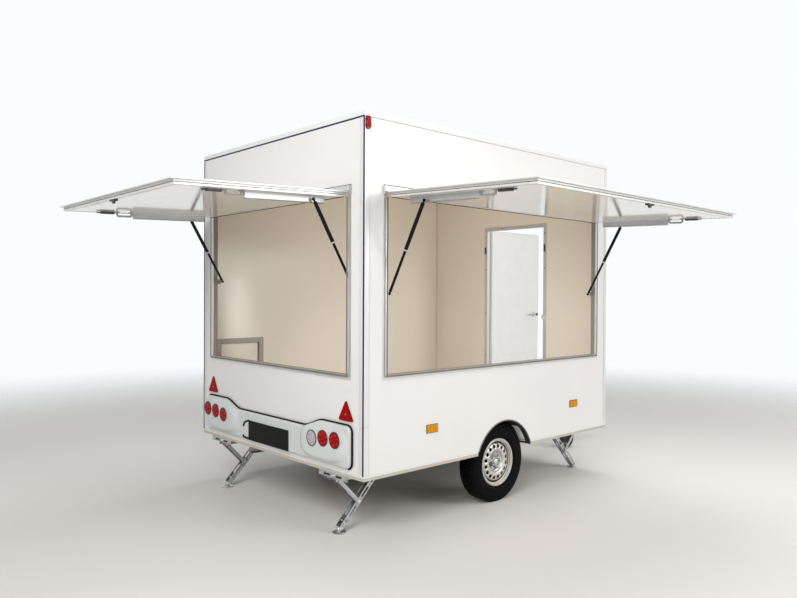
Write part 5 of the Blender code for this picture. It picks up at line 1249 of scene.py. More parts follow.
@dataclass
class BodyShell:
    """Walls, roof, corner profiles and floor, with their seals and trim."""

    frame: dict
    datum: Datum
    wall_thickness: float = 0.034
    roof_edge: float = 0.038
    corner_leg: float = 0.042
    seal_radius: float = 0.0056
    strip_height: float = 0.021
    seal_from_edge: float = 0.008
    rivet_pitch: float = 0.30
    arch_gap: float = 0.06
    cove_radius: float = 0.0085
    cove_gap: float = 0.0025
    cove_foot: float = 0.029
    cove_head: float = 0.012
    board_margin: float = 0.001

    def skin_box(self) -> tuple[Spot, Spot]:
        """Return the box that runs midway between the outer and inner skins.

        Returns:
            The box's low and high corner.
        """
        half = self.wall_thickness / 2
        low = (self.datum.rear + half, self.datum.right + half, self.datum.floor)
        high = (self.datum.front - half, self.datum.left - half, self.datum.roof - self.roof_edge / 2)
        return low, high

    def build(self) -> None:
        """Dress the shell and add its seals."""
        low, high = self.skin_box()
        skin = Laminate("sandwich_panel", WHITE, 0.22, mottle=0.012, inner=BEIGE, low=low, high=high)
        dress(self.frame, skin, "right_wall", "left_wall", "rear_wall", "front_wall", "roof_panel",
              "roof_edge_frame")
        post = Laminate("corner_profile", paint(224, 223, 220), 0.28, 0.12, mottle=0.02, inner=BEIGE,
                        low=low, high=high)
        dress(self.frame, post, *(f"corner_post_{corner}" for corner in CORNERS))
        margin = self.board_margin
        board = Board("floor_board", paint(150, 143, 130), 0.6, mottle=0.08,
                      low=(self.datum.rear + margin, self.datum.right + margin, -1.0),
                      high=(self.datum.front - margin, self.datum.left - margin, self.datum.roof),
                      strip_top=self.datum.floor + self.strip_height, strip=paint(196, 188, 174), rim=WHITE)
        dress(self.frame, board, "floor_panel")
        self.add_roof_seals()
        self.add_corner_seals()
        self.add_coves()
        self.add_strip_rivets()

    def add_roof_seals(self) -> None:
        """Add the sealant line under the roof's edge: painted dark on the rear face as the shadow in the gap under the
        edge, pale grey on the other faces.
        """
        level = self.datum.roof - self.roof_edge - self.seal_radius / 2
        rear, front, right, left = self.datum.rear, self.datum.front, self.datum.right, self.datum.left
        lift = self.seal_radius / 3
        inset = self.corner_leg / 2
        Bead(self.seal_radius, SEAL_GAP_SHADOW).run(
            "roof_seal_rear", "trailer",
            [[Vector((rear + lift, right + inset / 2, level)), Vector((rear + lift, left - inset / 2, level))]])
        Bead(self.seal_radius * 0.7, GREY_SEAL).run(
            "roof_seal_sides", "trailer",
            [[Vector((rear + inset, right + lift, level)), Vector((front - inset, right + lift, level))],
             [Vector((rear + inset, left - lift, level)), Vector((front - inset, left - lift, level))],
             [Vector((front - lift, right + inset, level)), Vector((front - lift, left - inset, level))]])

    def add_corner_seals(self) -> None:
        """Add the sealant lines beside the corner profiles; those on the rear face are painted dark as the shadow in
        the gaps there.
        """
        low = self.datum.floor + self.wall_thickness
        high = self.datum.roof - self.roof_edge
        rear, front, right, left = self.datum.rear, self.datum.front, self.datum.right, self.datum.left
        edge = self.seal_from_edge
        sunk = self.seal_radius / 3
        dark = [upright(rear + sunk, y, low, high) for y in (right + edge, left - edge)]
        Bead(self.seal_radius, SEAL_GAP_SHADOW).run("corner_seals_rear", "trailer", dark)
        leg = self.corner_leg
        pale = [upright(x, y, low, high) for y in (right + leg, left - leg) for x in (rear + sunk, front - sunk)]
        pale += [upright(x, y, low, high) for x in (rear + leg, front - leg) for y in (right + sunk, left - sunk)]
        Bead(self.seal_radius * 0.45, GREY_SEAL).run("corner_seals_pale", "trailer", pale)

    def add_coves(self) -> None:
        """Add the rounded mouldings in the cabin's upright corners, in a darker beige that is painted shade in the
        corners.
        """
        inset = self.wall_thickness + self.cove_gap
        low = self.datum.floor + self.cove_foot
        high = self.datum.roof - self.roof_edge - self.cove_head
        paths = [upright(x, y, low, high)
                 for x in (self.datum.rear + inset, self.datum.front - inset)
                 for y in (self.datum.right + inset, self.datum.left - inset)]
        Bead(self.cove_radius, COVE_CORNER_SHADE, 16).run("cabin_coves", "trailer", paths)

    def add_strip_rivets(self) -> None:
        """Add the rivets that hold the strip along the floor's edge."""
        height = self.datum.floor + self.strip_height / 2
        places = []
        lengthwise, crosswise = (self.datum.rear, self.datum.front), (self.datum.right, self.datum.left)
        for wall, (start, end) in ((Wall.RIGHT, lengthwise), (Wall.LEFT, lengthwise),
                                   (Wall.REAR, crosswise), (Wall.FRONT, crosswise)):
            frame = self.datum.wall(wall)
            outward = self.datum.outward(wall)
            length = end - start
            count = round(length / self.rivet_pitch)
            places += [(frame @ Vector((length * (i + 0.5) / count, height, 0.0)), outward) for i in range(count)
                       if self.clear_of_arch(wall, length * (i + 0.5) / count)]
        Fastener(Head.DOME, 0.0035, 0.0018).fix("strip_rivets", "trailer", places)

    def clear_of_arch(self, wall: Wall, along: float) -> bool:
        """Return whether a place on a side wall is outside the wheel notch.

        Args:
            wall: The wall.
            along: Distance from the wall's rear end.

        Returns:
            True where the wall is whole.
        """
        if wall not in (Wall.RIGHT, Wall.LEFT):
            return True
        low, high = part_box("tyre_right")
        return not low.x - self.arch_gap < self.datum.rear + along < high.x + self.arch_gap


@dataclass
class ServingFlap:
    """A top-hinged serving flap with its opening frame, gas struts and fittings."""

    frame: dict
    datum: Datum
    name: str
    wall: Wall
    strut_tube: float
    handle_outline: Flat = (0.700, 0.805)
    latch_outline: Flat = (0.83, 0.92)
    back: float = 0.030
    panel_back: float = 0.0285
    lip: float = 0.022
    lip_inset: float = 0.014
    rail_from_end: float = 0.1035
    handle_height: float = 0.028
    handle_bar: float = 0.0075
    cylinder_radius: float = 0.0124
    rod_radius: float = 0.0090
    eye_radius: float = 0.009
    neck_radius: float = 0.0062
    neck_start: float = 0.0095
    ferrule_radius: float = 0.0105
    handle_bend: float = 0.012
    foot_half: Flat = (0.013, 0.015)
    hinge_rise: float = 0.036
    flange: float = 0.0275
    rivet_pitch: float = 0.32
    rivet_rows: int = 3
    screw_pitch: float = 0.45
    side_screws: tuple[float, ...] = (0.16, 0.48, 0.80)
    face_screws: tuple[float, ...] = (0.10, 0.42, 0.74)
    screw_depth: float = 0.024
    groove_depth: float = 0.0165

    def __post_init__(self) -> None:
        """Work out the flap's own frame from its hinge."""
        hinge = Joint.named(self.frame, f"{self.name}_hinge")
        outward = self.datum.outward(self.wall)
        along = outward.cross(UP)
        turn = Matrix.Rotation(math.radians(hinge.top), 3, along)
        self.outward = outward
        self.along = along
        self.inner = turn @ -outward
        self.out = turn @ -UP
        self.hinge = hinge.place
        low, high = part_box(f"{self.name}_edge_frame")
        self.half = abs((high - low).dot(along)) / 2
        self.length = hinge.place.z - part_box(self.opening())[0].z - self.lip_inset

    def opening(self) -> str:
        """Return the name of the opening frame."""
        return self.name.replace("flap", "opening_frame")

    def at(self, along: float, out: float, depth: float) -> Vector:
        """Return a point of the flap.

        Args:
            along: Distance from the flap's middle along its hinge.
            out: Distance from the hinge towards the free edge.
            depth: Distance from the hinge's plane towards the cabin side.

        Returns:
            The point with the flap open.
        """
        return self.hinge + self.along * along + self.out * out + self.inner * depth

    def local(self) -> Matrix:
        """Return the flap's frame: along, out and towards its cabin side."""
        return framed(self.along, self.out, self.inner, self.hinge)

    def rails(self) -> Flat:
        """Return where the two stiffening rails lie along the hinge."""
        along = self.half - self.rail_from_end
        return -along, along

    def span(self) -> Spot:
        """Return where the opening frame starts and ends along its wall, and how deep its outer face lies."""
        low, high = (self.datum.wall(self.wall).inverted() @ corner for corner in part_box(self.opening()))
        return min(low.x, high.x), max(low.x, high.x), min(low.z, high.z)

    def build(self) -> None:
        """Dress the flap and add its fittings."""
        limit = self.inner.dot(self.hinge) + self.back
        # Warm white skin: the warmth is painted reflection of the cabin's beige on the open flap's underside.
        panel = Zoned(f"{self.name}_skin", paint(234, 229, 220), 0.08, mottle=0.02, depth=0.00002, specular=0.9,
                      second=paint(186, 187, 188), second_roughness=0.36, second_metallic=0.7,
                      zones=(Beyond(tuple(self.inner), limit),))
        dress(self.frame, panel, f"{self.name}_panel")
        dress(self.frame, PALE_METAL, f"{self.name}_edge_frame")
        dress(self.frame, self.surround(), self.opening())
        self.add_handles()
        self.add_latches()
        self.add_groove_seal()
        self.add_screws()
        self.add_hinge_line()
        self.add_frame_seal()
        self.add_frame_rivets()
        for side in ("a", "b"):
            self.add_strut(side)

    def add_handles(self) -> None:
        """Add a pull handle at the end of each stiffening rail."""
        start, end = self.handle_outline
        bend = self.handle_bend
        profile = [(start, 0.0), (start, self.handle_height - bend)]
        profile += [(start + bend - bend * math.cos(math.radians(a)),
                     self.handle_height - bend + bend * math.sin(math.radians(a))) for a in (22.5, 45, 67.5, 90)]
        profile += [(start + end - out, depth) for out, depth in reversed(profile)]
        paths = [[self.at(along, out, self.panel_back + depth) for out, depth in profile] for along in self.rails()]
        Bead(self.handle_bar, GREY_PLASTIC, 12).run(f"{self.name}_handles", self.name, paths)
        feet = Shape()
        half_u, half_v = self.foot_half
        for along in self.rails():
            for out in self.handle_outline:
                feet.block((along - half_u, out - half_v, self.panel_back - 0.001),
                           (along + half_u, out + half_v, self.panel_back + 0.005), self.local(), 0.0015)
        feet.piece(f"{self.name}_handle_feet", self.name, "pale_plastic", GREY_PLASTIC)

    def add_latches(self) -> None:
        """Add the dark latch covers near the free edge and the catch at its middle."""
        shape = Shape()
        start, end = self.latch_outline
        for along in self.rails():
            shape.block((along - 0.0125, start - 0.002, self.panel_back - 0.001),
                        (along + 0.0125, end + 0.002, self.panel_back + 0.0155), self.local(), 0.003)
            shape.block((along - 0.006, end, self.panel_back + 0.003),
                        (along + 0.006, end + 0.030, self.panel_back + 0.011), self.local(), 0.002)
        tip = self.length - self.lip
        shape.block((-0.035, tip - 0.034, self.back - 0.001), (0.035, tip - 0.008, self.back + 0.010),
                    self.local(), 0.002)
        shape.block((-0.012, tip - 0.026, self.back + 0.008), (0.012, tip - 0.014, self.back + 0.024),
                    self.local(), 0.003)
        shape.piece(f"{self.name}_latches", self.name, "black_plastic", DARK_METAL)

    def add_groove_seal(self) -> None:
        """Add the seal in the groove round the flap's three free edges."""
        side = self.half - self.lip
        tip = self.length - self.lip
        corners = ((-side, 0.03), (-side, tip), (side, tip), (side, 0.03))
        path = [self.at(along, out, self.groove_depth) for along, out in corners]
        Bead(0.0018, GROOVE_SEAL, 8).run(f"{self.name}_edge_seal", self.name, [path])

    def add_screws(self) -> None:
        """Add screws in the edge frame's sides and in its cabin face near the corners."""
        side = self.half - self.lip
        tip = self.length - self.lip
        places = []
        for sign in SIDES:
            for out in (*self.side_screws, tip - 0.06):
                places.append((self.at(sign * side, out, self.screw_depth), self.along * sign))
            for out in (*self.face_screws, tip - 0.015):
                places.append((self.at(sign * (side - 0.015), out, self.back), self.inner))
        steps = round(2 * side / self.screw_pitch)
        for i in range(steps):
            along = side * (2 * (i + 0.5) / steps - 1)
            places.append((self.at(along, tip, self.screw_depth), self.out))
        Fastener(Head.PAN, 0.0042, 0.0022).fix(f"{self.name}_screws", self.name, places)

    def add_hinge_line(self) -> None:
        """Add the sealant above the hinge profile, painted dark as the shadow line in the gap there, and the caps on
        its ends.
        """
        face = self.hinge - self.outward * 0.008
        top = 0.0435
        half = self.half + self.lip_inset - 0.004
        path = [face + self.along * half * sign + UP * top for sign in SIDES]
        Bead(0.004, SEAL_GAP_SHADOW).run(f"{self.name}_hinge_seal", "trailer", [path])
        caps = Shape()
        frame = framed(self.along, UP, self.outward, self.hinge)
        for sign in SIDES:
            inner = sign * (half + 0.0024)
            outer = sign * (half + 0.0075)
            caps.block((min(inner, outer), -0.012, -0.0095), (max(inner, outer), 0.0405, 0.0085), frame, 0.0012)
        caps.piece(f"{self.name}_hinge_caps", "trailer", "pale_plastic", GREY_PLASTIC)

    def surround(self) -> Zoned:
        """Return the opening frame's finish: pale outside, and a darker brownish grey along the reveal that is painted
        shade.

        Returns:
            The finish.
        """
        wall = self.datum.wall(self.wall)
        inward = (wall.to_3x3() @ UP).normalized()
        return Zoned(f"{self.name}_surround", paint(206, 206, 204), 0.36, 0.6, grain=METAL_GRAIN, depth=0.00003,
                     second=paint(140, 131, 118), second_roughness=0.5, second_metallic=0.1,
                     zones=(Beyond(tuple(inward), inward.dot(wall.translation) + 0.002),))

    def add_frame_seal(self) -> None:
        """Add the seal round the opening at its cabin side, and the one along the flap's hinged edge; the brownish
        grey of the opening's seal and of its sill and side strips is painted shade.
        """
        wall = self.datum.wall(self.wall)
        flange = self.flange
        start, end, front = self.span()
        sill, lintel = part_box(self.opening())[0].z + flange, self.hinge.z + self.hinge_rise - flange
        corners = ((start + flange, sill), (end - flange, sill), (end - flange, lintel), (start + flange, lintel))
        Bead(0.0040, REVEAL_SEAL_SHADE, 8).run(f"{self.name}_reveal_seal", "trailer",
                                         [[wall @ Vector((u, v, 0.0365)) for u, v in corners]], closed=True)
        strip, proud, head = 0.012, 0.0006, self.hinge.z - 0.03
        lips = Shape()
        lips.block((start + flange - strip, sill - strip, front - proud), (end - flange + strip, sill, front + proud),
                   wall, 0.0)
        lips.block((start + flange - strip, sill, front - proud), (start + flange, head, front + proud), wall, 0.0)
        lips.block((end - flange, sill, front - proud), (end - flange + strip, head, front + proud), wall, 0.0)
        lips.piece(f"{self.name}_sill_seal", "trailer", "black_plastic", REVEAL_SEAL_SHADE, (), 30.0)
        side = self.half - self.lip - 0.01
        root = [self.at(sign * side, 0.018, self.panel_back) for sign in SIDES]
        Bead(0.0048, SEAL_RUBBER_AND_SHADE, 8).run(f"{self.name}_root_seal", self.name, [root])

    def add_frame_rivets(self) -> None:
        """Add rivets round the opening frame's outer flange and its cabin flange."""
        wall = self.datum.wall(self.wall)
        start, end, _ = self.span()
        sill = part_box(self.opening())[0].z
        lintel = self.hinge.z + self.hinge_rise
        places = []
        middle = 0.013
        for depth, way in ((-0.003, self.outward), (0.037, -self.outward)):
            count = round((end - start) / self.rivet_pitch)
            for i in range(count):
                along = start + (end - start) * (i + 0.5) / count
                places.append((wall @ Vector((along, sill + middle, depth)), way))
                if way != self.outward:
                    places.append((wall @ Vector((along, lintel - middle, depth)), way))
            for i in range(self.rivet_rows):
                height = sill + (lintel - sill) * (i + 0.5) / self.rivet_rows
                for along in (start + middle, end - middle):
                    places.append((wall @ Vector((along, height, depth)), way))
        Fastener(Head.DOME, 0.004, 0.0016, ALUMINIUM).fix(f"{self.name}_frame_rivets", "trailer", places)

    def add_strut(self, side: str) -> None:
        """Add a gas strut: cylinder, bright collar, piston rod and end sockets.

        Args:
            side: The strut's letter.
        """
        strut = self.name.replace("flap", "strut")
        upper = Joint.named(self.frame, f"{strut}_{side}_swing").place
        rod_low, rod_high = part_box(f"{self.name}_strut_rod_{side}")
        reach = max((corner - upper).dot(-self.outward) for corner in (rod_low, rod_high))
        lower = upper - self.outward * (reach - self.eye_radius)
        lower.z = rod_low.z + self.eye_radius
        way = (lower - upper).normalized()
        length = (lower - upper).length
        cylinder, rod = self.cylinder_radius, self.rod_radius
        end = self.strut_tube
        tube_body, rod_body = f"{strut}_tube_{side}", f"{strut}_rod_{side}"
        tube = Shape()
        neck, start, ferrule = self.neck_radius, self.neck_start, self.ferrule_radius
        tube.turned([(0.0, start), (neck, start), (neck, 0.018), (cylinder - 0.002, 0.0185),
                     (cylinder, 0.021), (cylinder, end - 0.002), (cylinder - 0.0015, end), (rod + 0.0012, end),
                     (rod + 0.0012, 0.026), (0.0, 0.026)], 28, facing(upper, way))
        tube.eye(upper, self.along, self.eye_radius)
        tube.piece(f"{self.name}_cylinder_{side}", tube_body, "black_paint", BLACK_PAINT,
                   (f"{self.name}_strut_tube_{side}",))
        collar = Shape()
        collar.turned([(cylinder - 0.001, end - 0.007), (cylinder + 0.0006, end - 0.0065),
                       (cylinder + 0.0006, end + 0.001), (cylinder - 0.003, end + 0.0035),
                       (rod + 0.0008, end + 0.0035), (rod + 0.0008, end - 0.001), (cylinder - 0.001, end - 0.001)],
                      28, facing(upper, way))
        collar.piece(f"{self.name}_collar_{side}", tube_body, "aluminium", ALUMINIUM)
        piston = Shape()
        piston.turned([(0.0, start), (neck, start), (neck, 0.017), (ferrule, 0.018), (ferrule, 0.0235),
                       (rod, 0.0245), (rod, length - end + 0.016), (0.0, length - end + 0.016)],
                      24, facing(lower, -way))
        piston.eye(lower, self.along, self.eye_radius)
        piston.piece(f"{self.name}_piston_{side}", rod_body, "black_paint", BLACK_PAINT,
                     (f"{self.name}_strut_rod_{side}",))


@dataclass
class DoorSet:
    """The door frame in the front wall and the open leaf."""

    frame: dict
    datum: Datum
    right: float = 0.615
    left: float = 1.370
    top: float = 1.830
    width: float = 0.034
    leaf_near: float = -0.036
    leaf_far: float = -0.006
    lock_height: float = 0.945
    lock_from_hinge: float = 0.706
    keeper_height: float = 0.95
    stop_height: float = 1.60
    threshold: float = 0.062
    handle_reach: float = 0.0445
    screw_heights: tuple[float, ...] = (0.20, 0.54, 0.97, 1.41, 1.74)
    head_screws: tuple[float, ...] = (0.3, 0.7)
    cabin_face: float = 0.037

    def build(self) -> None:
        """Dress the door and add its screws, seal, lock and keeper."""
        hinge = Joint.named(self.frame, "door_hinge").place
        middle = hinge.y + (self.leaf_near + self.leaf_far) / 2
        half = (self.leaf_far - self.leaf_near) / 2 + 0.0004
        leaf = Zoned("door_skin", WHITE, 0.22, mottle=0.02, depth=0.00003, second=GREY_METAL, second_roughness=0.3,
                     second_metallic=0.9, zones=(Beyond((0.0, 1.0, 0.0), middle + half),
                                                 Beyond((0.0, -1.0, 0.0), half - middle)))
        dress(self.frame, leaf, "door_leaf")
        dress(self.frame, ALUMINIUM, "door_frame")
        self.add_screws()
        self.add_seal()
        self.add_lock(hinge)
        self.add_leaf_edges(hinge)

    def add_screws(self) -> None:
        """Add the screws down both jambs and across the head, seen from the cabin."""
        wall = self.datum.wall(Wall.FRONT)
        inward = wall.to_3x3() @ UP
        depth = self.cabin_face
        inset = self.width / 2
        places = []
        for height in self.screw_heights:
            for along in (self.right + inset, self.left - inset):
                places.append((wall @ Vector((along, self.datum.floor + height, depth)), inward))
        for share in self.head_screws:
            along = self.right + (self.left - self.right) * share
            places.append((wall @ Vector((along, self.datum.floor + self.top - inset, depth)), inward))
        Fastener(Head.PAN, 0.0055, 0.003, DARK_METAL).fix("door_frame_screws", "trailer", places)
        keeper = Shape()
        level = self.datum.floor + self.keeper_height
        keeper.block((self.right + 0.006, level - 0.05, depth - 0.001),
                     (self.right + 0.030, level + 0.05, depth + 0.003), wall, 0.001)
        keeper.block((self.right + 0.020, level - 0.02, depth + 0.002),
                     (self.right + 0.038, level + 0.02, depth + 0.016), wall, 0.002)
        keeper.piece("door_keepers", "trailer", "aluminium", ALUMINIUM)
        stops = Shape()
        level = self.datum.floor + self.stop_height
        for along in (self.right + 0.021, self.left - 0.012):
            stops.block((along - 0.007, level - 0.034, depth - 0.001), (along + 0.007, level + 0.034, depth + 0.009),
                        wall, 0.0015)
        stops.piece("door_stops", "trailer", "black_plastic", DARK_METAL)

    def add_seal(self) -> None:
        """Add the rubber seal round the frame's outer face."""
        wall = self.datum.wall(Wall.FRONT)
        inset = self.width - 0.006
        bottom = self.datum.floor + self.threshold - 0.006
        top = self.datum.floor + self.top - inset
        corners = ((self.right + inset, bottom), (self.left - inset, bottom), (self.left - inset, top),
                   (self.right + inset, top))
        path = [wall @ Vector((u, v, -0.0035)) for u, v in corners]
        Bead(0.003, SEAL_RUBBER_AND_SHADE, 8).run("door_seal", "trailer", [path], closed=True)

    def add_lock(self, hinge: Vector) -> None:
        """Add the black lock cylinder and the rosette rings on both faces of the leaf.

        Args:
            hinge: The hinge's foot.
        """
        place = Vector((hinge.x + self.lock_from_hinge, hinge.y, self.datum.floor + self.lock_height))
        shape = Shape()
        rings = Shape()
        for depth, sign in ((self.leaf_near, -1), (self.leaf_far, 1)):
            way = sideways(sign)
            front = place + sideways(depth + sign * self.handle_reach)
            shape.turned([(0.0, 0.0), (0.0125, 0.0), (0.0145, 0.002), (0.0145, 0.006), (0.012, 0.008), (0.0, 0.008)],
                         24, facing(front, way))
            rings.turned([(0.0245, -0.0005), (0.0265, -0.0005), (0.0265, 0.004), (0.0245, 0.006)], 32,
                         facing(place + sideways(depth), way))
        shape.piece("door_lock_cylinders", "door", "black_plastic", BLACK_PLASTIC)
        rings.piece("door_lock_rings", "door", "aluminium", ALUMINIUM)

    def add_leaf_edges(self, hinge: Vector) -> None:
        """Add the aluminium edging round both faces of the leaf.

        Args:
            hinge: The hinge's foot.
        """
        low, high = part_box("door_leaf")
        inset = 0.0035
        start, end = hinge.x + 0.008 + inset, high.x - inset
        bottom, top = low.z + inset, high.z - inset
        corners = ((start, bottom), (end, bottom), (end, top), (start, top))
        paths = [[Vector((x, hinge.y + depth, z)) for x, z in corners] for depth in (self.leaf_near, self.leaf_far)]
        Bead(0.0032, ALUMINIUM, 8).run("door_leaf_edging", "door", paths, closed=True)


@dataclass
class Hatch:
    """The low service hatch in the left wall."""

    frame: dict
    datum: Datum
    width: float = 0.042
    skin_depth: float = 0.012
    gap: float = 0.0025
    knuckle: float = 0.031
    knob_rise: float = 0.044
    screw_shares: tuple[float, ...] = (0.08, 0.36, 0.64, 0.92)

    def build(self) -> None:
        """Dress the hatch and add its seal and screws."""
        low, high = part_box("hatch_leaf")
        inner = self.datum.left - self.skin_depth
        leaf = Zoned("hatch_skin", WHITE, 0.24, mottle=0.02, depth=0.00003, second=BEIGE, second_roughness=0.22,
                     second_metallic=0.0, zones=(Beyond((0.0, -1.0, 0.0), -inner),))
        dress(self.frame, leaf, "hatch_leaf")
        # The frame's cabin side is a darker brownish grey: painted shade on the aluminium frame.
        surround = Zoned("hatch_surround", GREY_METAL, 0.36, 0.6, grain=METAL_GRAIN, depth=0.00003,
                         second=paint(150, 144, 134), second_roughness=0.5, second_metallic=0.2,
                         zones=(Beyond((0.0, -1.0, 0.0), -inner),))
        dress(self.frame, surround, "hatch_frame")
        gap = self.gap
        outer, bottom, top = self.datum.left - gap + 0.0015, low.z - gap, high.z - self.knuckle
        path = [Vector((x, outer, z)) for x, z in ((low.x - gap, bottom), (high.x + gap, bottom), (high.x + gap, top),
                                                   (low.x - gap, top))]
        Bead(0.0022, SEAL_RUBBER_AND_SHADE, 8).run("hatch_seal", "trailer", [path], closed=True)
        frame_low, frame_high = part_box("hatch_frame")
        inset = self.width / 2
        places = []
        for y, way in ((self.datum.left + 0.003, 1.0), (self.datum.left - 0.037, -1.0)):
            for x in (frame_low.x + inset, frame_high.x - inset):
                for share in self.screw_shares:
                    height = frame_low.z + (frame_high.z - frame_low.z) * share
                    places.append((Vector((x, y, height)), sideways(way)))
        Fastener(Head.PAN, 0.0045, 0.0025).fix("hatch_frame_screws", "trailer", places)
        self.add_knob()

    def add_knob(self) -> None:
        """Add the turn grip on the hatch's lock."""
        low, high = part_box("hatch_leaf")
        centre = Vector(((low.x + high.x) / 2, self.datum.left + 0.0015, low.z + self.knob_rise))
        shape = Shape()
        shape.turned([(0.0, 0.0), (0.0225, 0.0), (0.0225, 0.003), (0.019, 0.005), (0.0, 0.005)], 32,
                     facing(centre, sideways(1.0)))
        shape.block((centre.x - 0.004, centre.y + 0.004, centre.z - 0.014),
                    (centre.x + 0.004, centre.y + 0.013, centre.z + 0.014), ease=0.002)
        shape.piece("hatch_turn_grip", "hatch", "black_plastic", BLACK_PLASTIC)


@dataclass
class RearLights:
    """Light panel, round lamps, number plate and triangles on the rear wall."""

    frame: dict
    datum: Datum
    panel_side: float = 0.107
    panel_bottom: float = 0.060
    middle_top: float = 0.270
    shoulder_top: float = 0.330
    flat_half: float = 0.415
    rise_end: float = 0.645
    corner: float = 0.040
    thickness: float = 0.030
    lamp_radius: float = 0.0525
    lamp_base: float = 0.060
    lamp_front: float = 0.070
    lamp_places: tuple[Flat, ...] = ((0.837, 0.236), (0.713, 0.231), (0.590, 0.215))
    screw_places: tuple[Flat, ...] = ((0.36, 0.235), (0.36, 0.075), (0.905, 0.30), (0.905, 0.085))
    pod_place: Flat = (0.663, 0.190)
    pod_half: Flat = (0.268, 0.128)
    pod_height: float = 0.034
    pod_power: float = 3.2
    pod_slope: float = 0.30
    edge_radius: float = 0.014
    lamp_segments: int = 48
    lens_rings: int = 9
    optics: int = 6
    grid_columns: int = 150
    grid_rows: int = 22
    plate_half: float = 0.260
    plate_low: float = 0.070
    plate_high: float = 0.208
    plate_margin: float = 0.004
    seal_gap: float = 0.0035
    seal_depth: float = 0.0075

    def build(self) -> None:
        """Dress the rear end."""
        dress(self.frame, PLATE_BLACK, "number_plate")
        dress(self.frame, RED_REFLECTOR, "triangle_reflector_right", "triangle_reflector_left")
        self.wall = self.datum.wall(Wall.REAR)
        self.middle = (self.datum.left - self.datum.right) / 2
        self.add_panel()
        self.add_seal()
        self.add_lamps()
        self.add_plate_carrier()
        self.add_triangle_rims()
        self.add_panel_screws()

    def at(self, across: float, up: float, depth: float) -> Vector:
        """Return a point from the wall's middle, the floor's underside and the wall's face."""
        return self.wall @ Vector((self.middle + across, self.datum.floor + up, depth))

    def reach(self, across: float) -> Flat:
        """Return the panel's lower and upper edge at a distance from its middle.

        Args:
            across: Distance from the middle.

        Returns:
            Both heights above the floor's underside.
        """
        side = self.middle - self.panel_side
        across = abs(across)
        share = clamped((across - self.flat_half) / (self.rise_end - self.flat_half))
        top = self.middle_top + (self.shoulder_top - self.middle_top) * eased(share)
        into = max(0.0, across - (side - self.corner))
        cut = self.corner - math.sqrt(max(0.0, self.corner ** 2 - into ** 2))
        return self.panel_bottom + cut, top - cut

    def depth_at(self, across: float, up: float) -> float:
        """Return how far the panel's face stands off the wall at a place.

        Args:
            across: Distance from the middle.
            up: Height above the floor's underside.

        Returns:
            The face's distance from the wall.
        """
        side = self.middle - self.panel_side
        low, high = self.reach(across)
        inside = min(side - abs(across), up - low, high - up)
        corner_u = abs(across) - (side - self.corner)
        corner_v = max(up - (self.shoulder_top - self.corner), self.panel_bottom + self.corner - up)
        if corner_u > 0 and corner_v > 0:
            inside = self.corner - math.hypot(corner_u, corner_v)
        short = max(0.0, self.edge_radius - max(0.0, inside))
        depth = self.thickness - self.edge_radius + math.sqrt(self.edge_radius ** 2 - short ** 2)
        reach_u = (abs(across) - self.pod_place[0]) / self.pod_half[0]
        reach_v = (up - self.pod_place[1]) / self.pod_half[1]
        power = self.pod_power
        radius = (abs(reach_u) ** power + abs(reach_v) ** power) ** (1 / power)
        return depth + self.pod_height * eased(clamped((1 - radius) / self.pod_slope))

    def add_panel(self) -> None:
        """Add the moulded panel with rounded edges and its two raised pods."""
        side = self.middle - self.panel_side
        fine = (0.0, 0.0012, 0.003, 0.006, 0.010, 0.015, 0.021, 0.028, 0.036)
        count = self.grid_columns
        start = side - 0.046
        columns = [distance - side for distance in fine]
        columns += [start * (2 * i / count - 1) for i in range(count + 1)]
        columns += [side - distance for distance in reversed(fine)]
        shares = [0.0, 0.004, 0.010, 0.020, 0.034, 0.052, 0.075]
        rows = shares + [0.075 + 0.85 * (i + 1) / (self.grid_rows + 1) for i in range(self.grid_rows)]
        rows += [1 - share for share in reversed(shares)]
        shape = Shape()
        grid = []
        for across in columns:
            low, high = self.reach(across)
            heights = [low + (high - low) * share for share in rows]
            grid.append([shape.mesh.verts.new(self.at(across, up, -self.depth_at(across, up))) for up in heights])
        last_i, last_j = len(columns) - 1, len(rows) - 1
        rim = [(i, 0) for i in range(last_i)] + [(last_i, j) for j in range(last_j)]
        rim += [(i, last_j) for i in range(last_i, 0, -1)] + [(0, j) for j in range(last_j, 0, -1)]
        back = {}
        for i, j in rim:
            place = grid[i][j].co.copy()
            place.x = self.datum.rear - 0.0005
            back[i, j] = shape.mesh.verts.new(place)
        for i in range(last_i):
            for j in range(last_j):
                shape.mesh.faces.new((grid[i][j], grid[i + 1][j], grid[i + 1][j + 1], grid[i][j + 1]))
        for (i, j), (m, n) in zip(rim, rim[1:] + rim[:1]):
            shape.mesh.faces.new((grid[i][j], grid[m][n], back[m, n], back[i, j]))
        for i in range(last_i):
            near = [(i, j) for j in range(last_j + 1)] if i == 0 else [(i, 0), (i, last_j)]
            far = [(i + 1, j) for j in range(last_j + 1)] if i + 1 == last_i else [(i + 1, 0), (i + 1, last_j)]
            shape.mesh.faces.new([back[key] for key in near + far[::-1]])
        shape.piece("light_panel_moulding", "trailer", "pale_plastic", PANEL_PLASTIC, ("rear_light_panel",), 50.0)

    def edge_points(self, grow: float) -> list[Flat]:
        """Return the panel's edge from one bottom corner over its top to the other.

        Args:
            grow: How far outside the edge the points lie.

        Returns:
            Points across and up.
        """
        side = self.middle - self.panel_side + grow
        radius = self.corner + grow
        right = arc((side - radius, self.panel_bottom + self.corner), radius, -80, 0, 5)
        right += arc((side - radius, self.shoulder_top - self.corner), radius, 0, 90, 6)
        steps = 16
        for i in range(steps + 1):
            share = i / steps
            right.append((self.rise_end + (self.flat_half - self.rise_end) * share,
                          self.shoulder_top + (self.middle_top - self.shoulder_top) * eased(share) + grow))
        return right + [(-u, v) for u, v in reversed(right)]

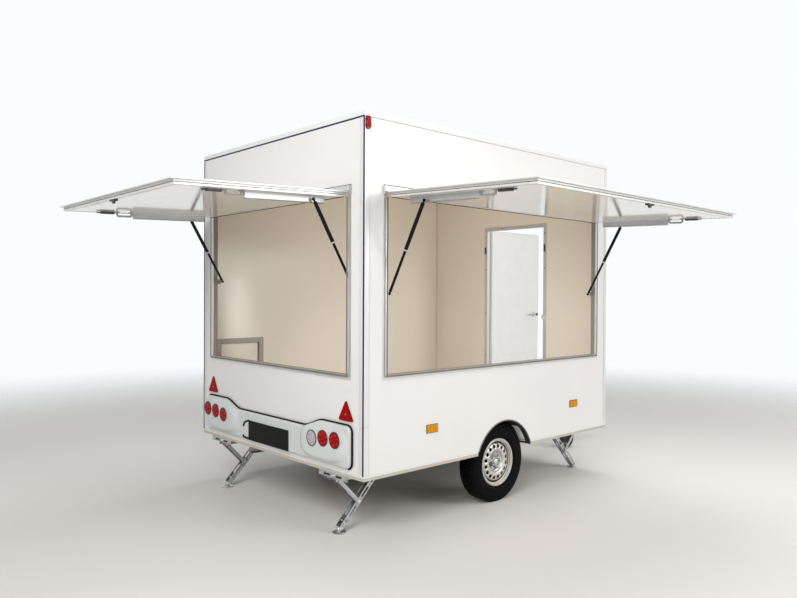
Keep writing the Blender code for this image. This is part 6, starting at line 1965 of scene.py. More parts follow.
    def add_seal(self) -> None:
        """Add the black rubber line over the panel's top and round its ends."""
        path = [self.at(u, v, -self.seal_depth) for u, v in self.edge_points(self.seal_gap)]
        Bead(0.0062, SEAL_RUBBER_AND_SHADE, 10).run("light_panel_seal", "trailer", [path])

    def add_lamps(self) -> None:
        """Add a lens, a bright inner ring and a dark bezel over each round lamp."""
        red, clear, bezels, skirts, rings = (Shape() for _ in range(5))
        dots: list[tuple[Vector, Vector]] = []
        rise = self.lamp_front - self.lamp_base
        for side in SIDES:
            for index, (place, height) in enumerate(self.lamp_places):
                frame = facing(self.at(side * place, height, -self.lamp_base), REARWARD)
                is_clear = side < 0 and index == len(self.lamp_places) - 1
                lens = clear if is_clear else red
                radius = self.lamp_radius - 0.0035
                profile = [(0.0, rise + 0.0032)]
                for step in range(1, self.lens_rings):
                    share = step / self.lens_rings
                    wave = 0.0009 * (step % 2)
                    profile.append((radius * share, rise + 0.0032 - 0.0042 * share ** 2 - wave))
                profile += [(radius, rise - 0.0015), (radius, 0.0), (0.0, 0.0)]
                lens.turned(profile, self.lamp_segments, frame)
                bezels.turned([(radius - 0.0008, rise - 0.004), (self.lamp_radius + 0.0012, rise - 0.004),
                               (self.lamp_radius + 0.0012, rise - 0.0005), (self.lamp_radius, rise + 0.0012),
                               (radius + 0.0006, rise + 0.0012), (radius - 0.0008, rise - 0.0005)],
                              self.lamp_segments, frame)
                skirts.turned([(radius - 0.0008, -0.040), (self.lamp_radius + 0.0085, -0.040),
                               (self.lamp_radius + 0.0032, rise - 0.0055), (self.lamp_radius + 0.0020, rise - 0.0035),
                               (radius - 0.0008, rise - 0.0035)], self.lamp_segments, frame)
                ring = rings if lens is red else clear
                ring.turned([(radius * 0.40, rise + 0.0018), (radius * 0.47, rise + 0.0018),
                             (radius * 0.47, rise + 0.0036), (radius * 0.40, rise + 0.0036)], 36, frame)
                dots += [(frame @ Vector((u, v, rise + 0.0008)), REARWARD)
                         for u, v in circle(radius * 0.68, self.optics, 1 / 3)]
        red.piece("lamp_lenses_red", "trailer", "red_lens", RED_LENS)
        clear.piece("lamp_lens_clear", "trailer", "pale_plastic", CLEAR_LENS)
        bezels.piece("lamp_bezels", "trailer", "black_plastic", BLACK_PLASTIC)
        skirts.piece("lamp_skirts", "trailer", "pale_plastic", PANEL_PLASTIC)
        rings.piece("lamp_inner_rings", "trailer", "red_lens", RED_LENS)
        # Pale pink domes on each lens: painted glints.
        glint = Finish("lamp_optics", paint(214, 70, 62), 0.12, mottle=0.2)
        Fastener(Head.DOME, 0.0046, 0.0022, glint).fix("lamp_optics", "trailer", dots)

    def add_plate_carrier(self) -> None:
        """Add the black carrier behind the plate, its frame, and dark lines at its left end that are painted shadow of
        the plate holder.
        """
        front = -self.thickness - 0.0022
        low, high = self.plate_low - self.plate_margin, self.plate_high
        half = self.plate_half + self.plate_margin
        carrier = Shape()
        back = self.wall @ Matrix.Translation((self.middle, self.datum.floor, 0.0))
        carrier.block((-half, low, front), (half, high, 0.001 - self.thickness), back, 0.0008)
        carrier.piece("plate_carrier", "trailer", "black_plastic", PLATE_BLACK)
        corners = ((-half, low), (half, low), (half, high), (-half, high))
        Bead(0.0034, BLACK_PLASTIC, 8).run("plate_frame", "trailer",
                                           [[self.at(u, v, front) for u, v in corners]], closed=True)
        # Dark rubber lines at the plate's left end: painted shadow of the plate holder.
        shadow_marks = [[self.at(half + reach, up, front + 0.001) for reach, up in hook]
                 for hook in (((0.078, high - 0.049), (0.062, high - 0.022), (0.036, high - 0.010), (0.0, high)),
                              ((0.085, low + 0.020), (0.068, low + 0.010), (0.040, low + 0.006), (0.0, low + 0.008)))]
        Bead(0.0075, SEAL_RUBBER_AND_SHADE, 10).run("plate_hooks", "trailer", shadow_marks)
        places = [(self.at(side * (self.plate_half - 0.05), (self.plate_low + self.plate_high) / 2 - 0.009,
                           -self.thickness - 0.0033), REARWARD) for side in SIDES]
        Fastener(Head.DOME, 0.005, 0.002, BLACK_PLASTIC).fix("plate_buttons", "trailer", places)

    def add_triangle_rims(self) -> None:
        """Add a raised rim and a rivet to each triangle."""
        rims = []
        rivets = []
        for name in ("triangle_reflector_right", "triangle_reflector_left"):
            low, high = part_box(name)
            inset = 0.012
            middle, foot = (low.y + high.y) / 2, low.z + inset * 0.6
            rims.append([Vector((low.x, y, z)) for y, z in ((low.y + inset, foot), (high.y - inset, foot),
                                                            (middle, high.z - inset * 1.3))])
            rivets.append((Vector((low.x, middle, low.z + (high.z - low.z) / 3)), REARWARD))
        Bead(0.0016, RED_REFLECTOR, 8).run("triangle_rims", "trailer", rims, closed=True)
        Fastener(Head.DOME, 0.004, 0.0022).fix("triangle_rivets", "trailer", rivets)

    def add_panel_screws(self) -> None:
        """Add the panel's screws below each pod and beside the plate."""
        places = [(self.at(side * across, up, -self.thickness), REARWARD)
                  for side in SIDES for across, up in self.screw_places]
        Fastener(Head.PAN, 0.005, 0.0025).fix("light_panel_screws", "trailer", places)


@dataclass
class SideMarkers:
    """Amber side markers and the outline lamps near the roof."""

    datum: Datum
    length: float = 0.100
    height: float = 0.050
    level: float = 0.258
    from_rear: float = 0.600
    from_front: float = 0.500
    lamp_level: float = 2.220
    lamp_radius: float = 0.015
    lamp_length: float = 0.080
    lamp_depth: float = 0.014
    lamp_from_rear: float = 0.023
    cover_gap: float = 0.0008
    base_rim: float = 0.003
    lens_front: float = 0.0072

    def build(self) -> None:
        """Add the marker covers and outline lamps."""
        lenses, bases = Shape(), Shape()
        for wall in (Wall.RIGHT, Wall.LEFT):
            frame = self.datum.wall(wall)
            for along in (self.from_rear, self.datum.front - self.datum.rear - self.from_front):
                centre_v = self.datum.floor + self.level
                half_u, half_v = self.length / 2 + self.cover_gap, self.height / 2 + self.cover_gap
                wide, tall = half_u + self.base_rim, half_v + self.base_rim
                bases.block((along - wide, centre_v - tall, -0.0017), (along + wide, centre_v + tall, 0.0018), frame,
                            0.001)
                lenses.block((along - half_u, centre_v - half_v, -self.lens_front),
                             (along + half_u, centre_v + half_v, 0.001), frame, 0.0022)
        lenses.piece("marker_lenses", "trailer", "red_lens", AMBER_LENS)
        bases.piece("marker_bases", "trailer", "black_plastic", BLACK_PLASTIC)
        self.add_outline_lamps()

    def add_outline_lamps(self) -> None:
        """Add the capsule lamps at the head of the rear corner profiles."""
        red, pale, collars = Shape(), Shape(), Shape()
        half = self.lamp_length / 2 - self.lamp_radius
        height = self.datum.floor + self.lamp_level
        for wall in (Wall.RIGHT, Wall.LEFT):
            frame = self.datum.wall(wall)
            for sign, shape, start in ((1, red, 0), (-1, pale, 180)):
                ring = self.lamp_radius + 0.0009
                outline = arc((self.lamp_from_rear, height + half * sign), ring, start, start + 180, 12)
                outline += [(self.lamp_from_rear - ring * sign, height), (self.lamp_from_rear + ring * sign, height)]
                shape.prism(outline, -self.lamp_depth - 0.001, 0.0005, frame, 0.002)
            ring = self.lamp_radius + 0.003
            outline = arc((self.lamp_from_rear, height + half), ring, 0, 180, 12)
            outline += arc((self.lamp_from_rear, height - half), ring, 180, 360, 12)
            collars.prism(outline, -0.004, 0.0005, frame, 0.001)
        red.piece("outline_lamps_red", "trailer", "red_lens", RED_LENS)
        pale.piece("outline_lamps_lower", "trailer", "red_lens", RED_REFLECTOR)
        collars.piece("outline_lamp_collars", "trailer", "black_plastic", BLACK_PLASTIC)


@dataclass
class RoadWheel:
    """A road wheel: steel rim with round vents, bolts, cap, and a tyre with tread."""

    frame: dict
    side: str
    tyre_radius: float = 0.295
    half_width: float = 0.0825
    flange: float = 0.180
    seat: float = 0.166
    well: float = 0.142
    rim_half: float = 0.064
    vents: int = 16
    vent_radius: float = 0.0142
    vent_circle: float = 0.1190
    disc_level: float = 0.030
    disc_thickness: float = 0.005
    disc_profile: tuple[Flat, ...] = ((0.028, 0.0300), (0.066, 0.0300), (0.073, 0.0350), (0.083, 0.0480),
                                      (0.094, 0.0520), (0.108, 0.0515), (0.128, 0.0485), (0.1380, 0.0440),
                                      (0.1480, 0.0270))
    bolts: int = 5
    bolt_circle: float = 0.056
    tread_count: int = 76
    tread_rows: tuple[float, ...] = (-0.045, -0.015, 0.015, 0.045)
    block_share: float = 0.86
    block_width: float = 0.026
    block_depth: float = 0.0105
    segments: int = 96

    def __post_init__(self) -> None:
        """Work out the wheel's frame, whose third axis looks outwards."""
        joint = Joint.named(self.frame, f"wheel_{self.side}_spin")
        self.outward = sideways(-1.0 if self.side == "right" else 1.0)
        self.place = framed(UP.cross(self.outward), UP, self.outward, joint.place)
        self.body = f"wheel_{self.side}"

    def build(self) -> None:
        """Build the tyre, the rim and its bolts."""
        self.add_tyre()
        self.add_tread()
        self.add_rim()
        self.add_disc()
        self.add_bolts()
        self.add_valve()

    def tyre_side(self) -> list[Flat]:
        """Return the tyre's section from the bead to the crown's middle, on the outer side.

        Returns:
            Points of radius and height.
        """
        crown = self.tyre_radius - 0.0085
        groove = 0.004
        return [(self.seat + 0.0005, self.rim_half - 0.0075), (self.seat + 0.004, self.rim_half - 0.0055),
                (self.flange + 0.0015, self.rim_half - 0.0050), (self.flange + 0.006, self.rim_half + 0.0040),
                (self.flange + 0.012, self.half_width - 0.0075), (self.flange + 0.026, self.half_width - 0.0018),
                (self.flange + 0.040, self.half_width), (self.flange + 0.044, self.half_width - 0.0012),
                (self.flange + 0.048, self.half_width - 0.0002), (self.flange + 0.072, self.half_width - 0.0040),
                (self.flange + 0.088, self.half_width - 0.0100), (crown - 0.016, self.half_width - 0.0105),
                (crown - 0.006, self.half_width - 0.0165), (crown - 0.0005, self.half_width - 0.026),
                (crown, 0.034), (crown, 0.032), (crown - groove, 0.0315), (crown - groove, 0.0285), (crown, 0.028),
                (crown, 0.003), (crown - groove, 0.0025)]

    def add_tyre(self) -> None:
        """Add the tyre's carcass with its circumferential grooves."""
        side = self.tyre_side()
        profile = side + [(radius, -height) for radius, height in reversed(side)]
        shape = Shape()
        shape.turned(profile, self.segments, self.place)
        shape.piece(f"tyre_carcass_{self.side}", self.body, "tyre_rubber", TYRE_RUBBER, (f"tyre_{self.side}",), 50.0)

    def add_tread(self) -> None:
        """Add the tread blocks: rings of blocks, one ring to a row, each turned by half a pitch."""
        tree = Tree("tread_blocks")
        count = tree.size("Blocks round", self.tread_count, whole=True)
        radius = tree.size("Tread radius", self.tyre_radius)
        long = tree.size("Block length", 0.02)
        wide = tree.size("Block width", self.block_width)
        deep = tree.size("Block depth", self.block_depth)
        ring = tree.out("GeometryNodeMeshCircle", {"Vertices": count, "Radius": radius})
        size = tree.out("ShaderNodeCombineXYZ", {0: long, 1: wide, 2: deep})
        block = tree.out("GeometryNodeMeshCube", {"Size": size})
        shift = tree.out("ShaderNodeCombineXYZ", {2: tree.maths("MULTIPLY", deep, -0.5)})
        sunk = tree.out("GeometryNodeTransform", {"Geometry": block, "Translation": shift})
        where = tree.out("GeometryNodeInputPosition")
        outward = tree.out("FunctionNodeAlignRotationToVector", {"Vector": where}, axis="Z")
        rolled = tree.out("FunctionNodeAlignRotationToVector", {"Rotation": outward, "Vector": (0.0, 0.0, 1.0)},
                          axis="Y", pivot_axis="Z")
        blocks = tree.out("GeometryNodeInstanceOnPoints", {"Points": ring, "Instance": sunk, "Rotation": rolled})
        offset = tree.maths("MULTIPLY", tree.out("GeometryNodeInputIndex"), tree.maths("DIVIDE", math.pi, count))
        spin = tree.out("ShaderNodeCombineXYZ", {2: offset})
        rows = tree.out("GeometryNodeInstanceOnPoints", {"Points": tree.entry.outputs[0], "Instance": blocks,
                                                         "Rotation": spin})
        tree.close(rows, TYRE_RUBBER)
        source = bpy.data.meshes.new("tread_rows")
        source.from_pydata([(0.0, 0.0, row_place) for row_place in self.tread_rows], [], [])
        pitch_length = 2 * math.pi * self.tyre_radius / self.tread_count
        made = tree.grow(source, {"Blocks round": self.tread_count, "Tread radius": self.tyre_radius - 0.0002,
                                  "Block length": pitch_length * self.block_share,
                                  "Block width": self.block_width, "Block depth": self.block_depth})
        made.transform(self.place)
        add_piece(f"tyre_tread_{self.side}", made, self.body)

    def add_rim(self) -> None:
        """Add the rim's barrel with its rolled flanges, and the drum and hub behind the disc; the dark ring at the
        disc's edge is painted shadow in the groove there, and the drum's dark grey is partly its own colour and partly
        painted shade seen through the vents.
        """
        half, wall = self.rim_half, 0.0035
        lip = [(self.seat - wall, -half + 0.002), (self.flange - 0.006, -half), (self.flange, -half + 0.003),
               (self.flange - 0.001, -half + 0.006), (self.flange - 0.006, -half + 0.0055),
               (self.seat, -half + 0.010), (self.seat - 0.001, -half * 0.62), (self.well, -half * 0.45),
               (self.well, half * 0.40), (self.seat - 0.001, half * 0.62), (self.seat, half - 0.010),
               (self.flange - 0.006, half - 0.0055), (self.flange - 0.001, half - 0.006),
               (self.flange, half - 0.003), (self.flange - 0.004, half), (self.seat + 0.001, half - 0.0005),
               (self.seat - 0.0005, half - 0.002), (self.seat - 0.0005, half - 0.007),
               (self.seat - 0.007, half - 0.0085), (self.seat - 0.007, half - 0.0195),
               (self.seat - 0.011, half - 0.0225), (self.seat - 0.0145, half - 0.0275),
               (self.well - wall, half * 0.43), (self.well - wall, -half * 0.43),
               (self.seat - wall - 0.003, -half * 0.64)]
        shape = Shape()
        shape.turned(lip, self.segments, self.place)
        shape.piece(f"rim_barrel_{self.side}", self.body, "silver_paint", RIM_PAINT, (f"rim_{self.side}",), 40.0)
        shape = Shape()
        drum = self.disc_level - 0.0055
        # Dark ring at the disc's edge: painted shadow in the groove between disc and barrel.
        shape.turned([(0.1425, 0.0290), (0.1540, 0.0370), (0.1530, 0.0408), (0.1500, 0.0378), (0.1425, 0.0318)],
                     self.segments, self.place)
        shape.turned([(0.0, drum + 0.001), (0.058, drum + 0.001), (0.060, drum - 0.010), (0.124, drum - 0.012),
                      (0.128, drum - 0.016), (0.128, drum - 0.034), (0.124, drum - 0.036), (0.124, drum - 0.044),
                      (0.1275, drum - 0.046), (0.1275, drum - 0.0535), (0.018, drum - 0.0535),
                      (0.018, drum - 0.004), (0.0, drum - 0.004)], 64, self.place)
        shape.piece(f"brake_drum_{self.side}", self.body, "black_paint", DRUM_AND_SHADE_GREY, (), 40.0)

    def disc_height(self, radius: float) -> float:
        """Return how far out the disc's face lies at a radius.

        Args:
            radius: The radius.

        Returns:
            The height along the axle.
        """
        points = self.disc_profile
        for (inner, low), (outer, high) in zip(points, points[1:]):
            if radius <= outer:
                return low + (high - low) * eased(clamped((radius - inner) / (outer - inner)))
        return points[-1][1]

    def add_disc(self) -> None:
        """Add the pressed disc with its ring of round vents."""
        mesh = bmesh.new()
        cells: dict[tuple[int, int], BMVert] = {}

        def corner(radius: float, angle: float) -> BMVert:
            """Return the vertex at a radius and an angle, made once."""
            key = (round(radius * 1e6), round((angle % (2 * math.pi)) * 1e5) % round(2 * math.pi * 1e5))
            if key not in cells:
                cells[key] = mesh.verts.new((radius * math.cos(angle), radius * math.sin(angle),
                                             self.disc_height(radius)))
            return cells[key]

        per_vent = 6
        columns = self.vents * per_vent
        step = 2 * math.pi / columns
        reach = self.vent_radius + 0.0055
        inner_edge, outer_edge = self.vent_circle - reach, self.vent_circle + reach
        bands = ([0.0285, 0.045, 0.062, 0.066, 0.0695, 0.073, 0.0765, 0.080, 0.0835, 0.087, inner_edge],
                 [outer_edge, 0.1420, 0.1455, 0.1480])
        for radii in bands:
            for low, high in zip(radii, radii[1:]):
                for i in range(columns):
                    mesh.faces.new((corner(low, i * step), corner(high, i * step), corner(high, (i + 1) * step),
                                    corner(low, (i + 1) * step)))
        for vent in range(self.vents):
            self.add_vent(mesh, corner, vent, per_vent, inner_edge, outer_edge, step)
        bmesh.ops.recalc_face_normals(mesh, faces=mesh.faces)
        if sum(face.normal.z for face in mesh.faces) < 0:
            bmesh.ops.reverse_faces(mesh, faces=mesh.faces)
        data = bpy.data.meshes.new("disc")
        mesh.to_mesh(data)
        mesh.free()
        holder = held(data)
        walls = holder.modifiers.new("thickness", "SOLIDIFY")
        walls.thickness = self.disc_thickness
        walls.offset = -1.0
        made = evaluated(holder, walls)
        made.transform(self.place)
        made.shade_smooth()
        made.set_sharp_from_angle(angle=math.radians(38))
        made.materials.clear()
        made.materials.append(RIM_PAINT.material())
        add_piece(f"rim_disc_{self.side}", made, self.body)

    def add_vent(self, mesh: bmesh.types.BMesh, corner: Callable[[float, float], BMVert], vent: int,
                 per_vent: int, inner_edge: float, outer_edge: float, step: float) -> None:
        """Add the patch of disc round one vent.

        Args:
            mesh: The disc's mesh.
            corner: Call that returns the vertex at a radius and angle.
            vent: The vent's number.
            per_vent: Steps along the patch's inner and outer sides.
            inner_edge: Radius of the patch's inner side.
            outer_edge: Radius of its outer side.
            step: Angle of one step.
        """
        start = vent * per_vent * step
        middle = start + per_vent * step / 2
        rim = [(inner_edge, start + i * step) for i in range(per_vent)]
        sides = 4
        rise = (outer_edge - inner_edge) / sides
        rim += [(inner_edge + i * rise, start + per_vent * step) for i in range(sides)]
        rim += [(outer_edge, start + (per_vent - i) * step) for i in range(per_vent)]
        rim += [(outer_edge - i * rise, start) for i in range(sides)]
        centre = Vector((self.vent_circle * math.cos(middle), self.vent_circle * math.sin(middle)))
        outer = [corner(radius, angle) for radius, angle in rim]
        rows = [outer]
        for share in (0.45, 0.8, 1.0):
            row = []
            for vertex in outer:
                way = Vector((vertex.co.x, vertex.co.y)) - centre
                edge = way.normalized() * self.vent_radius
                flat = centre + way.lerp(edge, share)
                sunk = 0.0025 * max(0.0, share - 0.5) * 2
                row.append(mesh.verts.new((flat.x, flat.y, self.disc_height(flat.length) - sunk)))
            rows.append(row)
        for row, after in zip(rows, rows[1:]):
            for i, vertex in enumerate(row):
                j = (i + 1) % len(row)
                mesh.faces.new((vertex, row[j], after[j], after[i]))

    def add_bolts(self) -> None:
        """Add the five wheel bolts and the dust cap."""
        level = self.disc_level + 0.0012
        places = [(self.place @ Vector((u, v, level)), self.outward)
                  for u, v in circle(self.bolt_circle, self.bolts, 0.25)]
        Fastener(Head.HEX, 0.0105, 0.013).fix(f"wheel_bolts_{self.side}", self.body, places)
        shape = Shape()
        shape.turned([(0.0, 0.0540), (0.016, 0.0535), (0.0215, 0.0510), (0.0245, 0.0455), (0.0255, 0.0345),
                      (0.0310, 0.0335), (0.0310, 0.0300), (0.0, 0.0300)], 40, self.place)
        shape.piece(f"hub_cap_{self.side}", self.body, "galvanised_steel", BOLT_ZINC)
        # The hub flange's dark grey zinc is painted shade round the hub.
        flange = Shape()
        flange.turned([(0.0260, self.disc_level - 0.0005), (0.0660, self.disc_level - 0.0005), (0.0655, level),
                       (0.0260, level)], 64, self.place)
        flange.piece(f"hub_flange_{self.side}", self.body, "galvanised_steel", HUB_ZINC_SHADE)

    def add_valve(self) -> None:
        """Add the tyre valve through the disc's edge."""
        shape = Shape()
        foot = self.place @ Vector((0.0, 0.1455, 0.028))
        tip = self.place @ Vector((0.0, 0.1390, 0.060))
        bend = foot.lerp(tip, 0.55)
        shape.rod(foot, bend, 0.0045, 14, 0.0008)
        shape.rod(bend, tip, 0.0033, 12, 0.0008)
        shape.piece(f"valve_{self.side}", self.body, "black_plastic", BLACK_PLASTIC)


@dataclass
class RunningGear:
    """Axle, wheel housings and their edge trim."""

    frame: dict
    datum: Datum
    arch_radius: float = 0.325
    strap_depths: Flat = (0.045, 0.105)
    strap_arc: Flat = (25.0, 52.0)
    strap_thickness: float = 0.003
    back_plate_bolts: int = 6
    back_plate_circle: float = 0.078

    def build(self) -> None:
        """Dress the running gear and add the arch trim."""
        liner = Rubber("housing_liner", paint(34, 34, 35), 0.6, grain=240.0, depth=0.0003)
        dress(self.frame, liner, "mudguard_right", "mudguard_left")
        dress(self.frame, ZINC_STEEL, "axle")
        for side, wall in (("right", Wall.RIGHT), ("left", Wall.LEFT)):
            centre = Joint.named(self.frame, f"wheel_{side}_spin").place
            self.add_arch_trim(side, wall, centre)
            self.add_arch_strap(side, wall, centre)
            self.add_axle_bolts(side, centre)

    def add_arch_trim(self, side: str, wall: Wall, centre: Vector) -> None:
        """Add the moulded edging along a wheel arch.

        Args:
            side: The side's name.
            wall: Its wall.
            centre: The wheel's centre.
        """
        frame = self.datum.wall(wall)
        radius = self.arch_radius + 0.002
        bottom = self.datum.floor + 0.030
        half = math.degrees(math.asin((bottom - centre.z) / radius))
        points = arc((centre.x - self.datum.rear, centre.z), radius, half, 180 - half, 40)
        path = [frame @ Vector((u, v, 0.0005)) for u, v in points]
        edging = Finish("arch_edging", paint(118, 116, 112), 0.5, mottle=0.08)
        Bead(0.0042, edging, 10).run(f"arch_trim_{side}", "trailer", [path])

    def add_arch_strap(self, side: str, wall: Wall, centre: Vector) -> None:
        """Add the galvanised strap that holds the liner at the front of its arch; its near-white finish is painted
        light in the arch's shade.

        Args:
            side: The side's name.
            wall: Its wall.
            centre: The wheel's centre.
        """
        frame = self.datum.wall(wall)
        middle = (centre.x - self.datum.rear, centre.z)
        outer = self.arch_radius - 0.0035
        outline = arc(middle, outer, *self.strap_arc, 10)
        outline += reversed(arc(middle, outer - self.strap_thickness, *self.strap_arc, 10))
        near, far = self.strap_depths
        shape = Shape()
        shape.prism(outline, near, far, frame)
        foot = outline[0]
        shape.block((foot[0] - 0.004, foot[1] - 0.012, near), (foot[0] + 0.022, foot[1] - 0.008, far), frame, 0.0008)
        # Near-white finish on galvanised steel: painted light on the strap in the arch's shade.
        bright = Finish("bright_strap", paint(246, 246, 243), 0.25, 0.0, mottle=0.04, specular=0.9)
        shape.piece(f"arch_strap_{side}", "trailer", "galvanised_steel", bright)

    def add_axle_bolts(self, side: str, centre: Vector) -> None:
        """Add the bolts on the brake's back plate.

        Args:
            side: The side's name.
            centre: The wheel's centre.
        """
        sign = 1.0 if side == "right" else -1.0
        low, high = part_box("axle")
        plate = low.y if side == "right" else high.y
        inner = plate + sign * 0.045
        places = [(Vector((centre.x + u, inner, centre.z + v)), sideways(sign))
                  for u, v in circle(self.back_plate_circle, self.back_plate_bolts, 0.5)]
        Fastener(Head.HEX, 0.006, 0.005).fix(f"back_plate_bolts_{side}", "trailer", places)


@dataclass
class Chassis:
    """Rails, cross members and corner steadies."""

    frame: dict
    datum: Datum
    rail_inset: float = 0.5275
    bolt_places: tuple[float, ...] = (0.30, 0.75, 1.10, 1.75, 2.05)
    bolt_drops: Flat = (0.030, 0.070)
    thread_pitch: float = 0.006
    leg_slope_deg: float = 46.0
    leg_top: float = 0.240
    ankle_height: float = 0.030
    leg_half_width: float = 0.023
    leg_half_depth: float = 0.0185
    leg_wall: float = 0.003
    leg_half_slot: float = 0.0078
    leg_slots: tuple[Flat, ...] = ((0.10, 0.045), (0.20, 0.20), (0.54, 0.20), (0.80, 0.12))
    pivot_half: float = 0.038
    knee_half: float = 0.030
    plate_from_pivot: float = 0.032
    plate_bolt_half: float = 0.115
    plate_bolt_drop: float = 0.017
    spindle_drop: float = 0.0203
    spindle_length: float = 0.520

    def build(self) -> None:
        """Dress the steelwork and add its bolts and threads."""
        dress(self.frame, ZINC_STEEL, "chassis_rail_right", "chassis_rail_left", "rear_cross_member",
              "front_cross_member")
        for corner in CORNERS:
            dress(self.frame, ZINC_STEEL, f"steady_arm_{corner}")
            self.add_leg(corner)
            self.add_steady_bolts(corner)
        self.add_rail_bolts()
        self.add_spindle_threads()

    def inward(self, corner: str) -> float:
        """Return 1 at a rear corner, where the trailer's middle lies ahead, and -1 at a front corner."""
        return 1.0 if "rear" in corner else -1.0

    def add_leg(self, corner: str) -> None:
        """Add a steady's leg: a slotted channel with its nut, ankle and round foot.

        Args:
            corner: Which corner it stands under.
        """
        knee = Joint.named(self.frame, f"steady_{corner}_knee").place
        yaw = 0.0 if "rear" in corner else math.pi
        ankle = knee.z - self.ankle_height
        down = math.radians(self.leg_slope_deg)
        shin = ankle / math.sin(down)
        turn = (Matrix.Translation(knee) @ Matrix.Rotation(yaw, 4, "Z") @ Matrix.Rotation(-down, 4, "Y")
                @ Matrix.Translation((-shin, 0.0, 0.0)))
        length = shin + self.leg_top
        half, deep, wall = self.leg_half_width, self.leg_half_depth, self.leg_wall
        shape = Shape()
        slots = [(place * length, (place + size) * length) for place, size in self.leg_slots]
        for start in (-half, half - wall):
            axes = Matrix(((1, 0, 0, 0), (0, 0, 1, start), (0, 1, 0, 0), (0, 0, 0, 1)))
            shape.slotted(length, deep, wall, slots, self.leg_half_slot, turn @ axes)
        shape.slotted(length - 2 * wall, half - wall, wall, slots, self.leg_half_slot,
                      turn @ Matrix.Translation((wall, 0.0, -deep)))
        # A dark sheet inside the channel: painted shade in the channel.
        shade_sheet = Shape()
        shade_sheet.slotted(length - 4 * wall, half - wall - 0.0002, 0.0008, slots, self.leg_half_slot,
                       turn @ Matrix.Translation((2 * wall, 0.0, wall - deep)))
        shade_sheet.piece(f"steady_lining_{corner}", f"leg_{corner}", "black_paint", DRUM_AND_SHADE_GREY)
        across = sideways(half - 0.001)
        for place, radius in ((0.0, 0.011), (length, 0.010)):
            shape.rod(turn @ (Vector((place, 0, 0)) - across), turn @ (Vector((place, 0, 0)) + across), radius, 20)
        foot = turn.to_translation()
        foot.z = 0.0
        stand = Matrix.Translation(foot)
        shape.turned([(0.0, 0.0), (0.0430, 0.0), (0.0455, 0.0030), (0.0450, 0.0065), (0.0400, 0.0072),
                      (0.0300, 0.0100), (0.0190, 0.0125), (0.0, 0.0125)], 36, stand)
        shape.turned([(0.0, 0.010), (0.0125, 0.012), (0.0170, 0.019), (0.0175, 0.026), (0.0135, 0.034),
                      (0.0, 0.037)], 24, stand)
        shape.piece(f"steady_channel_{corner}", f"leg_{corner}", "galvanised_steel", ZINC_STEEL,
                    (f"steady_leg_{corner}",), 30.0)
        pins = [(turn @ sideways(side * half), sideways(side)) for side in SIDES]
        Fastener(Head.HEX, 0.0085, 0.0035).fix(f"steady_leg_pins_{corner}", f"leg_{corner}", pins)

    def add_rail_bolts(self) -> None:
        """Add bolt heads on the outer web of each rail."""
        places = []
        half = (self.datum.left - self.datum.right) / 2 - self.rail_inset
        for sign in SIDES:
            for along in self.bolt_places:
                for drop in self.bolt_drops:
                    point = Vector((self.datum.rear + along, self.datum.middle + sign * half, self.datum.floor - drop))
                    places.append((point, sideways(sign)))
        Fastener(Head.HEX, 0.0085, 0.007).fix("rail_bolts", "trailer", places)

    def add_steady_bolts(self, corner: str) -> None:
        """Add the pin heads at a steady's pivot and knee, and the bolts of its end plate.

        Args:
            corner: Which corner the steady stands under.
        """
        pivot = Joint.named(self.frame, f"steady_{corner}_swing").place
        knee = Joint.named(self.frame, f"steady_{corner}_knee").place
        inward = self.inward(corner)
        heads = [(pivot + sideways(side * self.pivot_half), sideways(side)) for side in SIDES]
        Fastener(Head.HEX, 0.0095, 0.007).fix(f"steady_pivot_pins_{corner}", "trailer", heads)
        heads = [(knee + sideways(side * self.knee_half), sideways(side)) for side in SIDES]
        Fastener(Head.HEX, 0.0095, 0.007).fix(f"steady_knee_pins_{corner}", f"arm_{corner}",
                                              heads)
        plate_x = pivot.x - inward * self.plate_from_pivot
        level = self.datum.floor - self.plate_bolt_drop
        bolts = [(Vector((plate_x, pivot.y + side * self.plate_bolt_half, level)), Vector((-inward, 0.0, 0.0)))
                 for side in SIDES]
        Fastener(Head.HEX, 0.0085, 0.007).fix(f"steady_plate_bolts_{corner}", "trailer", bolts)
        # Black blocks on the end plate: painted shade in its slots.
        slots = Shape()
        face = sorted((plate_x - inward * 0.0006, plate_x + inward * 0.001))
        for side in SIDES:
            low, high = sorted((pivot.y + side * 0.032, pivot.y + side * 0.092))
            slots.block((face[0], low, self.datum.floor - 0.0235), (face[1], high, self.datum.floor - 0.0115))
        slots.piece(f"steady_plate_slots_{corner}", "trailer", "black_plastic", SEAL_RUBBER_AND_SHADE)

    def add_spindle_threads(self) -> None:
        """Add the screw thread along each steady's spindle."""
        tree = Tree("spindle_thread")
        turns = tree.size("Turns", 80.0)
        radius = tree.size("Thread radius", 0.0064)
        height = tree.size("Thread length", 0.5)
        wire = tree.size("Thread height", 0.0012)
        spiral = tree.out("GeometryNodeCurveSpiral", {"Resolution": 10, "Rotations": turns, "Start Radius": radius,
                                                      "End Radius": radius, "Height": height})
        ring = tree.out("GeometryNodeCurvePrimitiveCircle", {"Resolution": 4, "Radius": wire})
        thread = tree.out("GeometryNodeCurveToMesh", {"Curve": spiral, "Profile Curve": ring, "Fill Caps": True})
        tree.close(tree.spread(thread), BOLT_ZINC)
        points, ways = [], []
        for corner in CORNERS:
            pivot = Joint.named(self.frame, f"steady_{corner}_swing").place
            inward = self.inward(corner)
            points.append((pivot.x - inward * 0.022, pivot.y, self.datum.floor - self.spindle_drop))
            ways.append((inward, 0.0, 0.0))
        source = pointed("spindles", points, ways)
        made = tree.grow(source, {"Turns": self.spindle_length / self.thread_pitch,
                                  "Thread length": self.spindle_length})
        add_piece("spindle_threads", made, "trailer")


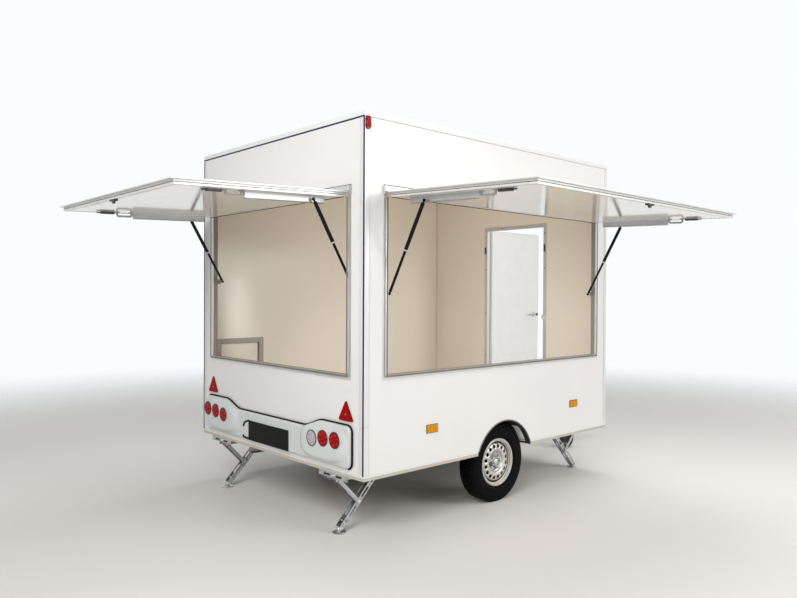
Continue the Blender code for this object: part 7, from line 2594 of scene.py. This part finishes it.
@dataclass
class Coupling:
    """Overrun coupling with bellows, handbrake lever and jockey wheel."""

    frame: dict
    datum: Datum
    nose_from_end: float = 0.295
    bellows: float = 0.118
    grip_level: float = 0.655
    handle_level: float = 0.487
    side_bolts: Flat = (0.035, 0.160)
    side_bolt_half: float = 0.050
    side_bolt_rise: float = 0.028
    pivot_bolt: Spot = (0.121, 0.058, 0.0413)
    ribs: int = 7
    rib_pitch: float = 0.013
    rib_rise: float = 0.0998
    jockey_grip_level: float = 0.69
    jockey_hub: float = 0.068

    def build(self) -> None:
        """Dress the coupling and jockey wheel and add their grips and bolts."""
        low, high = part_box("coupling")
        nose = high.x - self.nose_from_end
        zones = (Between((nose + 0.0005, low.y, low.z), (nose + self.bellows, high.y, self.handle_level)),
                 Between((nose - 0.01, low.y, self.handle_level), (nose + 0.104, high.y, self.handle_level + 0.05)),
                 Between((low.x, low.y, self.grip_level), (high.x, high.y + 0.1, high.z + 0.1)))
        dress(self.frame, self.with_black("coupling_zinc", *zones), "coupling")
        self.add_bolts(low)
        self.add_grip_ribs(nose)
        self.dress_jockey()

    def with_black(self, name: str, *zones: Zone) -> Zoned:
        """Return zinc that carries black plastic in some zones."""
        return Zoned(name, ZINC, 0.42, 0.85, grain=METAL_GRAIN, depth=0.00012, mottle=0.14, second=paint(28, 28, 29),
                     second_roughness=0.6, second_metallic=0.0, zones=zones)

    def add_bolts(self, low: Vector) -> None:
        """Add the bolts through the housing's sides and the lever's pivot.

        Args:
            low: The coupling's low corner.
        """
        start = Vector((low.x, self.datum.middle, self.datum.floor))
        places = [(start + Vector((along, sign * self.side_bolt_half, self.side_bolt_rise)), sideways(sign))
                  for along in self.side_bolts for sign in SIDES]
        places.append((start + Vector(self.pivot_bolt), sideways(1.0)))
        Fastener(Head.HEX, 0.010, 0.009).fix("coupling_bolts", "trailer", places)

    def add_grip_ribs(self, nose: float) -> None:
        """Add moulded ribs round the release handle's grip.

        Args:
            nose: Where the housing's nose starts.
        """
        shape = Shape()
        level = self.datum.floor + self.rib_rise
        for i in range(self.ribs):
            place = Vector((nose + 0.006 + i * self.rib_pitch, self.datum.middle, level))
            shape.turned([(0.0106, 0.0), (0.0122, 0.001), (0.0122, 0.005), (0.0106, 0.006)], 20,
                         facing(place, Vector((1.0, 0.0, 0.0))))
        shape.piece("release_grip_ribs", "trailer", "black_plastic", BLACK_PLASTIC)

    def dress_jockey(self) -> None:
        """Dress the jockey wheel with its black grip and rubber tread."""
        axle = Joint.named(self.frame, "jockey_wheel_spin").place
        swivel = Joint.named(self.frame, "jockey_swivel_turn").place
        low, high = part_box("jockey_clamp")
        knob = Between((low.x, low.y - 0.01, self.jockey_grip_level), (high.x, swivel.y - 0.105, high.z + 0.1))
        dress(self.frame, self.with_black("jockey_clamp_zinc", knob), "jockey_clamp")
        dress(self.frame, ZINC_STEEL, "jockey_inner_tube", "jockey_fork")
        wheel = Zoned("jockey_tread", paint(30, 30, 31), 0.65, grain=300.0, depth=0.0002, second=paint(168, 168, 166),
                      second_roughness=0.5, second_metallic=0.2, zones=(Around(axle.x, axle.z, self.jockey_hub),))
        dress(self.frame, wheel, "jockey_wheel")
        bolts = [(axle + sideways(sign * 0.0335), sideways(sign)) for sign in SIDES]
        Fastener(Head.HEX, 0.0085, 0.006).fix("jockey_axle_bolts", "jockey_swivel", bolts)
        handle = Shape()
        centre = Vector((swivel.x, swivel.y - 0.0235, self.datum.floor - 0.035))
        handle.rod(centre, centre + sideways(-0.030), 0.006, 16, 0.001)
        handle.rod(centre + Vector((-0.045, -0.028, 0.0)), centre + Vector((0.045, -0.028, 0.0)), 0.0045, 14, 0.001)
        handle.piece("jockey_clamp_handle", "trailer", "galvanised_steel", BOLT_ZINC)


def main() -> None:
    """Load the frame, dress every solid, add the fine pieces and light the scene."""
    logging.basicConfig(level=logging.INFO, format="%(name)s: %(message)s")
    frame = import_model()
    datum = Datum.measured()
    Studio(datum).build()
    BodyShell(frame, datum).build()
    ServingFlap(frame, datum, "side_flap", Wall.RIGHT, 0.340).build()
    ServingFlap(frame, datum, "rear_flap", Wall.REAR, 0.300).build()
    DoorSet(frame, datum).build()
    Hatch(frame, datum).build()
    RearLights(frame, datum).build()
    SideMarkers(datum).build()
    RunningGear(frame, datum).build()
    for side in ("right", "left"):
        RoadWheel(frame, side).build()
    Chassis(frame, datum).build()
    Coupling(frame, datum).build()


if __name__ == "__main__":
    main()
